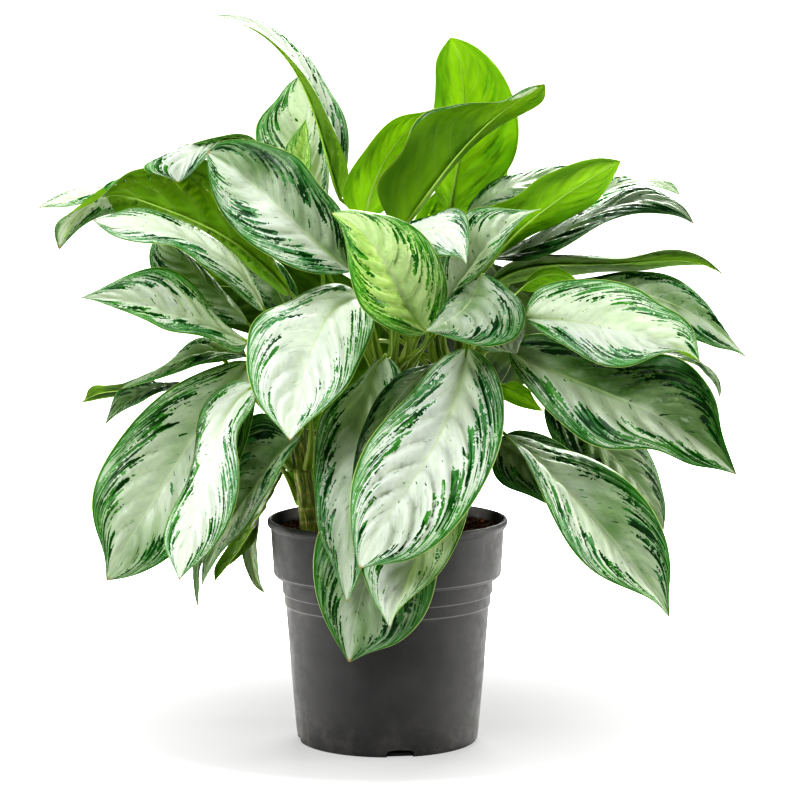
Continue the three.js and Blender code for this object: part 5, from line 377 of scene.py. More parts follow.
         (-109, 60, 117.5, -109, 60, 117.5, -109, 59.9, 117.5)]),
    ('leaf_21', 1, 0, 2, 1.2, 0.05, 0, 0, 0, 42.3, 0.81,
        [(-105.6, -12.5, 501.6), (-78.2, 6.8, 475.8), (-17.2, -15.7, 332.7), (-2.2, 0.2, 307.9)],
        [(-105.6, -14, 501.6, -105.6, -12.5, 501.6, -105.5, -14.2, 501.6),
         (-106.9, -24.6, 515.6, -109.1, -16.3, 509.5, -110, -26.2, 507.5),
         (-114.3, -33, 526.9, -114.4, -19.4, 516.4, -115.4, -35.2, 512.3),
         (-127.1, -39.2, 530.5, -121.3, -22.4, 521.6, -121.6, -41.3, 515.9),
         (-140.6, -42.3, 528.6, -129.3, -24.7, 524.6, -128.5, -44.5, 518.1),
         (-153.8, -42, 524.6, -137.9, -25.8, 525.4, -135.9, -45, 518.5),
         (-166.9, -40.8, 519.9, -146.5, -27.1, 524.2, -143, -44, 516.5),
         (-179.6, -43.4, 514.9, -154.5, -31.4, 521.5, -149.2, -44.5, 512.5),
         (-191.4, -53.7, 509.6, -161.4, -40.9, 517.4, -154.4, -49.3, 507.7),
         (-203.6, -58.2, 504, -167.3, -50.5, 511.9, -159.2, -54.3, 502.5),
         (-201.5, -59.8, 498, -172, -55.9, 505.1, -164.2, -56.7, 497.2),
         (-188.4, -59.1, 494.3, -175.2, -57.5, 497.2, -169.8, -56.3, 492.3),
         (-176.1, -57.3, 488.7, -176.1, -57.1, 488.7, -176.2, -55.5, 488.6)]),
    ('leaf_22', -1, 0, 0.74, 1, 0.12, 0, 0.45, 0, 10.5, 1.7,
        [(-84.4, 4.5, 392.2), (-71, 13.6, 371.4), (-43.3, 84.3, 358.1), (-54.5, 52.1, 314.5)],
        [(-84.2, 0.3, 398.6, -84.4, 4.5, 392.2, -84.5, 7.3, 385.1),
         (-97.5, -22.7, 421, -97.3, -2.7, 408.8, -100.8, 18.9, 395.9),
         (-106.4, -38, 445.1, -112.2, -9.5, 423.2, -116.2, 26.2, 408.1),
         (-115.3, -43, 468.5, -128.6, -14.8, 435.7, -131.2, 28.8, 420.9),
         (-128, -42.9, 489.8, -146.1, -19.7, 446.4, -146.4, 27.5, 433.5),
         (-146.8, -44.2, 505.8, -164.2, -24.3, 455.6, -162.3, 23.3, 444.8),
         (-170.9, -48.2, 508.5, -182.9, -27.2, 463.6, -179.5, 17.7, 453.9),
         (-194.8, -53, 503, -202.1, -27.8, 470.7, -197.7, 11.3, 460),
         (-218.8, -54.9, 497.3, -221.7, -26.8, 477, -216.5, 4.1, 462.6),
         (-237.3, -54.4, 480.6, -241.9, -26.4, 476.2, -235.1, -4.1, 460.9),
         (-258.5, -53.1, 467.2, -258.5, -31.7, 465.3, -252.5, -14.2, 454.9),
         (-280.6, -44.1, 453.4, -271.6, -33.4, 449.6, -267.5, -23.7, 444.4),
         (-279.7, -33.8, 430.8, -279.7, -33.8, 430.8, -279.7, -33.7, 430.8)]),
    ('leaf_23', 1, 0, 2, 1.2, 0.1, 0, 0, 0, 34.5, 1.1,
        [(-165, 51.7, 456.7), (-178.5, 73.5, 345.2), (-138.2, -3.3, 324.6), (-88.8, -9.5, 276.9)],
        [(-165.1, 54.4, 469.7, -165, 51.7, 456.7, -165.1, 50.5, 443.5),
         (-177.8, 71.2, 473.5, -176.5, 57.6, 461.6, -177.1, 47.8, 441.8),
         (-190.9, 86, 476.6, -188.3, 63.3, 465.8, -188.9, 45.2, 445.2),
         (-204, 97.6, 478.9, -200.5, 68.8, 469, -199.9, 43.6, 451),
         (-217.2, 105.9, 480.5, -213, 74.2, 471.4, -210.7, 44.1, 457.3),
         (-230.3, 111.6, 481.2, -225.6, 79.4, 472.9, -221.7, 47.3, 463.5),
         (-243.3, 115.5, 481.1, -238.4, 84.6, 473.5, -233.5, 53.1, 468.5),
         (-256.2, 118, 480.2, -251.3, 89.9, 473.2, -246.5, 61, 471),
         (-269, 119.5, 478.4, -264.3, 95.5, 472.1, -259.8, 70.6, 468.8),
         (-281.5, 120.2, 476, -277.2, 101.2, 470.2, -273.1, 81.4, 464.8),
         (-293.8, 120.3, 472.6, -290.1, 107, 467.5, -287, 93.2, 462.6),
         (-305.4, 119.8, 467.4, -302.9, 112.9, 464.1, -301.2, 105.7, 461.3),
         (-315.5, 118.8, 459.9, -315.5, 118.8, 459.9, -315.5, 118.8, 459.9)]),
    ('leaf_24', -1, 0, 2, 1.8, 0.8, 0, 0, 0, 35.8, 1.1,
        [(-119, 0.3, 363.9), (-99.2, -2.1, 342.3), (-96.4, -16, 312), (-89.3, -11.3, 299)],
        [(-127.6, 0.0, 363.9, -119, 0.3, 363.9, -120.8, 2.2, 368.1),
         (-138, -2.3, 365.5, -125.1, 0.1, 370.7, -127.7, 10.1, 373.6),
         (-148.1, -4.2, 368, -131.5, -0.1, 377.5, -134.3, 15.9, 379.6),
         (-158, -5.4, 371.5, -138, -0.4, 384, -140.4, 19.3, 386.1),
         (-167.5, -6, 375.8, -144.7, -0.6, 390.4, -146.3, 20.6, 392.9),
         (-176.5, -6.1, 381.1, -151.4, -0.8, 396.6, -152, 20.4, 399.9),
         (-185, -5.9, 387.3, -158.3, -1, 402.8, -157.7, 19.1, 406.9),
         (-192.5, -5.6, 394.6, -165.1, -1, 408.9, -163.5, 16.9, 413.7),
         (-198.9, -5, 402.9, -172, -1, 415.1, -169.6, 14.1, 420.3),
         (-203.6, -4.2, 412.2, -178.8, -0.9, 421.3, -176, 10.7, 426.5),
         (-205.6, -3, 422.4, -185.4, -0.8, 427.7, -182.9, 7.2, 432.2),
         (-203.7, -1.6, 432.6, -191.9, -0.5, 434.2, -190.2, 3.5, 437.1),
         (-198, -0.2, 441, -198, -0.2, 441, -198, -0.2, 441)]),
    ('leaf_25', -1, 0, 2, 1.8, 1, 0, 0, 0, 64.5, 1.01,
        [(-83.5, 25.3, 364.4), (-72.8, 19.1, 350.7), (-58.7, 27.9, 340.8), (-57.8, 32.7, 329.3)],
        [(-83.5, 23.9, 364.5, -83.5, 25.3, 364.4, -83.6, 26.5, 364.3),
         (-91.1, 22.6, 366.8, -86.4, 28.1, 371, -80.4, 34.1, 371.5),
         (-98.4, 23.2, 370, -89.5, 30.9, 377.6, -78.9, 39.9, 379.3),
         (-105.2, 25.8, 374.1, -92.8, 33.7, 384, -79.4, 44.1, 387.5),
         (-111.5, 29.7, 379, -96.3, 36.5, 390.4, -81.8, 47.1, 395.5),
         (-117.2, 34, 384.6, -100, 39.3, 396.6, -85.8, 49.5, 402.9),
         (-122.2, 38.1, 390.7, -104.1, 42.2, 402.7, -90.9, 51.7, 409.6),
         (-126.6, 42, 397.2, -108.4, 45.1, 408.6, -97, 53.7, 415.5),
         (-130.5, 45.6, 404.1, -113, 48, 414.3, -103.7, 55.6, 420.8),
         (-133.8, 49.1, 411.3, -118, 51, 419.7, -110.9, 57.2, 425.3),
         (-136.1, 52.6, 418.9, -123.3, 53.9, 424.9, -118.5, 58.5, 429.1),
         (-136.7, 56.2, 426.7, -128.9, 56.9, 429.7, -126.5, 59.4, 432.1),
         (-134.8, 59.8, 434.2, -134.8, 59.9, 434.2, -134.8, 59.9, 434.2)]),
    ('leaf_26', 1, 0, 2, 2.4, 1, 0, 0, 0.15, 89.3, 1.06,
        [(-175.7, 0.8, 311.6), (-145.1, -12.8, 299.1), (-106.8, -18.7, 318), (-89.1, -13.2, 285.2)],
        [(-180.1, 2.2, 315.8, -175.7, 0.8, 311.6, -175.6, -0.9, 307.4),
         (-187.6, 8, 313.3, -182.5, 1.5, 310.9, -181.6, -6.4, 309),
         (-195.3, 12.8, 312.4, -189.2, 2.2, 309.9, -187.7, -10.3, 308.8),
         (-202.9, 15.6, 312.2, -195.9, 2.8, 308.6, -193.8, -12.3, 307.3),
         (-210.4, 16.4, 312.3, -202.5, 3.4, 306.9, -199.8, -12.8, 304.8),
         (-217.7, 15.8, 312.2, -209, 4, 304.8, -205.7, -12, 302),
         (-224.8, 14.4, 311.1, -215.3, 4.7, 302.2, -211.7, -10.3, 298.9),
         (-231.4, 13.1, 308.2, -221.4, 5.5, 299.1, -217.7, -8, 295.7),
         (-236.5, 12.2, 303, -227.3, 6.3, 295.4, -223.7, -5.3, 292.4),
         (-240, 11.9, 296.5, -232.8, 7.1, 291.2, -229.7, -2.1, 288.8),
         (-242.6, 11.7, 289.6, -237.9, 8, 286.5, -235.5, 1.5, 284.9),
         (-244.6, 11, 282.5, -242.4, 8.9, 281.2, -241.2, 5.4, 280.5),
         (-246.4, 9.7, 275.6, -246.4, 9.7, 275.6, -246.4, 9.7, 275.6)]),
    ('leaf_27', -1, 0, 2, 1, 0.85, 0, 0, 0, 14.6, 1.06,
        [(-199.8, 30.5, 305.9), (-144.9, 3.7, 320.1), (-96.5, -18.5, 262.6), (-84.3, -20.2, 241.6)],
        [(-199.8, 31, 310.2, -199.8, 30.5, 305.9, -199.9, 30.6, 299.7),
         (-206.1, 32.5, 312.6, -206.1, 34.6, 304.5, -206.4, 39.9, 299.6),
         (-212.6, 33.8, 313.7, -212.5, 38.7, 303.6, -213, 48.1, 299.2),
         (-219.4, 35.1, 313.4, -218.8, 42.7, 303, -219.4, 54.6, 298.6),
         (-226, 37, 311.9, -225.2, 46.8, 302.5, -225.8, 59.7, 297.8),
         (-232.7, 39.8, 309.9, -231.6, 50.8, 302, -232.1, 63.7, 296.8),
         (-239.6, 43.9, 308, -238.1, 54.9, 301.4, -238.2, 66.8, 295.7),
         (-246.7, 49.3, 306.6, -244.5, 59, 300.5, -244.4, 69.4, 294.4),
         (-254, 55.7, 305.6, -250.9, 63.1, 299.1, -250.4, 71.6, 293.1),
         (-261.3, 62.4, 304.4, -257.3, 67.3, 297.3, -256.4, 73.5, 291.6),
         (-267.1, 68.4, 299.9, -263.4, 71.4, 294.7, -262.5, 75.5, 290.1),
         (-269.9, 73.8, 292.9, -269.2, 75.6, 291.4, -268.5, 77.5, 288.7),
         (-274.6, 79.6, 287.2, -274.6, 79.7, 287.2, -274.6, 79.7, 287.2)]),
    ('leaf_28', 1, 0, 2, 1.6, 0.75, 0, 0, 0, 36.7, 0.98,
        [(-122.1, -10.5, 337.9), (-111.4, -7.5, 334.6), (-96.9, 9.1, 306.5), (-87.2, -4.3, 281.5)],
        [(-122.1, -8.4, 347.3, -122.1, -10.5, 337.9, -121.1, -12.3, 336.4),
         (-132.6, -2.8, 348.1, -131.3, -11.5, 340.2, -129.9, -21.9, 336.6),
         (-142.7, 1.7, 350.6, -140.7, -12.5, 341.4, -138.8, -29.1, 336.1),
         (-153, 4.2, 352.5, -150.2, -13.6, 341.3, -147.6, -33.7, 334.9),
         (-163.2, 5.3, 351.5, -159.6, -14.7, 340, -156.5, -36.3, 333.1),
         (-172.4, 5.2, 346.7, -168.8, -15.7, 337.8, -165.5, -37.3, 330.8),
         (-180, 4.3, 339.8, -177.8, -16.6, 334.7, -174.4, -37.2, 328.1),
         (-186.8, 2.2, 332.2, -186.6, -17.4, 331.1, -183.3, -36.1, 325.1),
         (-194.3, -1, 325.7, -195.2, -18.1, 327.2, -192.3, -34.3, 322),
         (-203.6, -4.9, 322.2, -203.8, -18.7, 322.9, -201.3, -31.8, 318.8),
         (-213.2, -9.5, 319.9, -212.2, -19.3, 318.6, -210.5, -28.6, 315.6),
         (-222.2, -14.7, 316.6, -220.7, -19.8, 314.2, -219.8, -24.8, 312.7),
         (-229.3, -20.3, 310.3, -229.3, -20.3, 310.3, -229.3, -20.4, 310.3)]),
    ('leaf_29', -1, 0, 2, 1.2, 0.3, 0, 0.3, 0, 86.3, 0.86,
        [(-40.8, 42.3, 470.2), (7.4, 67.7, 438.2), (5.3, 52.3, 373.5), (5.2, 18.8, 326.6)],
        [(-40.7, 39.9, 470.3, -40.8, 42.3, 470.2, -40.8, 44.8, 470.1),
         (-34.2, 27.9, 487.5, -46, 43.1, 486.9, -36.8, 57.8, 488.5),
         (-35.5, 18.5, 505.5, -50.7, 43.7, 503.7, -34.4, 66.6, 507.4),
         (-41.7, 11.1, 522.4, -55.4, 43, 520.5, -33.5, 69, 526.8),
         (-49.5, 5, 538.4, -60.3, 40.7, 537.2, -39.2, 71, 544.9),
         (-57.9, 4.3, 554, -66, 40.9, 553.6, -49.7, 73.2, 561.2),
         (-66.9, 6.6, 569.3, -73, 42, 569.6, -59.3, 73.8, 578),
         (-77, 10.8, 583.9, -81.5, 43.3, 584.7, -70.3, 72.6, 593.8),
         (-88.6, 16.4, 597.5, -92, 44.6, 598.5, -83.3, 69.8, 608),
         (-102, 23.2, 609.5, -104.6, 45.9, 610.5, -98.2, 65.8, 620),
         (-117.2, 30.9, 619.4, -119.1, 47.1, 620.1, -115.2, 60.9, 628.6),
         (-134.1, 39.6, 626.5, -135.2, 48.2, 626.8, -133.7, 55.3, 632.4),
         (-152.3, 48.9, 630.3, -152.3, 48.9, 630.3, -152.3, 48.9, 630.3)]),
    ('leaf_30', -1, 0, 2, 1.5, 0.26, 0, 0, 0, 1.1, 0.91,
        [(-59.8, 61.2, 429.7), (-54.8, 56.2, 416.5), (-59.8, 4.9, 372.2), (-49, 32.5, 317.7)],
        [(-59.7, 58.1, 429.9, -59.8, 61.2, 429.7, -59.9, 64, 429.6),
         (-70.3, 50.8, 440.9, -63.3, 65.2, 441.6, -57.6, 79.9, 441.4),
         (-79.6, 47.8, 452.9, -65.9, 69.1, 453.8, -55.4, 92.1, 453.7),
         (-87.6, 50, 465.7, -68, 73, 466.1, -53.8, 100.1, 466.4),
         (-95.8, 56.6, 478.3, -69.7, 76.8, 478.5, -52.7, 105, 479.4),
         (-104.2, 65.7, 490.9, -71, 80.7, 491, -52.5, 107.8, 492.5),
         (-111.5, 75.1, 504.1, -72.1, 84.6, 503.5, -53, 109.3, 505.6),
         (-116.7, 83.2, 518.3, -73, 88.7, 516.1, -54.5, 110.1, 518.7),
         (-117.1, 89.8, 533.3, -73.8, 93, 528.6, -57.1, 110.6, 531.6),
         (-109.7, 95.5, 546.3, -74.8, 97.4, 541.2, -60.7, 111.1, 544.2),
         (-99.4, 100.8, 557.4, -75.8, 102.1, 553.9, -65.6, 111.5, 556.4),
         (-90.3, 106.3, 569.6, -77.1, 106.8, 566.5, -71.6, 111.7, 568.1),
         (-78.6, 111.6, 579.1, -78.6, 111.6, 579.1, -78.6, 111.6, 579.1)]),
    ('leaf_31_young_spear', -1, 2, 2, 1.0, 0.1, 0, 0, 0, 84.2, 1.16,
        [(-75.2, 52.1, 483), (-54.3, 24.1, 422.2), (33.6, 31.7, 335.2), (45.9, 39.9, 306.1)],
        [(-75.2, 52.2, 483, -75.2, 52.1, 483, -75.2, 51.3, 483),
         (-80.3, 52.6, 486.2, -74.7, 52.5, 487.8, -71.9, 47.9, 487),
         (-85, 52.9, 489.9, -74.2, 52.9, 492.6, -69.4, 45.6, 491.5),
         (-89, 53.1, 494.3, -73.8, 53.3, 497.4, -67.8, 44.6, 496.3),
         (-91.9, 53.4, 499.5, -73.4, 53.7, 502.2, -66.9, 44.3, 501.2),
         (-92.9, 53.8, 505.4, -73, 54.2, 507, -66.8, 44.6, 506.2),
         (-91.8, 54.3, 511.2, -72.7, 54.6, 511.8, -67.1, 45.3, 511.2),
         (-89.3, 54.9, 516.6, -72.4, 55.2, 516.6, -67.8, 46.4, 516.1),
         (-86.1, 55.6, 521.6, -72.2, 55.7, 521.4, -68.6, 47.9, 521),
         (-82.5, 56.2, 526.4, -72, 56.3, 526.2, -69.5, 49.8, 525.9),
         (-78.8, 56.8, 531, -71.9, 56.8, 531, -70.4, 52.1, 530.8),
         (-75.1, 57.4, 535.8, -71.8, 57.4, 535.8, -71.2, 54.9, 535.8),
         (-71.7, 58, 540.7, -71.7, 58, 540.7, -71.7, 57.9, 540.7)]),
    ('leaf_32', 1, 0, 2, 1, 0.3, 0, -0.4, 0, 89.0, 0.4,
        [(-19.8, 45.8, 450.8), (-23.5, 66.9, 416.2), (-21.7, 25.6, 382.7), (-2.3, 15.8, 317)],
        [(-37.3, 43.6, 457, -19.8, 45.8, 450.8, -8.4, 47.6, 450.7),
         (-39.8, 36.3, 468.3, -18.5, 38.4, 461.2, -3.3, 46.5, 458.8),
         (-38.8, 29.1, 479.9, -16.4, 33.8, 471.2, 2.1, 45.5, 466.6),
         (-35.2, 21.4, 491, -13.5, 29.5, 481.1, 7.6, 43.3, 474.4),
         (-29.9, 14.3, 501.2, -9.9, 26, 490.6, 13.1, 39.8, 482.2),
         (-23.5, 11.7, 510.6, -5.6, 25.9, 499.6, 18.5, 36, 490),
         (-16.5, 8.6, 519.5, -0.6, 23.5, 508.4, 23.7, 30.9, 498),
         (-9, 6.5, 528.1, 5, 20.4, 516.7, 28.5, 25.5, 506.2),
         (-0.9, 5.6, 535.8, 11.2, 17.5, 524.6, 32.7, 20.7, 514.7),
         (8.7, 5.2, 541.6, 18, 14.9, 532, 36.2, 16.8, 523.4),
         (19.5, 5.2, 544.9, 25.2, 12.6, 538.9, 38.9, 13.5, 532.4),
         (30.5, 6.1, 547.1, 32.9, 10.4, 545.1, 40.5, 10.8, 541.5),
         (41.1, 8.2, 550.8, 41.1, 8.3, 550.8, 41.1, 8.3, 550.8)]),
    ('leaf_33', 1, 0, -0.35, 0.8, 0.08, 0, 0.44, 0, 15.0, 0.45,
        [(13.5, 17.5, 447), (-12.6, 36.7, 424.2), (-32.8, 15.9, 349.9), (-4.3, 11.6, 329.2)],
        [(-6.5, 17.7, 449.6, 13.5, 17.5, 447, 21.3, 20.5, 450.3),
         (-6.9, 9.6, 468.1, 21.9, 10.5, 459.4, 29.1, 28.1, 462.2),
         (-8.4, 1.8, 486.6, 30.4, 3.7, 471.8, 37.4, 32.1, 474.1),
         (1.7, -5.9, 501.7, 38.9, -2.8, 484, 46.1, 32, 485.8),
         (13.1, -13.1, 516, 47.7, -8.9, 495.8, 55.3, 28.8, 497.2),
         (20.1, -19.5, 532.8, 56.8, -14.6, 507.4, 65, 23.2, 508.1),
         (31.1, -26.1, 546.6, 66.2, -19.7, 518.5, 75.3, 16.1, 518.3),
         (48.2, -34, 552.1, 76.1, -24.4, 529.1, 86.2, 7.5, 527.6),
         (65.6, -41.6, 555.5, 86.5, -28.6, 539.1, 97.9, -2.5, 535.8),
         (83.3, -47.3, 556.5, 97.4, -32.4, 548.5, 110.1, -13.7, 542.8),
         (100.8, -49.1, 559.9, 108.9, -36, 557, 122.3, -25.2, 549.4),
         (116.9, -46.7, 567.8, 121, -39.3, 564.7, 132.7, -35, 558.4),
         (133.3, -42.8, 571.6, 133.3, -42.6, 571.6, 133.3, -42.7, 571.6)]),
    ('leaf_34', 1, 0, 2, 1, 0.3, 0, -0.42, 0, 77.4, 0.45,
        [(55.4, 82.4, 457.9), (58.5, 95, 420.9), (26.8, 21.9, 372.8), (11.6, 17.1, 324.1)],
        [(53.6, 82.2, 457.9, 55.4, 82.4, 457.9, 59.8, 81, 458),
         (45.8, 88.8, 469.1, 58, 78.7, 470.9, 74.7, 72.5, 466.6),
         (39.5, 91.3, 481.4, 60.2, 74.7, 484.1, 87.7, 66.4, 478.1),
         (35, 89.7, 494.7, 62.4, 70.9, 497.2, 100.7, 63.6, 489.3),
         (33, 84.7, 508.5, 64.3, 65.4, 510.3, 110.3, 60, 503.4),
         (34, 74.8, 522.5, 65.5, 49.5, 523.6, 114.2, 44, 520.3),
         (36.9, 66.3, 536.1, 66.5, 40.7, 536.7, 114.2, 36.4, 537.4),
         (39.7, 57.8, 549.7, 66.9, 35.4, 549.7, 111.1, 32.4, 554.1),
         (41.4, 48.4, 563.3, 66.6, 31, 562.6, 105.1, 29.2, 570),
         (42.1, 38.7, 576.9, 65.5, 27.2, 575.5, 96.3, 26.2, 584.5),
         (42.4, 30.1, 590.4, 63.3, 23.7, 588.1, 84.8, 23.3, 596.9),
         (47.5, 23.3, 602.5, 60, 20.6, 600.5, 70.9, 20.5, 606.5),
         (54.9, 17.3, 611.7, 54.9, 17.4, 611.7, 54.9, 17.4, 611.7)]),
    ('leaf_35', -1, 0, 2, 1.6, 0.68, 0, 0, 0, 47.9, 0.83,
        [(70.2, 29.4, 458.6), (48.3, 22.3, 429.5), (23.6, 30, 356.7), (46.6, 41.3, 316.4)],
        [(67.6, 30.9, 460.2, 70.2, 29.4, 458.6, 76.3, 28.7, 457.7),
         (73.5, 43.5, 468.4, 77.5, 32.2, 464.7, 84.3, 23.7, 462),
         (80.5, 52.4, 475.9, 85.4, 33.7, 470.3, 92.7, 20.7, 465.3),
         (88.4, 56.7, 482.5, 93.6, 35.2, 475.1, 101.4, 20.6, 467.8),
         (97.3, 58.8, 488, 102.3, 37, 479.3, 110.3, 23.3, 469.8),
         (106.9, 60.8, 492.2, 111.3, 41.4, 482.8, 119.4, 28.6, 471.4),
         (117, 66.6, 495.2, 121.1, 56.8, 485.4, 128.7, 38, 472.9),
         (128, 85.7, 497.1, 130.9, 68.6, 487.6, 138.2, 50.1, 474.6),
         (138.8, 93.3, 498.5, 140.7, 75.7, 489.6, 147.5, 60.6, 476.7),
         (149.4, 95.9, 499.4, 150.6, 81.7, 491.3, 156.6, 70.5, 479.7),
         (160.1, 97.4, 499.3, 160.6, 87.6, 492.6, 165.3, 80.3, 483.6),
         (170.6, 98.7, 497.9, 170.7, 93.6, 493.7, 173.5, 90, 488.6),
         (180.8, 99.6, 494.6, 180.8, 99.6, 494.6, 180.8, 99.6, 494.6)]),
    ('leaf_36', 1, 0, 2, 1, 0.6, 0, -0.28, 0, 50.2, 0.75,
        [(85.6, -15.8, 414.3), (61, -5, 389.1), (36.2, 5.7, 358.8), (55.5, 35.8, 327)],
        [(82.3, -12.4, 419.3, 85.6, -15.8, 414.3, 88.3, -13.8, 412.5),
         (75.5, -16.6, 433, 92.7, -19.2, 424.6, 94.9, -6.8, 422.8),
         (72.2, -20.6, 447.8, 100.5, -22.6, 434.3, 104.8, -3, 430.5),
         (77.7, -24.3, 461.3, 108.9, -24.6, 443.4, 115.9, -1.7, 436.6),
         (90.5, -28.7, 468.7, 117.8, -27, 451.9, 127.1, -3.8, 442.5),
         (104.4, -33.1, 473.7, 127.1, -30.1, 460, 138.3, -9, 448.2),
         (116.6, -36.1, 482, 136.7, -33.1, 467.6, 149.4, -16.1, 453.8),
         (127.8, -37.9, 491.5, 146.5, -36, 474.8, 160.2, -24.2, 459.6),
         (141, -39.3, 498.1, 156.6, -38.6, 481.7, 170.6, -32, 466.2),
         (154.7, -40.7, 503.6, 166.8, -40.9, 488.3, 179.6, -38.1, 474.6),
         (168.8, -42.2, 507.7, 177, -42.9, 494.8, 186.9, -42.2, 484.6),
         (183.4, -44.1, 509.2, 187.4, -44.7, 501.1, 192.8, -44.8, 495.5),
         (197.7, -46.5, 506.8, 197.7, -46.5, 506.8, 197.7, -46.6, 506.8)]),
    ('leaf_37', -1, 0, 2, 1.1, 0.4, 0, 0, 0, 25.8, 0.92,
        [(134.1, 51.2, 439.1), (116.6, 22.5, 418.8), (71.7, 72.5, 337.6), (60.5, 54.7, 314)],
        [(134.1, 52.5, 452.2, 134.1, 51.2, 439.1, 138.4, 49, 434.8),
         (142, 64.2, 461.1, 144.6, 57.7, 443.8, 148.8, 44.8, 438.4),
         (151.1, 76, 469, 154.8, 64.3, 449.3, 158.4, 43.1, 443.7),
         (161.2, 87.2, 475.9, 164.7, 70.8, 455.2, 167.6, 44.6, 449.9),
         (172.2, 97.1, 481.7, 174.6, 77.2, 461.2, 176.6, 48.6, 456.5),
         (183.9, 105.6, 486, 184.7, 83.5, 467, 185.7, 54.6, 463),
         (196.2, 112.7, 488.5, 195.2, 89.9, 472.4, 195.2, 62.1, 469.3),
         (208.8, 118.4, 489.1, 206, 96.3, 477, 205.3, 70.9, 474.7),
         (221.3, 122.6, 487.8, 217.5, 102.8, 480.3, 216.3, 80.9, 478.8),
         (233.7, 125.4, 486.3, 229.5, 109.4, 481.7, 228.2, 91.7, 480.5),
         (246, 127, 484.9, 241.6, 115.9, 480.7, 240.4, 103.4, 479.2),
         (257.7, 128, 481, 253.3, 122.3, 477, 252.4, 115.7, 475.6),
         (264.2, 128.6, 471.2, 264.2, 128.6, 471.2, 264.2, 128.6, 471.2)]),
    ('leaf_38', -1, 0, 2, 3.6, 1, 0, 0.2, 0.35, 1.2, 0.8,
        [(87, 4.5, 421.7), (31.6, -0.2, 404.6), (71.2, 15.1, 358.5), (62.9, 37.3, 329.1)],
        [(87.1, 6, 424.2, 87, 4.5, 421.7, 88.7, 2.2, 421),
         (104, 20.2, 428.3, 103.2, 3.7, 423.5, 103.8, -13.6, 420.4),
         (120, 30.3, 435.2, 118.8, 2.7, 427.8, 118.8, -25.5, 420.5),
         (135.3, 35.2, 443.4, 133.7, 0.4, 434, 133.5, -34.6, 424.5),
         (150.7, 37.5, 451.6, 148.2, 0.1, 441.3, 147.2, -37.5, 431.4),
         (166.6, 37.3, 458.3, 162.4, 0.1, 449, 160.5, -37.6, 439.2),
         (183, 34.9, 463.6, 176.7, 0, 456.5, 174.1, -35.8, 446.6),
         (197.4, 31.1, 472.8, 191.3, -0.1, 463.4, 187.9, -32.4, 453.8),
         (211.5, 26.1, 482.2, 206.5, -0.2, 468.7, 202.5, -27.6, 459.5),
         (227.9, 20.4, 482.5, 222.5, -0.2, 471.3, 218, -21.8, 462.6),
         (243, 14.1, 475.3, 238.5, -0.3, 469.7, 234.1, -15.2, 462.5),
         (256.2, 6.9, 465.6, 253.1, -0.8, 462.9, 249.9, -8.5, 458.6),
         (264.4, -1.6, 451.4, 264.4, -1.7, 451.4, 264.4, -1.7, 451.4)]),
    ('leaf_39', 1, 0, 2, 1, 0.8, 0, 0, 0, 83.6, 0.5,
        [(86.9, 27.8, 394.9), (66.6, 30.6, 385.5), (86.7, 25.6, 349.8), (64.3, 39.8, 312.8)],
        [(85.1, 25.5, 397.7, 86.9, 27.8, 394.9, 89.6, 30.3, 393.8),
         (97.8, 7.7, 411.8, 101.2, 24.1, 405.6, 107.1, 39.9, 396.5),
         (113.4, -7, 421.2, 117.7, 20, 412.4, 124.6, 45.9, 399),
         (130.9, -17.8, 425, 135.1, 15.7, 415.6, 142.1, 48.1, 401.2),
         (148.8, -25.3, 425.9, 152.6, 11.4, 416.7, 159.4, 47.1, 403.2),
         (166.7, -30, 425.5, 170.2, 7.4, 416.9, 176.7, 43.9, 405.1),
         (184.7, -32.1, 424.7, 187.8, 3.7, 417.3, 193.8, 39, 407),
         (202.9, -32.1, 424.8, 205.3, 0.6, 418.3, 210.7, 32.8, 409.1),
         (221.1, -30.1, 426.7, 222.7, -2.2, 419.6, 227.4, 25.7, 411.5),
         (239.4, -26.5, 429.1, 240.2, -4.6, 420.7, 244, 17.8, 414.2),
         (257.9, -22, 427.9, 257.7, -6.9, 420.2, 260.4, 9.2, 415.9),
         (275, -17.2, 420.1, 274.7, -9.2, 416.4, 276.7, -0.6, 415.3),
         (289.6, -12.1, 408.1, 289.6, -12, 408, 289.6, -11.9, 408)]),
    ('leaf_40', 1, 0, 2, 1, 0.6, 0, -0.6, 0, 41.5, 1.03,
        [(113.8, -20.7, 395.7), (87.2, -8.1, 369.3), (56.4, 28.7, 347.2), (64.4, 1, 309.3)],
        [(118.1, -20.3, 400, 113.8, -20.7, 395.7, 118.1, -20.8, 394),
         (119.8, -23.7, 404.5, 117, -21.7, 399, 121.9, -21.6, 394),
         (122.2, -26.9, 408.5, 120.4, -22.8, 401.9, 125.7, -22.5, 394.2),
         (125.4, -29.7, 411.9, 124.1, -23.8, 404.5, 129.5, -23.5, 394.5),
         (129.3, -31.6, 414.3, 128, -24.8, 406.6, 133.3, -24.5, 395),
         (133.6, -32.9, 415.8, 132.1, -25.6, 408.2, 137, -25.6, 395.7),
         (138.2, -33.5, 416.4, 136.5, -26.5, 409.3, 140.7, -26.6, 396.5),
         (142.7, -33.7, 416.1, 140.9, -27.3, 409.7, 144.4, -27.5, 397.4),
         (147.2, -33.5, 415, 145.3, -28, 409.5, 148, -28.3, 398.5),
         (151.5, -33, 413.2, 149.7, -28.7, 408.8, 151.6, -28.9, 399.7),
         (155.5, -32.3, 410.8, 154, -29.3, 407.6, 155.2, -29.5, 401),
         (159.1, -31.4, 407.7, 158.1, -29.9, 406.1, 158.7, -30, 402.5),
         (162.1, -30.5, 404.1, 162.1, -30.5, 404.1, 162.1, -30.5, 404.1)]),
    ('leaf_41', -1, 0, 2, 2.0, 0.75, 0, 0, 0, 31.0, 1.1,
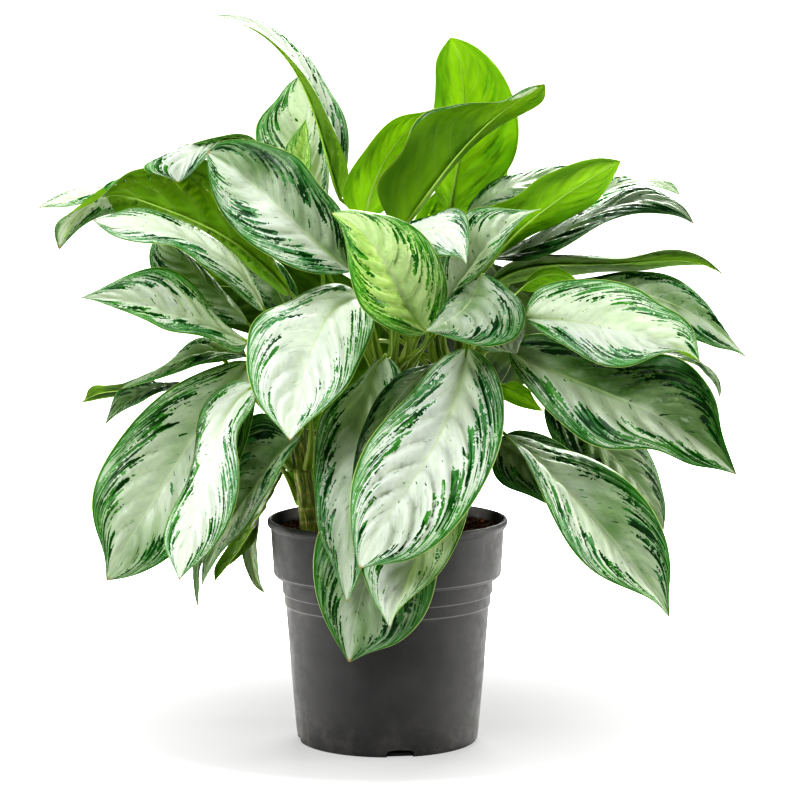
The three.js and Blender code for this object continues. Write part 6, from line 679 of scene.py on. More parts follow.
        [(148.7, -12.1, 386.5), (109.8, -2.8, 383.4), (84.9, 41.4, 349.6), (66.5, 45.5, 317.8)],
        [(144.5, -9.2, 394.9, 148.7, -12.1, 386.5, 148.6, -14.3, 378),
         (159.7, -1, 401.9, 162.5, -16.3, 391.9, 161.5, -27.8, 376.3),
         (176.4, 4.2, 405.1, 176.8, -20.6, 395.1, 174.5, -39.5, 374.5),
         (193.1, 5.3, 407.5, 191.4, -24.8, 396.3, 187.5, -48.5, 372.7),
         (209.5, 2.9, 409.9, 205.9, -28.9, 395.4, 200.6, -54.8, 370.6),
         (225.9, -2.1, 410.3, 220.2, -32.7, 392.8, 213.8, -59, 368.2),
         (241.8, -8.2, 407.5, 234.1, -36.2, 388.5, 227, -61.3, 365.5),
         (256.4, -14.4, 400.9, 247.5, -39.3, 383, 240.3, -62.3, 362.3),
         (268.5, -20.3, 390.4, 260.3, -42.1, 376.2, 253.6, -62.2, 358.6),
         (278.3, -26.3, 377.7, 272.6, -44.6, 368.4, 266.9, -61, 354.4),
         (287, -33.1, 364.5, 284.3, -46.9, 359.8, 280.2, -58.9, 349.7),
         (295.9, -41.5, 351.7, 295.4, -49.1, 350.3, 294, -55.6, 346.5),
         (305.8, -51.2, 340, 305.8, -51.3, 340, 305.7, -51.4, 340)]),
    ('leaf_42', -1, 0, 2, 1.0, 0.2, 0, 0, 0, 53.9, 0.55,
        [(115.3, -91.1, 377.3), (94, -75.9, 369.9), (52.4, -14.5, 347.1), (58.2, -16, 312.2)],
        [(113.6, -89.7, 390.6, 115.3, -91.1, 377.3, 115.2, -94.4, 374.3),
         (124.5, -95.8, 401.8, 127.4, -98.3, 377.5, 125.5, -110.3, 368.1),
         (138.6, -102.5, 408.2, 139.7, -105.6, 377.5, 136.6, -122.9, 362.7),
         (153.7, -109.2, 410.9, 151.9, -112.5, 376.9, 147.5, -131.2, 356.5),
         (168.9, -115.7, 411.8, 164, -118.9, 375.7, 158.7, -136.1, 350.2),
         (184.1, -122, 411, 176, -124.9, 374, 170.3, -139.7, 344.7),
         (198.7, -127.8, 407.7, 187.8, -130.4, 371.6, 182.7, -143.5, 341.3),
         (212.3, -133.2, 401.3, 199.6, -135.2, 368.7, 195.5, -148.4, 341.7),
         (224.4, -138, 392.5, 211.1, -139.5, 365.2, 207.5, -153.6, 346.3),
         (237.7, -141.9, 385.5, 222.6, -143.2, 361.2, 219.2, -157.6, 351.9),
         (248.6, -145.6, 375.5, 233.8, -146.5, 356.7, 231.6, -158.5, 355.8),
         (253.7, -149.1, 361.3, 244.9, -149.5, 351.7, 244.7, -156.2, 354.2),
         (255.7, -152.4, 346.3, 255.7, -152.4, 346.3, 255.7, -152.6, 346.3)]),
    ('leaf_43', -1, 0, 2, 2.2, 1, 0, 0, 0.2, 62.5, 1.05,
        [(238.1, 21, 338.5), (208.2, -1.9, 350.7), (100.8, -14.7, 376.2), (61.9, 36.9, 322.2)],
        [(238.2, 22.2, 340.1, 238.1, 21, 338.5, 238, 19.3, 335.1),
         (245.4, 32.4, 339.4, 244.2, 25, 336.5, 243.5, 17.2, 335.8),
         (252.5, 40.9, 337.7, 250.4, 29.1, 334.5, 249.2, 16.7, 335.5),
         (259.2, 47.6, 335.1, 256.6, 33, 332.5, 255, 18, 334.1),
         (265.5, 52.8, 331.8, 262.7, 36.9, 330.3, 260.7, 20.8, 331.9),
         (271.4, 56.8, 328.1, 268.7, 40.8, 327.7, 266.3, 24.7, 328.9),
         (277.2, 60, 324.2, 274.6, 44.8, 324.7, 271.7, 29.5, 325.3),
         (282.9, 62.6, 320.5, 280.2, 48.8, 321.2, 276.8, 35, 321.1),
         (288.3, 64.6, 316.4, 285.4, 52.8, 316.9, 281.6, 41.1, 316.3),
         (293, 66.2, 311.5, 289.7, 57, 311.8, 286, 47.7, 311.1),
         (296.2, 67.4, 305.7, 292.9, 61.1, 305.8, 289.8, 54.6, 305.4),
         (297, 68.4, 299.1, 294.7, 65.3, 299.4, 293.1, 61.9, 299.2),
         (295.3, 69.4, 292.8, 295.3, 69.4, 292.8, 295.3, 69.4, 292.8)]),
    ('leaf_44', -1, 0, 2, 1.9, 0.74, -0.7, 0, 0.12, 4.5, 0.8,
        [(103.6, -71, 348.7), (92.4, -66.8, 354.1), (67, -36.4, 344.1), (67.8, -19.1, 309.3)],
        [(107.9, -68.9, 358.6, 103.6, -71, 348.7, 99.3, -74.6, 344.8),
         (128.9, -66.3, 361.5, 119.1, -78.2, 340.3, 108.8, -94, 330.1),
         (149.7, -65.9, 356.6, 135.4, -85.2, 333.3, 120.6, -108.7, 316.7),
         (170.1, -69.2, 351.1, 151.9, -92, 326.9, 132.4, -117.8, 302.9),
         (190.6, -77, 348.1, 168.5, -98.6, 320.9, 146.3, -122.5, 290.4),
         (210.7, -88.5, 345.5, 185.1, -104.8, 314.8, 161.1, -125.5, 278.7),
         (230.8, -100.2, 347.7, 201.4, -110.6, 308.4, 178.6, -128.3, 271.8),
         (249.2, -110.4, 341.7, 217.5, -115.6, 301.3, 197.4, -131.3, 271.3),
         (263.4, -118.2, 327.6, 233.1, -119.9, 293.2, 216.2, -134, 272.2),
         (272.9, -123.6, 309.7, 248.2, -123.6, 284, 234.2, -135.5, 266.8),
         (276.3, -127.5, 289.4, 262.7, -126.8, 273.9, 251.8, -135.5, 259.4),
         (282.2, -130.3, 269.8, 276.5, -129.7, 262.8, 270.7, -134.2, 255.9),
         (289.3, -132.6, 250.6, 289.3, -132.5, 250.6, 289.3, -132.6, 250.6)]),
    ('leaf_45', 1, 0, 2, 1.5, 0.2, 0, 0, 0, 19.1, 0.72,
        [(88.1, -30.3, 319.1), (76.8, -28.3, 321.8), (77.5, -20.9, 320.1), (72.5, -16.2, 312.6)],
        [(89.8, -30.8, 323.5, 88.1, -30.3, 319.1, 86.4, -31.3, 310.6),
         (91.7, -36.4, 319.5, 92.1, -31.4, 317.5, 89.8, -31.6, 308),
         (95.5, -40.6, 317.1, 96.1, -32.5, 315.9, 93.4, -31.7, 305.7),
         (100.4, -42.5, 317.9, 100, -33.6, 314.1, 97.1, -31.7, 303.5),
         (105.2, -42.7, 319.2, 103.9, -34.6, 312.2, 100.9, -31.9, 301.6),
         (110.2, -42.2, 319.2, 107.8, -35.6, 310.2, 104.7, -32.4, 299.8),
         (114.8, -41.8, 317.3, 111.6, -36.6, 308.1, 108.7, -33.2, 298.2),
         (118.6, -41.9, 314.1, 115.3, -37.4, 305.9, 112.7, -34.3, 296.9),
         (121.7, -42.3, 310.3, 119, -38.2, 303.6, 116.7, -35.5, 295.8),
         (124.5, -42.7, 306.1, 122.6, -38.8, 301.2, 120.8, -36.7, 294.8),
         (127.1, -42.6, 301.8, 126.2, -39.4, 298.8, 124.9, -38, 294.1),
         (129.9, -41.9, 297.5, 129.7, -40, 296.2, 129.1, -39.2, 293.5),
         (133.2, -40.5, 293.5, 133.2, -40.5, 293.5, 133.2, -40.5, 293.5)]),
    ('leaf_46', -1, 0, 2, 1.4, 0.6, -0.5, 0, 0, 54.5, 0.75,
        [(99.8, -66.5, 276.8), (84.3, -54.5, 289.3), (68.4, -29.2, 305.2), (66.4, -21.3, 293)],
        [(102.5, -63.5, 276.5, 99.8, -66.5, 276.8, 98.1, -67.2, 276.9),
         (121.2, -57, 271.7, 112.8, -72.7, 265.9, 110, -89.3, 266.9),
         (139.9, -55.4, 264.5, 125.7, -78.7, 254.9, 118.7, -106.4, 253.6),
         (159.2, -58.7, 260.4, 138.4, -83.9, 243.6, 126.5, -117, 238.9),
         (177.5, -65.7, 254.1, 150.8, -88.1, 232, 133.7, -122, 223.2),
         (194.2, -74.6, 245.1, 163, -91.9, 220, 141.4, -123, 207),
         (208.9, -83.2, 233.3, 175, -94.6, 207.6, 150.5, -121.5, 191.1),
         (221.1, -91.2, 219.1, 186.6, -97.6, 195, 161.8, -119.9, 176.6),
         (230.3, -98.1, 202.7, 197.8, -101, 182.1, 175.6, -119.2, 164.8),
         (236, -103.2, 184.5, 208.5, -104.2, 168.9, 191.6, -119.1, 156.6),
         (237.6, -106.8, 165.2, 218.8, -107, 155.2, 208.3, -118.6, 149.5),
         (236.4, -109.6, 145.8, 228.4, -109.5, 141, 224.2, -116.3, 140.3),
         (237, -112, 126.3, 237, -112, 126.3, 237, -112.2, 126.3)]),
    ('leaf_47', -1, 0, 2, 1.6, 0.8, 0, 0, 0.3, 33.6, 0.91,
        [(93.7, -48.4, 267.8), (73, -44.7, 273.4), (68.5, -25.4, 264.5), (65.8, -22.8, 258.8)],
        [(98.8, -47.2, 278, 93.7, -48.4, 267.8, 96.2, -50.7, 261.2),
         (109.2, -48.2, 278.2, 101.7, -49.6, 263.6, 89.8, -53.4, 253.1),
         (119.6, -49.3, 277.5, 109.8, -50.9, 259.4, 90.2, -56.2, 242.9),
         (129.8, -49.6, 275.3, 117.8, -51.6, 255, 95.9, -58.5, 234.4),
         (139.6, -50.3, 271.5, 125.7, -52.6, 250.5, 104.9, -60.5, 229.2),
         (148.6, -51.7, 266.4, 133.5, -54.2, 246, 114.9, -62.2, 225.9),
         (156.9, -54.4, 260.6, 141.2, -56.7, 241.5, 124.6, -64.2, 222),
         (164.8, -57.9, 254.3, 148.8, -59.8, 236.9, 134.1, -66.2, 217.6),
         (172.2, -61.9, 247.6, 156.2, -63.8, 232.3, 143.7, -68.2, 213.5),
         (178.7, -65.1, 239.9, 163.5, -66.5, 227.3, 153.6, -69.7, 210),
         (183.4, -67.7, 231, 170.7, -68.5, 222.1, 163.9, -70.6, 208),
         (185.5, -69.7, 221, 177.8, -69.9, 216.5, 174.5, -71, 208.2),
         (184.7, -70.9, 210.7, 184.7, -70.9, 210.7, 184.7, -70.9, 210.7)]),
    ('leaf_48', 1, 0, 2, 2.6, 1, 0, 0, 0.15, 70.9, 1.17,
        [(139.4, 0.8, 302.9), (128.6, -1.1, 310.1), (91.7, -10.8, 313), (71.7, -10, 280.5)],
        [(135, -0.8, 298.7, 139.4, 0.8, 302.9, 149.9, 1.5, 305.4),
         (136.1, -4.3, 285.7, 148.7, 4, 293.2, 164.1, 10, 302.2),
         (139, -6.1, 272.6, 158.3, 7.2, 283.7, 177.8, 17.7, 296.8),
         (144.9, -5.9, 260.3, 168.2, 10.3, 274.4, 190.7, 24, 289.7),
         (153.6, -3.8, 249.6, 178.2, 13.5, 265.2, 202.6, 28.7, 281.1),
         (163.8, 0, 239.8, 188.1, 16.6, 255.9, 213.3, 32.2, 271.1),
         (174.4, 5.2, 230.1, 198, 19.8, 246.4, 222.6, 34.7, 259.9),
         (185.1, 11.4, 220.2, 207.5, 23, 236.6, 230.6, 36.5, 247.7),
         (196.1, 18, 210.4, 216.6, 26.3, 226.2, 237, 38, 234.7),
         (207.4, 24.3, 201, 225.1, 29.6, 215.3, 241.7, 39.1, 221.1),
         (219.2, 29.9, 192.4, 232.8, 33, 203.7, 244.7, 39.8, 207),
         (231.6, 34.9, 184.8, 239.4, 36.3, 191.4, 245.7, 40, 192.7),
         (244.7, 39.6, 178.5, 244.7, 39.6, 178.5, 244.7, 39.7, 178.5)]),
    ('leaf_49', -1, 0, 2, 1, 0.6, 0, -0.05, 0, 63.9, 0.87,
        [(-1.4, 86.2, 330.6), (17.1, 74.5, 354), (-35.6, 34.7, 345.6), (-43.6, 38.9, 322.4)],
        [(-1.5, 83.6, 331.6, -1.4, 86.2, 330.6, -1.3, 88.8, 329.6),
         (-15.1, 81.3, 332.2, -9.7, 91.4, 320.2, 0.7, 101, 311.4),
         (-28.3, 81.4, 328.9, -17.8, 96.5, 309.4, 0.4, 109.5, 294.2),
         (-40.6, 84.4, 321.7, -25.7, 101.4, 298.4, -2.1, 114.2, 278.8),
         (-51.8, 89.8, 311.5, -33.3, 106.3, 287.1, -6.4, 116.1, 264.9),
         (-61.8, 97, 298.9, -40.8, 111.1, 275.4, -12.4, 116.5, 252.3),
         (-70.8, 105.6, 284.4, -47.9, 115.9, 263.4, -19.7, 116.7, 240.6),
         (-78.8, 114.8, 268.6, -54.8, 120.7, 251.1, -28.1, 117.8, 229.4),
         (-85.5, 123.6, 252, -61.4, 125.5, 238.5, -37.5, 120.1, 218.6),
         (-90.2, 130.8, 234.8, -67.6, 130.3, 225.5, -47.9, 124.1, 208.4),
         (-92, 136.3, 217.5, -73.6, 135, 212.3, -59.2, 129.5, 199),
         (-90.1, 140.4, 200.7, -79.2, 139.7, 198.8, -71.5, 136.3, 191),
         (-84.5, 144.3, 185, -84.5, 144.2, 185, -84.5, 144.2, 185)]),
    ('leaf_50', -1, 0, 2, 1, 1, 0, 0.3, 0.35, 21.5, 1.14,
        [(42.7, 56.2, 381.9), (44, 37, 395.3), (40.3, 44.3, 337.6), (48.4, 40.7, 327.1)],
        [(42.3, 59.5, 382.9, 42.7, 56.2, 381.9, 43.1, 53.2, 381),
         (29.9, 82.4, 379.6, 41.9, 69.5, 372.7, 55.4, 57, 372.6),
         (19, 101.3, 373.9, 40.5, 82.7, 363.3, 64.7, 65.3, 362.7),
         (9.6, 115.4, 365.7, 38.7, 95.8, 353.9, 70.6, 78.2, 352.1),
         (1.9, 125.7, 355.6, 36.4, 109, 344.4, 72.9, 94.6, 341.1),
         (-4.2, 133.8, 344.2, 33.6, 122.2, 334.8, 72.1, 112.9, 330.2),
         (-8.8, 141.4, 332, 30.4, 135.6, 325.3, 68.6, 131.7, 319.3),
         (-11.9, 150, 319.7, 26.8, 149, 315.8, 62.7, 149.7, 308.5),
         (-13.3, 160.5, 307.7, 22.8, 162.5, 306.2, 54.6, 166.3, 298.1),
         (-12.7, 172.9, 296.1, 18.3, 176, 296.7, 44.6, 181.2, 288.3),
         (-9.9, 186.9, 285.5, 13.6, 189.6, 287.1, 32.6, 194.4, 279.5),
         (-4.6, 201.7, 276, 8.4, 203.2, 277.6, 18.7, 206.2, 272.5),
         (3, 216.7, 268, 2.9, 216.7, 268, 2.9, 216.8, 268)]),
    ('leaf_51', 1, 0, 2, 1, 0.5, 0, -0.5, 0, 65.6, 0.97,
        [(-5.5, 73, 398.1), (-40.3, 59.8, 371.2), (34.1, 51.4, 325.7), (47.7, 49.3, 328.7)],
        [(-4, 74.8, 399.4, -5.5, 73, 398.1, -4.2, 74.5, 399.2),
         (5.1, 86, 416.1, 4.2, 76.7, 405.6, 11.5, 87.6, 402.2),
         (13.4, 93.5, 431, 14.1, 80.4, 412.9, 26.7, 96.7, 404.8),
         (20.1, 97.2, 443.4, 24, 84, 420.2, 40.8, 101.9, 407.7),
         (25.7, 98.1, 453.6, 34, 87.6, 427.4, 53.6, 104.3, 411.5),
         (31.1, 97.2, 462.3, 43.9, 91.2, 434.8, 65.5, 105.3, 417.3),
         (37.5, 95.9, 470.2, 53.9, 94.7, 442.4, 76.2, 106.1, 425.6),
         (45.8, 95.3, 477.7, 63.7, 98.2, 450.2, 85.1, 107.4, 436.4),
         (56.4, 96, 484.3, 73.4, 101.7, 458.3, 92.5, 109.5, 448.5),
         (68.8, 98.5, 489.3, 82.8, 105.2, 466.9, 98.5, 111.8, 460.9),
         (82.1, 102.8, 492.7, 91.8, 108.8, 476, 103.1, 113.9, 473),
         (95.5, 108.8, 494.7, 100.4, 112.4, 485.5, 106.3, 115.3, 484.5),
         (108.3, 116.3, 495.5, 108.3, 116.3, 495.6, 108.4, 116.3, 495.6)]),
    ('leaf_52', -1, 0, 2, 1, 0.8, 0, 0, 0.15, 45.0, 0.73,
        [(-1.5, 101.9, 329.1), (23.2, 100.6, 309.3), (-100.1, 99.5, 338.1), (-63.4, 45.3, 328.1)],
        [(1.3, 99.5, 329.2, -1.5, 101.9, 329.1, -4.5, 104.4, 328.9),
         (3, 95.7, 346.5, -14.8, 102.6, 339.7, -32, 111.5, 332.9),
         (-1, 92.8, 363.1, -28.7, 102.5, 349.5, -55.8, 114.7, 336),
         (-11.1, 91.7, 378.6, -43.2, 101.6, 358.6, -75.1, 113.6, 338.5),
         (-26.7, 91.9, 392.8, -58.3, 100, 366.8, -90.6, 109.1, 340.8),
         (-46.6, 92.8, 405.2, -74.1, 98, 374, -103.3, 102.2, 343.3),
         (-69.8, 93.4, 415.2, -90.5, 95.6, 380.1, -114.6, 94.2, 346),
         (-94.6, 92.5, 421.7, -107.6, 92.9, 385.1, -125.9, 86.4, 349.5),
         (-119.2, 89.8, 423.8, -125.1, 89.8, 388.9, -138.5, 80.1, 354),
         (-142.4, 85.6, 421.5, -143.1, 86.6, 391.2, -152.8, 75.7, 359.9),
         (-163.5, 81.1, 414.7, -161.3, 83.1, 392.1, -168.1, 73.6, 367.6),
         (-182.1, 77.5, 403.6, -179.6, 79.6, 391.4, -183.5, 73.6, 377.5),
         (-197.9, 76, 389.1, -197.8, 76, 389.1, -197.8, 76, 389.1)]),
    ('leaf_53', 1, 0, 2, 1, 0.9, 0, 0.3, 0.35, 48.2, 0.94,
        [(92.3, 58.9, 414), (81.7, 36.2, 430.8), (47.1, 63.4, 357.6), (66.1, 51, 327.9)],
        [(92.4, 55.8, 413.3, 92.3, 58.9, 414, 92.3, 62.5, 414.7),
         (108.5, 55.2, 408.2, 98.3, 71.5, 404.6, 88.8, 89, 406.9),
         (122.8, 59.4, 400.2, 103.5, 84.2, 394.7, 85.5, 110.5, 397.9),
         (134.4, 68.7, 389.7, 108, 96.8, 384.5, 82.8, 126.3, 387.5),
         (142.6, 81.9, 377.3, 111.7, 109.7, 373.9, 80.5, 137.6, 376.1),
         (147.8, 98.1, 363.8, 114.6, 122.7, 363, 79, 145.8, 364),
         (150.1, 116.4, 350, 116.4, 136, 351.9, 78.4, 152.5, 351.6),
         (150, 136.2, 336, 117.2, 149.6, 340.6, 78.6, 159.5, 339.1),
         (147.4, 156.1, 322, 116.8, 163.4, 329.2, 80.1, 168.2, 327),
         (141.7, 175, 308.4, 115.1, 177.3, 317.8, 82.9, 178.8, 315.3),
         (132.1, 191.9, 296.4, 111.9, 191.3, 306.5, 87.3, 191.3, 304.4),
         (118, 206.5, 288, 107.2, 205.2, 295.6, 93.3, 204.9, 294.3),
         (100.9, 219, 285.1, 100.9, 219, 285.1, 100.9, 218.9, 285.1)]),
]

CAMERA = dict(at=(0.01090, -2.59129, 0.57953), down=6.1878, lens=135.0956)


# ---------------------------------------------------------------- node helper
class Tree:
    """Short names for the shader nodes that the materials use."""

    def __init__(self, name):
        self.mat = bpy.data.materials.new(name)
        self.mat.use_nodes = True
        self.nt = self.mat.node_tree
        self.nt.nodes.clear()
        self.out = self.nt.nodes.new("ShaderNodeOutputMaterial")

    def put(self, socket, value):
        if isinstance(value, bpy.types.NodeSocket):
            self.nt.links.new(value, socket)
        elif value is not None:
            if hasattr(value, "__len__") and len(value) == 3 and socket.type == "RGBA":
                value = (*value, 1.0)
            socket.default_value = value

    def attr(self, name):
        n = self.nt.nodes.new("ShaderNodeAttribute")
        n.attribute_type = "GEOMETRY"
        n.attribute_name = name
        return n.outputs["Vector"]

    def split(self, v):
        n = self.nt.nodes.new("ShaderNodeSeparateXYZ")
        self.put(n.inputs[0], v)
        return n.outputs[0], n.outputs[1], n.outputs[2]

    def join(self, x, y, z):
        n = self.nt.nodes.new("ShaderNodeCombineXYZ")
        for s, v in zip(n.inputs, (x, y, z)):
            self.put(s, v)
        return n.outputs[0]

    def math(self, op, a, b=None, c=None, clamp=False):
        n = self.nt.nodes.new("ShaderNodeMath")
        n.operation = op
        n.use_clamp = clamp
        for s, v in zip(n.inputs, (a, b, c)):
            self.put(s, v)
        return n.outputs[0]

    def add(self, a, b):
        return self.math("ADD", a, b)

    def sub(self, a, b):
        return self.math("SUBTRACT", a, b)

    def mul(self, a, b):
        return self.math("MULTIPLY", a, b)

    def ramp(self, x, lo, hi, a=0.0, b=1.0):
        """a below lo, b above hi, smooth between."""
        n = self.nt.nodes.new("ShaderNodeMapRange")
        n.interpolation_type = "SMOOTHSTEP"
        for s, v in zip(n.inputs, (x, lo, hi, a, b)):
            self.put(s, v)
        return n.outputs[0]

    def mix(self, f, a, b, blend="MIX"):
        n = self.nt.nodes.new("ShaderNodeMix")
        n.data_type = "RGBA"
        n.blend_type = blend
        self.put(n.inputs["Factor"], f)
        sockets = [s for s in n.inputs if s.type == "RGBA"]
        self.put(sockets[0], a)
        self.put(sockets[1], b)
        return [s for s in n.outputs if s.type == "RGBA"][0]

    def noise(self, v, scale=1.0, detail=2.0, rough=0.5, warp=0.0):
        n = self.nt.nodes.new("ShaderNodeTexNoise")
        self.put(n.inputs["Vector"], v)
        n.inputs["Scale"].default_value = scale
        n.inputs["Detail"].default_value = detail
        n.inputs["Roughness"].default_value = rough
        n.inputs["Distortion"].default_value = warp
        return n.outputs["Fac"] if "Fac" in n.outputs else n.outputs[0]

    def cells(self, v, scale, kind="F1", out="Distance"):
        n = self.nt.nodes.new("ShaderNodeTexVoronoi")
        n.feature = kind
        self.put(n.inputs["Vector"], v)
        n.inputs["Scale"].default_value = scale
        return n.outputs[out]

    def where(self):
        return self.nt.nodes.new("ShaderNodeTexCoord").outputs["Object"]

    def bump(self, height, strength, distance):
        n = self.nt.nodes.new("ShaderNodeBump")
        n.inputs["Strength"].default_value = strength
        n.inputs["Distance"].default_value = distance
        self.put(n.inputs["Height"], height)
        return n.outputs[0]

    def principled(self, colour, rough, normal=None, spec=0.5):
        n = self.nt.nodes.new("ShaderNodeBsdfPrincipled")
        self.put(n.inputs["Base Color"], colour)
        self.put(n.inputs["Roughness"], rough)
        n.inputs["Specular IOR Level"].default_value = spec
        if normal is not None:
            self.put(n.inputs["Normal"], normal)
        return n

    def finish(self, shader):
        self.nt.links.new(shader, self.out.inputs["Surface"])
        return self.mat


VEINS = 8.5  # lateral veins along the blade


def sweep(h):
    """How far along the blade a lateral vein has come at h, 0 at the midrib and 1 at the margin."""
    return 0.25 * h + 0.30 * h**4


def leaf_material():
    T = Tree("variegated_leaf")
    s, t, side = T.split(T.attr("leaf_place"))
    seed, amount, young = T.split(T.attr("leaf_kind"))
    shade = T.mul(T.math("FRACT", young), 2.5)  # painted shade, 0 none and 1 the most; partly also the greener ground of leaves grown in the bush
    # the painted shade grows and fades in broad soft patches over the blade
    drift = T.noise(T.join(T.mul(s, 2.3), T.mul(t, 0.8), T.add(seed, 90.0)), 1.0, 1.0, 0.5)
    shade = T.mul(shade, T.ramp(drift, 0.34, 0.66, 0.62, 1.18))
    lean, under_shade, gloom = T.split(T.attr("leaf_more"))
    # painted shadow on one half of the blade, stronger or weaker by the lean value
    shade = T.math("MULTIPLY", shade, T.add(1.0, T.mul(lean, T.ramp(t, -0.12, 0.12, -1.0, 1.0))), clamp=True)
    at = T.math("ABSOLUTE", t)
    half = T.math("SIGN", t)
    seed2 = T.add(T.mul(seed, 1.0), T.mul(half, 3.7))
    at4 = T.math("POWER", at, 4.0)
    phi = T.sub(s, T.add(T.mul(at, 0.25), T.mul(at4, 0.30)))
    along = T.add(T.mul(s, 0.8), T.mul(at, 0.5))

    # small lobes and steps that fray every mark, about two millimetres across
    spot = T.join(T.add(T.mul(s, 84.0), T.mul(seed2, 3.1)), T.mul(at, 17.0), half)
    lobes = T.split(T.cells(spot, 1.0, "F1", "Color"))[0]
    nibble = T.noise(T.join(T.mul(s, 150.0), T.mul(at, 34.0), T.add(seed2, 9.0)), 1.0, 1.0, 0.6)
    bits = T.noise(T.join(T.mul(phi, 170.0), T.mul(along, 75.0), T.add(seed2, 13.0)), 1.0, 1.0, 0.6)
    rags = T.add(T.mul(T.sub(lobes, 0.5), 0.165), T.mul(T.sub(nibble, 0.5), 0.20))

    # where the blade is marked at all: more towards the margin
    big = T.sub(T.noise(T.join(T.mul(s, 5.5), half, seed2), 1.0, 1.0, 0.5), 0.5)
    need = T.add(T.ramp(at, 0.22, 0.62, 0.90, 0.535), T.ramp(at, 0.78, 0.95, 0.0, 0.03))
    need = T.sub(need, T.mul(amount, 0.040))
    need = T.sub(need, T.mul(big, 0.17))
    blot = T.noise(T.join(T.mul(phi, 30.0), T.mul(along, 3.6), seed2), 1.0, 0.9, 0.5)
    over = T.sub(T.add(blot, rags), need)
    mark = T.mul(T.ramp(over, -0.007, 0.007), T.ramp(T.sub(blot, need), -0.036, -0.024))
    tone_n = T.noise(T.join(T.mul(phi, 24.0), T.mul(along, 5.5), T.add(seed2, 17.0)), 1.0, 1.0, 0.5)
    # painted shade: leaves with more shade get fewer pale marks and more dark ones
    paler = T.ramp(shade, 0.0, 1.0, 0.070, -0.045)
    tone = T.ramp(T.sub(T.add(T.add(tone_n, paler), T.mul(rags, 0.5)), T.mul(over, 0.50)), 0.485, 0.505)  # 0 dark, 1 paler

    # fine streaks along the margin, dark on pale and pale on dark
    fine = T.noise(T.join(T.mul(phi, 62.0), T.mul(along, 6.5), T.add(seed2, 31.0)), 1.0, 1.0, 0.5)
    fine = T.add(fine, T.add(T.mul(T.sub(bits, 0.5), 0.08), T.mul(rags, 0.45)))
    need3 = T.sub(T.ramp(at, 0.50, 0.88, 0.76, 0.535), T.mul(amount, 0.02))
    streak = T.ramp(T.sub(fine, need3), -0.012, 0.012)
    fine2 = T.noise(T.join(T.mul(phi, 70.0), T.mul(along, 6.0), T.add(seed2, 57.0)), 1.0, 1.0, 0.55)
    gap = T.ramp(T.sub(fine2, T.ramp(at, 0.60, 0.92, 0.72, 0.555)), -0.014, 0.014)
    stone_n = T.noise(T.join(T.mul(phi, 60.0), T.mul(along, 9.0), T.add(seed2, 43.0)), 1.0, 1.0, 0.5)
    stone = T.ramp(stone_n, 0.46, 0.54)

    # silvery ground, greener by the base of the midrib
    soft = T.noise(T.join(T.mul(phi, 30.0), T.mul(along, 7.0), T.add(seed2, 5.0)), 1.0, 3.0, 0.6)
    silver = T.mix(T.ramp(soft, 0.3, 0.7), SILVER_A, SILVER_B)
    # painted shade: the ground darkens and greens toward the SHADE colours as the leaf's shade grows
    silver = T.mix(T.mul(shade, 0.85), silver, T.mix(T.ramp(soft, 0.3, 0.7), SHADE_A, SHADE_B))
    # green clouds in the ground, stronger and darker on leaves with more painted shade
    clouds = T.noise(T.join(T.mul(s, 4.0), T.mul(t, 1.6), T.add(seed, 70.0)), 1.0, 2.0, 0.5)
    silver = T.mix(T.mul(T.ramp(clouds, 0.40, 0.68), T.ramp(shade, 0.0, 0.8, 0.06, 0.75)), silver, T.mix(shade, SILVER_GREEN, DEEP_GREEN))
    rib_green = T.mul(T.ramp(at, 0.0, 0.26, 1.0, 0.0), T.ramp(s, 0.02, 0.42, 1.0, 0.0))
    silver = T.mix(T.mul(rib_green, 0.60), silver, (0.245, 0.33, 0.14))
    # lateral veins as thin lines a little darker and greener than the silver ground: painted shade of the vein grooves,
    # partly the veins' own colour
    phase = T.add(T.mul(phi, VEINS), T.mul(seed, 0.37))
    vein = T.math("ABSOLUTE", T.sub(T.mul(T.math("FRACT", phase), 2.0), 1.0))
    vein = T.mul(T.ramp(vein, 0.93, 1.0), T.ramp(at, 0.45, 0.9, 1.0, 0.0))
    silver = T.mix(T.mul(vein, 0.30), silver, (0.40, 0.49, 0.32))
    # young leaves: yellow-green ground on one half or both
    gold = T.mix(T.ramp(soft, 0.3, 0.7), (0.30, 0.50, 0.045), (0.45, 0.62, 0.10))
    is_young = T.math("GREATER_THAN", young, 0.5)
    both = T.math("GREATER_THAN", young, 1.5)
    right = T.math("MAXIMUM", both, T.ramp(t, -0.12, 0.12))
    silver = T.mix(T.mul(T.mul(is_young, right), 0.72), silver, gold)
    silver = T.mix(T.mul(T.mul(is_young, T.sub(1.0, right)), 0.55), silver, gold)

    # the marks run from leaf green to a muted sage from one part of a blade to another
    hue = T.ramp(T.noise(T.join(T.mul(s, 2.6), T.mul(half, 1.3), T.add(seed, 37.0)), 1.0, 1.0, 0.5), 0.40, 0.60)
    dark = T.mix(T.ramp(soft, 0.35, 0.65), DARK_A, DARK_B)
    dark = T.mix(T.mul(hue, 0.7), dark, (0.009, 0.076, 0.020))
    pale = T.mix(T.ramp(soft, 0.35, 0.65), MID_A, MID_B)
    pale = T.mix(hue, pale, T.mix(T.ramp(soft, 0.35, 0.65), SAGE_A, SAGE_B))
    # painted shade: marks on shaded leaves are darker
    dark = T.mix(T.mul(shade, 0.65), dark, (0.002, 0.026, 0.001))
    pale = T.mix(T.mul(shade, 0.45), pale, (0.016, 0.100, 0.008))
    dark = T.mix(T.mul(is_young, 0.75), dark, (0.022, 0.17, 0.006))
    pale = T.mix(T.mul(is_young, 0.75), pale, (0.12, 0.34, 0.020))
    up = T.mix(streak, silver, T.mix(stone, dark, pale))
    up = T.mix(mark, up, T.mix(tone, dark, pale))
    up = T.mix(T.mul(gap, 0.85), up, T.mix(0.35, silver, pale))
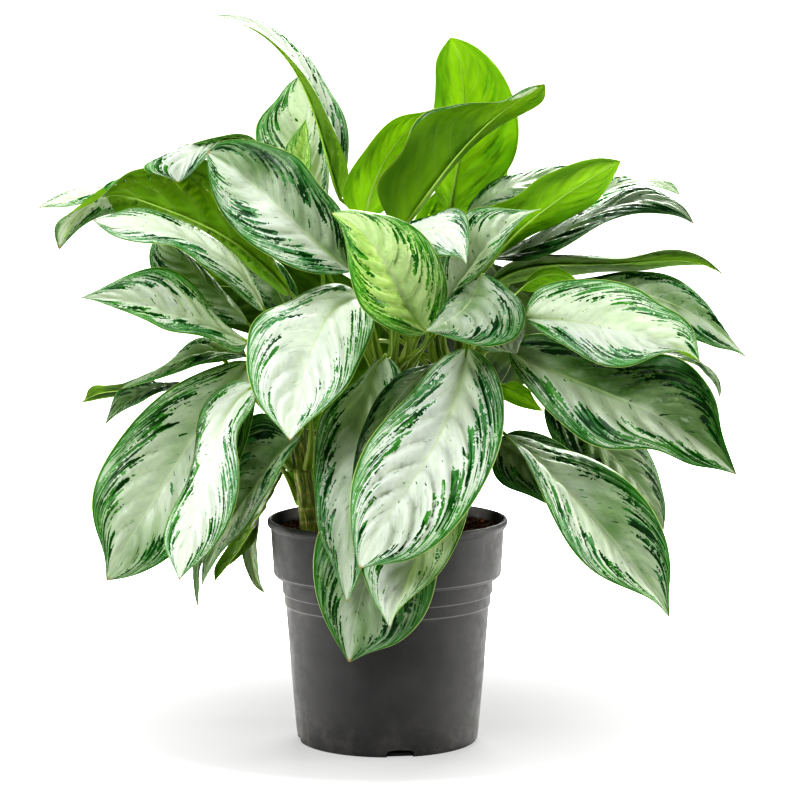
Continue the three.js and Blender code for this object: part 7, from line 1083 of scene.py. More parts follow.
    # stretches of the margin are washed with leaf green
    wash = T.ramp(T.noise(T.join(T.mul(s, 4.2), T.mul(half, 1.1), T.add(seed, 49.0)), 1.0, 2.0, 0.5), 0.36, 0.60)
    up = T.mix(T.mul(T.mul(wash, T.ramp(fine, 0.38, 0.60, 0.45, 1.0)), T.ramp(at, 0.70, 0.97, 0.0, 0.62)), up, (0.055, 0.290, 0.024))
    edge_green = T.mul(T.ramp(at, 0.935, 0.965), 0.85)
    up = T.mix(edge_green, up, (0.022, 0.16, 0.014))
    rib_w = T.ramp(s, 0.0, 0.9, 0.050, 0.016)
    rib = T.ramp(T.math("DIVIDE", at, rib_w), 0.3, 1.0, 1.0, 0.0)
    up = T.mix(T.mul(rib, 0.55), up, T.mix(T.ramp(s, 0.05, 0.5), (0.40, 0.50, 0.20), (0.60, 0.67, 0.45)))
    up = T.mix(T.mul(T.ramp(at, 0.980, 0.992), 0.85), up, (0.50, 0.55, 0.22))
    brown = T.ramp(s, 0.975, 0.993)
    up = T.mix(T.mul(brown, 0.8), up, (0.36, 0.25, 0.09))

    # the underside is plain green with a pale midrib and veins
    n_big = T.noise(T.join(T.mul(s, 3.0), T.mul(t, 2.0), T.add(seed, 21.0)), 1.0, 3.0, 0.55)
    under = T.mix(T.ramp(n_big, 0.3, 0.7), UNDER_A, UNDER_B)
    grain = T.noise(T.join(T.mul(phi, 120.0), T.mul(along, 14.0), seed), 1.0, 2.0, 0.5)
    under = T.mix(T.mul(T.ramp(grain, 0.3, 0.7), 0.18), under, (0.16, 0.36, 0.05))
    vein_u = T.math("ABSOLUTE", T.sub(T.mul(T.math("FRACT", phase), 2.0), 1.0))
    vein_u = T.mul(T.ramp(vein_u, 0.86, 1.0), T.ramp(at, 0.5, 1.0, 1.0, 0.1))
    under = T.mix(T.mul(vein_u, 0.62), under, (0.34, 0.47, 0.17))
    under = T.mix(T.mul(T.ramp(T.math("DIVIDE", at, rib_w), 0.4, 1.6, 1.0, 0.0), 0.6), under, (0.30, 0.46, 0.10))
    under = T.mix(T.ramp(at, 0.97, 0.99), under, (0.40, 0.50, 0.12))
    under = T.mix(T.mul(is_young, 0.6), under, (0.32, 0.52, 0.06))
    # painted shade on the underside: the leaf's painted shade plus its extra underside share
    under = T.mix(T.math("MULTIPLY", T.add(shade, under_shade), 0.85, clamp=True), under, (0.020, 0.060, 0.004))

    # stalks and midribs: yellow-green, paler and streaked towards the stem
    sn = T.noise(T.join(T.mul(s, 6.0), T.mul(t, 3.0), seed), 1.0, 3.0, 0.6)
    stalk = T.mix(T.ramp(sn, 0.3, 0.7), STALK_A, STALK_B)
    stalk = T.mix(T.ramp(s, 0.40, 0.56, 0.92, 0.0), stalk, (0.50, 0.68, 0.20))
    low = T.ramp(s, 0.55, 1.0)
    lines = T.noise(T.join(T.mul(s, 2.5), T.mul(t, 11.0), T.add(seed, 3.0)), 1.0, 2.0, 0.6)
    stalk = T.mix(T.mul(low, T.ramp(lines, 0.42, 0.62)), stalk, (0.46, 0.50, 0.20))

    is_up = T.ramp(side, 0.45, 0.55)
    is_stalk = T.math("GREATER_THAN", side, 1.5)
    colour = T.mix(is_up, under, up)
    colour = T.mix(is_stalk, colour, stalk)
    # painted shade: the whole leaf darkened toward black by its gloom value
    colour = T.mix(gloom, colour, (0.001, 0.006, 0.0005))

    # gloss and relief
    rough_n = T.noise(T.join(T.mul(s, 40.0), T.mul(t, 12.0), seed), 1.0, 3.0, 0.6)
    rough = T.ramp(rough_n, 0.3, 0.7, 0.33, 0.47)
    rough = T.sub(rough, T.mul(T.mul(T.math("MAXIMUM", mark, streak), is_up), 0.05))
    rough = T.add(rough, T.mul(T.sub(1.0, is_up), 0.10))
    skin = T.noise(T.join(T.mul(phi, 260.0), T.mul(along, 60.0), seed), 1.0, 2.0, 0.6)
    height = T.add(T.mul(skin, 0.25), T.mul(soft, 0.9))
    height = T.sub(height, T.mul(vein, 0.5))
    normal = T.bump(height, 0.35, 0.0006)

    front = T.principled(colour, rough, normal, 0.45)
    through = T.nt.nodes.new("ShaderNodeBsdfTranslucent")
    # the colour of light passing through the blade, dimmed by the same painted shade
    glow = T.mix(T.math("MULTIPLY", T.add(shade, under_shade), 0.9, clamp=True), (0.70, 1.00, 0.012), (0.03, 0.08, 0.002))
    lit = T.mix(T.ramp(is_up, 0.0, 1.0, 0.80, 0.03), colour, glow)
    T.put(through.inputs["Color"], lit)
    both_ways = T.nt.nodes.new("ShaderNodeMixShader")
    both_ways.inputs[0].default_value = THROUGH
    T.nt.links.new(front.outputs[0], both_ways.inputs[1])
    T.nt.links.new(through.outputs[0], both_ways.inputs[2])
    return T.finish(both_ways.outputs[0])


SILVER_A = (0.640, 0.668, 0.658)
SILVER_B = (0.730, 0.748, 0.745)
SILVER_GREEN = (0.40, 0.53, 0.31)
DEEP_GREEN = (0.060, 0.165, 0.016)
SHADE_A = (0.080, 0.172, 0.020)
SHADE_B = (0.150, 0.268, 0.050)
DARK_A = (0.002, 0.058, 0.003)
DARK_B = (0.009, 0.122, 0.006)
MID_A = (0.040, 0.205, 0.020)
MID_B = (0.108, 0.345, 0.062)
SAGE_A = (0.058, 0.215, 0.078)
SAGE_B = (0.150, 0.360, 0.165)
UNDER_A = (0.175, 0.36, 0.010)
UNDER_B = (0.33, 0.56, 0.016)
STALK_A = (0.12, 0.24, 0.010)
STALK_B = (0.26, 0.38, 0.030)
THROUGH = 0.36


def pot_material():
    T = Tree("pot_plastic_black")
    p = T.where()
    x, y, z = T.split(p)
    mottled = T.noise(p, 22.0, 4.0, 0.6)
    colour = T.mix(T.ramp(mottled, 0.35, 0.7), (0.028, 0.028, 0.029), (0.040, 0.039, 0.040))
    # faint upright scuffs from stacking, and dust towards the foot; the pale lines on the steps' edges are painted
    # highlights
    turn = T.math("ARCTAN2", y, x)
    scuff = T.noise(T.join(T.mul(turn, 34.0), T.mul(z, 9.0), 0.0), 1.0, 4.0, 0.7)
    scuff = T.ramp(scuff, 0.60, 0.76)
    colour = T.mix(T.mul(scuff, 0.30), colour, (0.11, 0.11, 0.112))
    for edge in (0.1206, 0.1308, 0.1452, 0.1477):  # painted highlight along the moulded edges of the steps
        edge_highlight = T.ramp(T.math("ABSOLUTE", T.sub(z, edge)), 0.0002, 0.0009, 1.0, 0.0)
        colour = T.mix(T.mul(edge_highlight, T.ramp(mottled, 0.3, 0.7, 0.50, 0.90)), colour, (0.150, 0.147, 0.142))
    dust = T.mul(T.ramp(z, 0.0, 0.05, 1.0, 0.0), T.ramp(T.noise(p, 60.0, 4.0, 0.7), 0.4, 0.75))
    colour = T.mix(T.mul(dust, 0.30), colour, (0.16, 0.15, 0.135))
    rough = T.ramp(T.noise(p, 90.0, 3.0, 0.6), 0.3, 0.7, 0.43, 0.56)
    rough = T.add(rough, T.mul(scuff, 0.08))
    fine = T.noise(p, 1400.0, 2.0, 0.6)
    wave = T.noise(p, 35.0, 2.0, 0.5)
    normal = T.bump(T.add(T.mul(fine, 0.10), T.mul(wave, 0.5)), 0.25, 0.0012)
    return T.finish(T.principled(colour, rough, normal, 0.5).outputs[0])


def soil_material():
    T = Tree("coir_potting_mix")
    p = T.where()
    kind = T.split(T.attr("crumb_kind"))[0]
    n = T.noise(p, 160.0, 5.0, 0.7)
    base = T.mix(T.ramp(n, 0.3, 0.7), (0.018, 0.008, 0.005), (0.085, 0.036, 0.018))
    red = T.mix(T.noise(p, 420.0, 3.0, 0.6), (0.075, 0.026, 0.012), (0.30, 0.125, 0.055))
    colour = T.mix(T.ramp(kind, 0.35, 0.9), base, red)
    pale = T.ramp(T.noise(p, 700.0, 3.0, 0.7), 0.66, 0.74)
    colour = T.mix(T.mul(pale, 0.45), colour, (0.26, 0.17, 0.10))
    rough = T.ramp(n, 0.3, 0.7, 0.8, 0.98)
    height = T.add(T.noise(p, 900.0, 4.0, 0.7), T.mul(n, 1.5))
    normal = T.bump(height, 0.8, 0.0012)
    return T.finish(T.principled(colour, rough, normal, 0.25).outputs[0])


def stem_material():
    T = Tree("stem_skin")
    s, t, kind = T.split(T.attr("leaf_place"))
    seed = T.split(T.attr("leaf_kind"))[0]
    n = T.noise(T.join(T.mul(s, 9.0), T.mul(t, 5.0), seed), 1.0, 4.0, 0.6)
    green = T.mix(T.ramp(n, 0.3, 0.7), (0.055, 0.085, 0.010), (0.19, 0.24, 0.035))
    low = T.ramp(s, 0.0, 0.55, 1.0, 0.0)
    colour = T.mix(T.mul(low, 0.45), green, (0.17, 0.14, 0.05))
    streaks = T.noise(T.join(T.mul(s, 4.0), T.mul(t, 16.0), T.add(seed, 8.0)), 1.0, 3.0, 0.65)
    colour = T.mix(T.mul(T.ramp(streaks, 0.52, 0.62), 0.80), colour, (0.46, 0.46, 0.20))
    scar = T.ramp(kind, 0.2, 0.9)
    colour = T.mix(T.mul(scar, 0.6), colour, (0.20, 0.16, 0.07))
    normal = T.bump(T.add(streaks, n), 0.5, 0.0008)
    return T.finish(T.principled(colour, 0.5, normal, 0.4).outputs[0])


def floor_material():
    T = Tree("white_floor")
    n = T.noise(T.where(), 3.0, 2.0, 0.5)
    x, y, z = T.split(T.where())
    y = T.sub(y, 0.09)
    r = T.math("SQRT", T.add(T.mul(x, x), T.mul(y, y)))
    colour = T.mix(n, (0.86, 0.86, 0.86), (0.88, 0.88, 0.88))
    # the broad faint shadow round the pot, which stays soft because the emission fills it
    first = T.nt.nodes.new("ShaderNodeLightPath").outputs["Is Camera Ray"]
    colour = T.mix(T.mul(first, T.ramp(r, 0.24, 0.34, 1.0, 0.0)), colour, FLOOR_DARK)
    p = T.principled(colour, 0.9, None, 0.1)
    p.inputs["Emission Color"].default_value = (1, 1, 1, 1)
    # painted light: the emission, seen only by the camera and weaker near the pot, lifts the floor to white and leaves
    # the painted shadow round the pot
    glow = T.add(T.ramp(r, 0.05, 0.32, GLOW_NEAR, GLOW_MID), T.ramp(r, 0.28, 0.45, 0.0, GLOW_FAR))
    T.put(p.inputs["Emission Strength"], T.mul(first, glow))
    return T.finish(p.outputs[0])


# ---------------------------------------------------------------- mesh helpers
def new_mesh(name, verts, faces, attrs=None, smooth=True, sharp=None):
    """A mesh object at the origin. verts in millimetres."""
    me = bpy.data.meshes.new(name)
    me.from_pydata((np.asarray(verts, float) * MM).tolist(), [], [list(map(int, f)) for f in faces])
    for key, values in (attrs or {}).items():
        a = me.attributes.new(key, "FLOAT_VECTOR", "POINT")
        a.data.foreach_set("vector", np.asarray(values, np.float32).ravel())
    me.polygons.foreach_set("use_smooth", [smooth] * len(me.polygons))
    me.update()
    if sharp is not None:
        me.set_sharp_from_angle(angle=math.radians(sharp))
    ob = bpy.data.objects.new(name, me)
    bpy.context.scene.collection.objects.link(ob)
    return ob


def spline(points, u):
    """A natural cubic spline through evenly spaced points, at u from 0 to 1."""
    P = np.asarray(points, float)
    n = len(P) - 1
    A = np.zeros((n + 1, n + 1))
    B = np.zeros_like(P)
    A[0, 0] = A[n, n] = 1
    for i in range(1, n):
        A[i, i - 1 : i + 2] = (1, 4, 1)
        B[i] = 6 * (P[i - 1] - 2 * P[i] + P[i + 1])
    K = np.linalg.solve(A, B)
    x = np.clip(np.asarray(u, float), 0, 1) * n
    i = np.minimum(x.astype(int), n - 1)
    f = (x - i)[:, None]
    a, b = P[i], P[i + 1]
    return (
        a * (1 - f) + b * f
        + K[i] * ((1 - f) ** 3 - (1 - f)) / 6
        + K[i + 1] * (f**3 - f) / 6
    )


def unit(v):
    return v / np.maximum(np.linalg.norm(v, axis=-1, keepdims=True), 1e-12)


def smooth(x, lo, hi):
    y = np.clip((x - lo) / (hi - lo), 0, 1)
    return y * y * (3 - 2 * y)


def grid_faces(rows, cols, first=0, closed=False, flip=False):
    """Quads of a grid of vertices stored row by row."""
    out = []
    last = cols if closed else cols - 1
    for i in range(rows - 1):
        for j in range(last):
            a, b = first + i * cols + j, first + i * cols + (j + 1) % cols
            c, d = a + cols, b + cols
            out.append((a, c, d, b) if flip else (a, b, d, c))
    return out


def wander(rng, x, terms=5, base=1.0):
    """A smooth one-dimensional wobble between about -1 and 1."""
    y = np.zeros_like(x)
    for k in range(terms):
        y += np.sin(2 * np.pi * (base * (k + 1) * x + rng.random())) * rng.normal() / (k + 1)
    return y / 1.4


def tube(path, radii, sides, first, squash=None, frame_hint=(0.31, -0.94, 0.12)):
    """Vertices, faces, along and around values of a closed tube. squash is a second radius for each point."""
    path = np.asarray(path, float)
    tan = unit(np.gradient(path, axis=0))
    n = np.array(frame_hint, float)
    verts, along, around = [], [], []
    dist = np.r_[0, np.cumsum(np.linalg.norm(np.diff(path, axis=0), axis=1))]
    dist /= dist[-1]
    for i, (p, tg) in enumerate(zip(path, tan)):
        n = unit(n - tg * (n @ tg))
        b = np.cross(tg, n)
        for k in range(sides):
            a = 2 * np.pi * k / sides
            rn, rb = radii[i], (squash[i] if squash is not None else radii[i])
            verts.append(p + n * math.cos(a) * rn + b * math.sin(a) * rb)
            along.append(dist[i])
            around.append(abs(2 * k / sides - 1))
    faces = grid_faces(len(path), sides, first, closed=True, flip=True)
    m = len(path)
    verts.append(path[0] - tan[0] * radii[0] * 0.4)
    verts.append(path[-1] + tan[-1] * radii[-1] * 0.4)
    along += [0.0, 1.0]
    around += [0.5, 0.5]
    c0, c1 = first + m * sides, first + m * sides + 1
    for k in range(sides):
        faces.append((c0, first + k, first + (k + 1) % sides))
        o = first + (m - 1) * sides
        faces.append((c1, o + (k + 1) % sides, o + k))
    return verts, faces, along, around


# ---------------------------------------------------------------- leaves
HALF_COLS = 13


def leaf(name, up, young, turn, amount, shade, lean, under_shade, gloom, seed, relief, stalk, stations):
    rng = np.random.default_rng(int(seed * 10))
    st = np.asarray(stations, float).reshape(13, 3, 3)
    n_s = 66
    u = np.linspace(0, 1, n_s)
    s = 0.0015 + 0.9945 * (u + 0.10 * np.sin(2 * np.pi * u) * -1 * 0.5)
    s = np.clip(s, 0.0015, 0.996)
    E1, M, E2 = (spline(st[:, k], s) for k in range(3))
    length = np.linalg.norm(np.diff(M, axis=0), axis=1).sum()
    tan = unit(np.gradient(M, axis=0))
    # round the base where the blade meets its stalk
    base_w = max(np.linalg.norm(st[0, 0] - st[0, 1]), np.linalg.norm(st[0, 2] - st[0, 1]))
    sb = float(np.clip(base_w * 1.15 / length, 0.02, 0.16))
    close = np.where(s < sb, np.sqrt(np.clip(1 - (1 - s / sb) ** 2, 0, 1)), 1.0)[:, None]
    cols = np.r_[-(np.linspace(1, 0, HALF_COLS + 1)[:-1] ** 0.85), 0, np.linspace(0, 1, HALF_COLS + 1)[1:] ** 0.85]
    A, B = M + (E1 - M) * close, M + (E2 - M) * close
    nA = unit(np.cross(tan, M - A)) * up
    nB = unit(np.cross(tan, B - M)) * up
    for nn in (nA, nB):  # the pinched ends have no reliable normal of their own
        nn[0] = nn[1]
    wA = np.linalg.norm(M - A, axis=1, keepdims=True)
    wB = np.linalg.norm(B - M, axis=1, keepdims=True)
    nM = unit(nA + nB)
    h = np.abs(cols)
    seg_seed = seed * 0.37
    ev = rng.uniform(0.45, 1.25, (2, 24))
    wave = [wander(rng, s, 4, 1.1) for _ in range(2)]
    S, P = np.meshgrid(s, cols, indexing="ij")
    V = np.zeros((n_s, len(cols), 3))
    for j, t in enumerate(cols):
        a = abs(t)
        E, nn, w, which = (A, nA, wA, 0) if t < 0 else (B, nB, wB, 1)
        nrm = unit(nn * smooth(a, 0, 0.25) + nM * (1 - smooth(a, 0, 0.25)))
        base = M + (E - M) * a
        bulge = 4 * a * (1 - a) * 0.055 * w[:, 0] * BULGE
        phase = VEINS * (s - sweep(a)) + seg_seed
        q = np.abs(np.sin(np.pi * (phase % 1.0))) ** 0.75
        k = np.floor(phase).astype(int) % 24
        f = phase - np.floor(phase)
        strength = ev[which][k]
        env = smooth(a, 0.02, 0.22) * (1 - smooth(a, 0.55, 0.98)) * smooth(s, 0.0, 0.12) * (1 - smooth(s, 0.80, 0.97))
        quilt = relief * RELIEF * np.minimum(w[:, 0] / 42, 1.2) * env * (q - 0.45) * strength
        ripple = wave[which] * a**2.2 * 1.2 * RIPPLE * smooth(s, 0.05, 0.25) * (1 - smooth(s, 0.8, 1.0))
        V[:, j] = base + nrm * (bulge + quilt + ripple)[:, None]
    # normals of the sheet
    dS = np.gradient(V, axis=0)
    dT = np.gradient(V, axis=1)
    N = unit(np.cross(dS, dT)) * up
    N[0] = N[1]
    thick = 0.28 * (0.45 + 0.55 * (1 - smooth(np.abs(P), 0.9, 1.0))) * (1 - 0.5 * smooth(S, 0.9, 1.0))
    top = V + N * thick[..., None]
    bot = V - N * thick[..., None]
    nc = len(cols)
    verts = list(top.reshape(-1, 3)) + list(bot.reshape(-1, 3))
    size = n_s * nc
    # cross(dS, dT) * up is the upper face's normal
    faces = grid_faces(n_s, nc, 0, flip=up > 0)
    faces += grid_faces(n_s, nc, size, flip=up < 0)
    ring = (
        [(0, j) for j in range(nc)]
        + [(i, nc - 1) for i in range(1, n_s)]
        + [(n_s - 1, j) for j in range(nc - 2, -1, -1)]
        + [(i, 0) for i in range(n_s - 2, 0, -1)]
    )
    for k in range(len(ring)):
        a, b = ring[k], ring[(k + 1) % len(ring)]
        ia, ib = a[0] * nc + a[1], b[0] * nc + b[1]
        quad = (ia, ib, ib + size, ia + size)
        faces.append(quad if up > 0 else quad[::-1])
    if turn > 0:
        turned = np.repeat((s > turn).astype(float)[:, None], nc, 1)
    else:  # only along the higher margin, where it curls over, do the faces swap colours, from there on and wider towards the tip
        high = -1 if A[:, 2].sum() > B[:, 2].sum() else 1
        width = 0.08 * smooth(S, -turn, 0.15 - turn) + smooth(S, 0.74, 0.90)
        turned = np.clip(0.5 + 6.0 * (P * high - 1 + width), 0, 1) * (S < 0.955)
    side_top = 1 - turned
    place = np.concatenate([
        np.stack([S, P, side_top], -1).reshape(-1, 3),
        np.stack([S, P, 1 - side_top], -1).reshape(-1, 3),
    ])

    # midrib under the blade, running on as the stalk
    cp = np.asarray(stalk, float)
    n_r = 26
    sr = np.linspace(0.955, 0.0, n_r)
    Mr = spline(st[:, 1], np.clip(sr, 0.0015, 0.996))
    under = np.stack([np.interp(sr, s, -N[:, HALF_COLS, k]) for k in range(3)], 1)
    rr = 0.28 + 1.30 * (1 - sr) ** 1.6 * min(1.0, length / 150)
    ridge = Mr + unit(under) * ((rr * 1.0 + 0.1) * smooth(sr, -0.01, 0.07))[:, None]
    n_p = 30
    v = np.linspace(0, 1, n_p)[1:, None]
    stem_path = (1 - v) ** 3 * cp[0] + 3 * (1 - v) ** 2 * v * cp[1] + 3 * (1 - v) * v**2 * cp[2] + v**3 * cp[3]
    end_dir = unit(stem_path[-1] - stem_path[-2])
    path = np.concatenate([ridge, stem_path, [stem_path[-1] + end_dir * 2.2]])
    vv = np.r_[v[:, 0], 1.05]
    scale = min(1.0, 0.72 + length / 600)
    r_st = (rr[-1] + (2.25 * scale - rr[-1]) * vv**0.8) + 0.9 * smooth(vv, 0.62, 1.0)
    radii = np.r_[rr, r_st]
    wide = np.r_[rr, r_st * (1 + 0.45 * smooth(vv, 0.55, 1.0))]
    v2, f2, along, around = tube(path, radii, 10, len(verts), squash=wide)
    verts += v2
    faces += f2
    place = np.concatenate([place, np.stack([along, around, np.full(len(along), 2.0)], 1)])
    # the fraction of the third value carries the leaf's painted shade
    kind = np.tile([seed, amount, young + 0.4 * shade], (len(verts), 1))
    # painted shadow between the halves, extra painted shade on the underside, painted darkening of the whole leaf
    more = np.tile([lean, under_shade, gloom], (len(verts), 1))
    ob = new_mesh("look_" + name, verts, faces, {"leaf_place": place, "leaf_kind": kind, "leaf_more": more})
    ob.data.materials.append(LEAF)
    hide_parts(name)
    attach(ob, "root")
    return ob


BULGE = 1.0
RELIEF = 8.5
RIPPLE = 1.0
FLOOR_DARK = (0.08, 0.08, 0.08)
GLOW_NEAR = 0.32
GLOW_MID = 0.47
GLOW_FAR = 0.50


# ---------------------------------------------------------------- pot
def rounded(profile, radius, steps=4):
    """The profile with each corner turned into a small curve."""
    P = [np.array(p, float) for p in profile]
    out = [P[0]]
    for a, b, c in zip(P, P[1:], P[2:]):
        la, lc = np.linalg.norm(a - b), np.linalg.norm(c - b)
        r = min(radius, 0.42 * la, 0.42 * lc)
        p, q = b + (a - b) / la * r, b + (c - b) / lc * r
        for k in range(steps + 1):
            v = k / steps
            out.append((1 - v) ** 2 * p + 2 * v * (1 - v) * b + v * v * q)
    out.append(P[-1])
    return out


def lathe(profile, seg):
    verts, faces, rows = [], [], []
    for r, z in profile:
        if r < 1e-6:
            rows.append([len(verts)])
            verts.append((0, 0, z))
        else:
            rows.append(list(range(len(verts), len(verts) + seg)))
            for k in range(seg):
                a = 2 * math.pi * k / seg
                verts.append((r * math.cos(a), r * math.sin(a), z))
    for lo, hi in zip(rows, rows[1:]):
        for k in range(seg):
            m = (k + 1) % seg
            if len(lo) == 1:
                faces.append((lo[0], hi[m], hi[k]))
            elif len(hi) == 1:
                faces.append((lo[k], lo[m], hi[0]))
            else:
                faces.append((lo[k], lo[m], hi[m], hi[k]))
    return verts, faces


def pot():
    profile = rounded(POT_OUT[:-1] + [POT_OUT[-1]] + POT_IN, 0.7)
    verts, faces = lathe(profile, SEG)
    ob = new_mesh("look_pot", verts, faces)
    cut_v, cut_f = [], []
    for i in range(SLOT_N):
        az = math.radians(SLOT_AZ + 360 * i / SLOT_N)
        c, s_ = math.cos(az), math.sin(az)
        o = len(cut_v)
        prof = []
        for k in range(7):  # a slot with a rounded top
            prof.append((SLOT_W / 2 * math.cos(math.pi * k / 6), SLOT_H - 2.2 + 2.2 * math.sin(math.pi * k / 6)))
        prof = [(SLOT_W / 2, -2.0)] + prof + [(-SLOT_W / 2, -2.0)]
        for x in (72.0, 86.0):
            for y, z in prof:
                cut_v.append((x * c - y * s_, x * s_ + y * c, z))
        n = len(prof)
        cut_f.append([o + k for k in range(n)][::-1])
        cut_f.append([o + n + k for k in range(n)])
        for k in range(n):
            m = (k + 1) % n
            cut_f.append([o + k, o + m, o + n + m, o + n + k])
    cutter = new_mesh("slot_cutter", cut_v, cut_f, smooth=False)
    mod = ob.modifiers.new("slots", "BOOLEAN")
    mod.operation = "DIFFERENCE"
    mod.solver = "EXACT"
    mod.object = cutter
    dg = bpy.context.evaluated_depsgraph_get()
    made = bpy.data.meshes.new_from_object(ob.evaluated_get(dg))
    ob.modifiers.clear()
    ob.data = made
    bpy.data.objects.remove(cutter)
    made.polygons.foreach_set("use_smooth", [True] * len(made.polygons))
    made.set_sharp_from_angle(angle=math.radians(38))
    made.materials.clear()
    made.materials.append(pot_material())
    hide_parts("pot")
    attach(ob, "root")
    return ob


# ---------------------------------------------------------------- potting mix
def hash_noise(x, y, scale, seed):
    """Smooth two-dimensional value noise in plain numpy."""
    rng = np.random.default_rng(seed)
    table = rng.random((128, 128))
    X, Y = x / scale + 300, y / scale + 300
    i, j = np.floor(X).astype(int), np.floor(Y).astype(int)
    fx, fy = X - i, Y - j
    fx, fy = fx * fx * (3 - 2 * fx), fy * fy * (3 - 2 * fy)
    g = lambda a, b: table[a % 128, b % 128]
    return (g(i, j) * (1 - fx) + g(i + 1, j) * fx) * (1 - fy) + (g(i, j + 1) * (1 - fx) + g(i + 1, j + 1) * fx) * fy - 0.5


def soil_height(x, y):
    return (
        SOIL_Z + 0.6
        + 3.0 * hash_noise(x, y, 26, 1) + 2.6 * hash_noise(x, y, 11, 2)
        + 2.2 * hash_noise(x, y, 5, 3) + 1.5 * hash_noise(x, y, 2.2, 4)
    )


def soil():
    seg, rng = (220), np.random.default_rng(11)
    rings = [(r, z) for r, z in SOIL_SIDE[1:]]
    verts, rows = [(0, 0, SOIL_SIDE[0][1])], []
    ang = np.arange(seg) * 2 * math.pi / seg
    for r, z in rings:
        rows.append(list(range(len(verts), len(verts) + seg)))
        verts += [(r * math.cos(a), r * math.sin(a), z) for a in ang]
    for r in np.linspace(96.6, 1.2, 80):
        rows.append(list(range(len(verts), len(verts) + seg)))
        x, y = r * np.cos(ang), r * np.sin(ang)
        z = soil_height(x, y) - (1.0 if r > 95 else 0)
        verts += list(zip(x, y, z))
    top = len(verts)
    verts.append((0, 0, float(soil_height(np.array([0.0]), np.array([0.0]))[0])))
    faces = [(0, rows[0][(k + 1) % seg], rows[0][k]) for k in range(seg)]
    for lo, hi in zip(rows, rows[1:]):
        faces += [(lo[k], lo[(k + 1) % seg], hi[(k + 1) % seg], hi[k]) for k in range(seg)]
    faces += [(rows[-1][k], rows[-1][(k + 1) % seg], top) for k in range(seg)]
    kinds = [0.0] * len(verts)

    # chips and crumbs lying on it
    octa = np.array([(1, 0, 0), (-1, 0, 0), (0, 1, 0), (0, -1, 0), (0, 0, 1), (0, 0, -1)], float)
    octa_f = [(0, 2, 4), (2, 1, 4), (1, 3, 4), (3, 0, 4), (2, 0, 5), (1, 2, 5), (3, 1, 5), (0, 3, 5)]
    for _ in range(1500):
        r, a = 94 * math.sqrt(rng.random()), rng.random() * 2 * math.pi
        x, y = r * math.cos(a), r * math.sin(a)
        size = rng.uniform(0.6, 2.6) * rng.uniform(0.6, 1.2, 3) * (1.6 if rng.random() < 0.12 else 1)
        q = rng.normal(size=(3, 3))
        q, _r = np.linalg.qr(q)
        if np.linalg.det(q) < 0:
            q[0] *= -1
        o = len(verts)
        z = float(soil_height(np.array([x]), np.array([y]))[0]) + size.mean() * 0.35
        if r + size.max() > 97:
            continue
        pts = (octa * size * rng.uniform(0.75, 1.2, (6, 1))) @ q.T + (x, y, z)
        verts += list(pts)
        faces += [tuple(o + k for k in f) for f in octa_f]
        kinds += [rng.uniform(0, 1) ** 1.5] * 6
    # coir fibres
    for _ in range(520):
        r, a = 92 * math.sqrt(rng.random()), rng.random() * 2 * math.pi
        x, y = r * math.cos(a), r * math.sin(a)
        d = rng.random() * 2 * math.pi
        step, bend = rng.uniform(1.0, 2.6), rng.normal(0, 0.28)
        pts = []
        lift = rng.uniform(0.0, 2.2)
        n = int(rng.integers(5, 10))
        for k in range(n):
            if math.hypot(x, y) > 95:
                break
            h = float(soil_height(np.array([x]), np.array([y]))[0])
            pts.append((x, y, h + 0.3 + lift * math.sin(math.pi * k / (n - 1))))
            d += bend + rng.normal(0, 0.15)
            x, y = x + step * math.cos(d), y + step * math.sin(d)
        if len(pts) < 4:
            continue
        rad = np.full(len(pts), rng.uniform(0.16, 0.42))
        rad[0] *= 0.5
        rad[-1] *= 0.4
        v2, f2, *_x = tube(pts, rad, 4, len(verts), frame_hint=(0.1, 0.2, 0.97))
        verts += v2
        faces += f2
        kinds += [rng.uniform(0.5, 1.0)] * len(v2)
    ob = new_mesh("look_soil", verts, faces, {"crumb_kind": [(k, 0, 0) for k in kinds]}, sharp=60)
    ob.data.materials.append(soil_material())
    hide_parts("soil")
    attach(ob, "root")
    return ob


# ---------------------------------------------------------------- stems
def stem(name, r0, r1, points):
    rng = np.random.default_rng(sum(map(ord, name)))
    P = np.array(points, float)
    n, sides = 120, 28
    u = np.linspace(0, 1, n)
    path = spline(P, u)
    length = np.linalg.norm(np.diff(path, axis=0), axis=1).sum()
    r = r0 + (r1 - r0) * u
    scar = np.zeros(n)
    pos = 0.06
    while pos < 1:
        d = (u - pos) * length
        ring = np.exp(-((d / 0.9) ** 2))
        scar = np.maximum(scar, ring)
        r = r + 0.55 * ring - 0.35 * np.exp(-(((d - 2.2) / 1.2) ** 2))
        pos += rng.uniform(9, 17) / length
    r[-1] *= 0.55
    r[-2] *= 0.86
    tan = unit(np.gradient(path, axis=0))
    verts, place = [], []
    nrm = np.array((0.31, -0.94, 0.12))
    for i in range(n):
        nrm = unit(nrm - tan[i] * (nrm @ tan[i]))
        b = np.cross(tan[i], nrm)
        for k in range(sides):
            a = 2 * math.pi * k / sides
            rr = r[i] * (1 + 0.02 * math.sin(3 * a + 5 * u[i]))
            verts.append(path[i] + (nrm * math.cos(a) + b * math.sin(a)) * rr)
            place.append((u[i] * length / 100, abs(2 * k / sides - 1), scar[i]))
    faces = grid_faces(n, sides, 0, closed=True, flip=True)
    verts += [path[0], path[-1] + tan[-1] * 2.0]
    place += [(0, 0.5, 0), (length / 100, 0.5, 0)]
    for k in range(sides):
        faces.append((n * sides, k, (k + 1) % sides))
        o = (n - 1) * sides
        faces.append((n * sides + 1, o + (k + 1) % sides, o + k))
    seed = float(rng.uniform(1, 50))
    ob = new_mesh("look_" + name, verts, faces, {"leaf_place": place, "leaf_kind": [(seed, 0, 0)] * len(verts)})
    ob.data.materials.append(STEM)
    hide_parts(name)
    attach(ob, "root")
    return ob


# ---------------------------------------------------------------- scene
def look_at(ob, target):
    from mathutils import Vector

    ob.rotation_euler = (Vector(target) - ob.location).to_track_quat("-Z", "Y").to_euler()


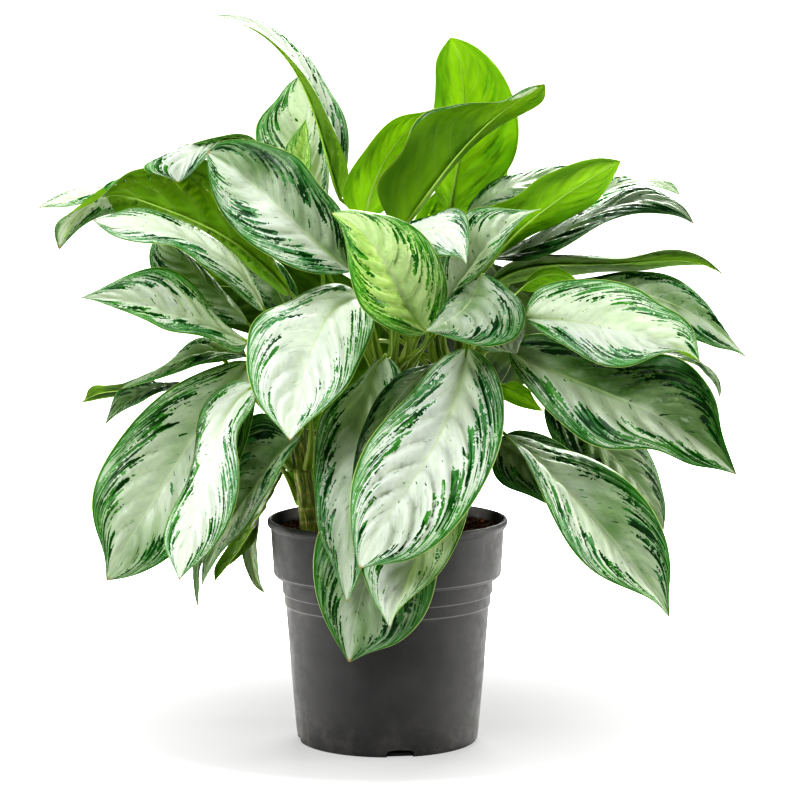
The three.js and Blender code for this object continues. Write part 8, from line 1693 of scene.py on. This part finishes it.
def area(name, at, target, size, watts, colour=(1, 1, 1)):
    data = bpy.data.lights.new(name, "AREA")
    data.shape = "RECTANGLE"
    data.size, data.size_y = size
    data.energy = watts
    data.color = colour
    ob = bpy.data.objects.new(name, data)
    bpy.context.scene.collection.objects.link(ob)
    ob.location = at
    look_at(ob, target)
    return ob


def studio():
    world = bpy.data.worlds.new("studio_world")
    bpy.context.scene.world = world
    world.use_nodes = True
    nt = world.node_tree
    nt.nodes.clear()
    out = nt.nodes.new("ShaderNodeOutputWorld")
    seen = nt.nodes.new("ShaderNodeBackground")
    seen.inputs["Color"].default_value = (1, 1, 1, 1)
    seen.inputs["Strength"].default_value = 1.0
    lit = nt.nodes.new("ShaderNodeBackground")
    lit.inputs["Color"].default_value = (0.97, 1.0, 0.92, 1)
    lit.inputs["Strength"].default_value = AMBIENT
    gloss = nt.nodes.new("ShaderNodeBackground")
    gloss.inputs["Color"].default_value = (1, 1, 1, 1)
    gloss.inputs["Strength"].default_value = SHEEN
    path = nt.nodes.new("ShaderNodeLightPath")
    first = nt.nodes.new("ShaderNodeMixShader")
    nt.links.new(path.outputs["Is Glossy Ray"], first.inputs[0])
    nt.links.new(lit.outputs[0], first.inputs[1])
    nt.links.new(gloss.outputs[0], first.inputs[2])
    pick = nt.nodes.new("ShaderNodeMixShader")
    nt.links.new(path.outputs["Is Camera Ray"], pick.inputs[0])
    nt.links.new(first.outputs[0], pick.inputs[1])
    nt.links.new(seen.outputs[0], pick.inputs[2])
    nt.links.new(pick.outputs[0], out.inputs["Surface"])

    area("softbox_front", (-0.9, -2.2, 1.7), (0, 0, 0.35), (1.1, 1.0), KEY)
    area("softbox_top", (-0.3, -0.6, 2.4), (0, 0, 0.3), (1.0, 1.0), TOP)
    area("softbox_back", (0.4, 1.9, 1.9), (0, 0, 0.45), (1.6, 1.0), BACK)
    area("strip_left", (-2.0, 0.3, 0.8), (0, 0, 0.2), (0.5, 1.5), SIDE, (1.0, 0.97, 0.93))
    area("strip_right", (2.0, 0.1, 0.8), (0, 0, 0.2), (0.5, 1.5), SIDE * 1.35, (1.0, 0.97, 0.93))

    me = bpy.data.meshes.new("floor")
    me.from_pydata([(-9, -9, 0), (9, -9, 0), (9, 9, 0), (-9, 9, 0)], [], [(0, 1, 2, 3)])
    floor = bpy.data.objects.new("floor", me)
    bpy.context.scene.collection.objects.link(floor)
    floor.location.z = -0.0004
    me.materials.append(floor_material())

    cam = bpy.data.cameras.new("camera")
    cam.sensor_width = 36.0
    cam.sensor_fit = "HORIZONTAL"
    cam.lens = CAMERA["lens"]
    cam.clip_start, cam.clip_end = 0.05, 60
    ob = bpy.data.objects.new("camera", cam)
    bpy.context.scene.collection.objects.link(ob)
    ob.location = CAMERA["at"]
    ob.rotation_euler = (math.radians(90 - CAMERA["down"]), 0, 0)
    bpy.context.scene.camera = ob
    vs = bpy.context.scene.view_settings
    vs.view_transform = "Standard"
    vs.look = CONTRAST
    vs.exposure = 0.0
    vs.gamma = 1.0


AMBIENT = 0.028
SHEEN = 0.12
KEY = 42.8
TOP = 25.0
BACK = 102.0
SIDE = 24.0
CONTRAST = "Very High Contrast"

studio()
LEAF = leaf_material()
STEM = stem_material()
pot()
soil()
for row in STEMS:
    stem(*row)
for row in LEAVES:
    leaf(*row)
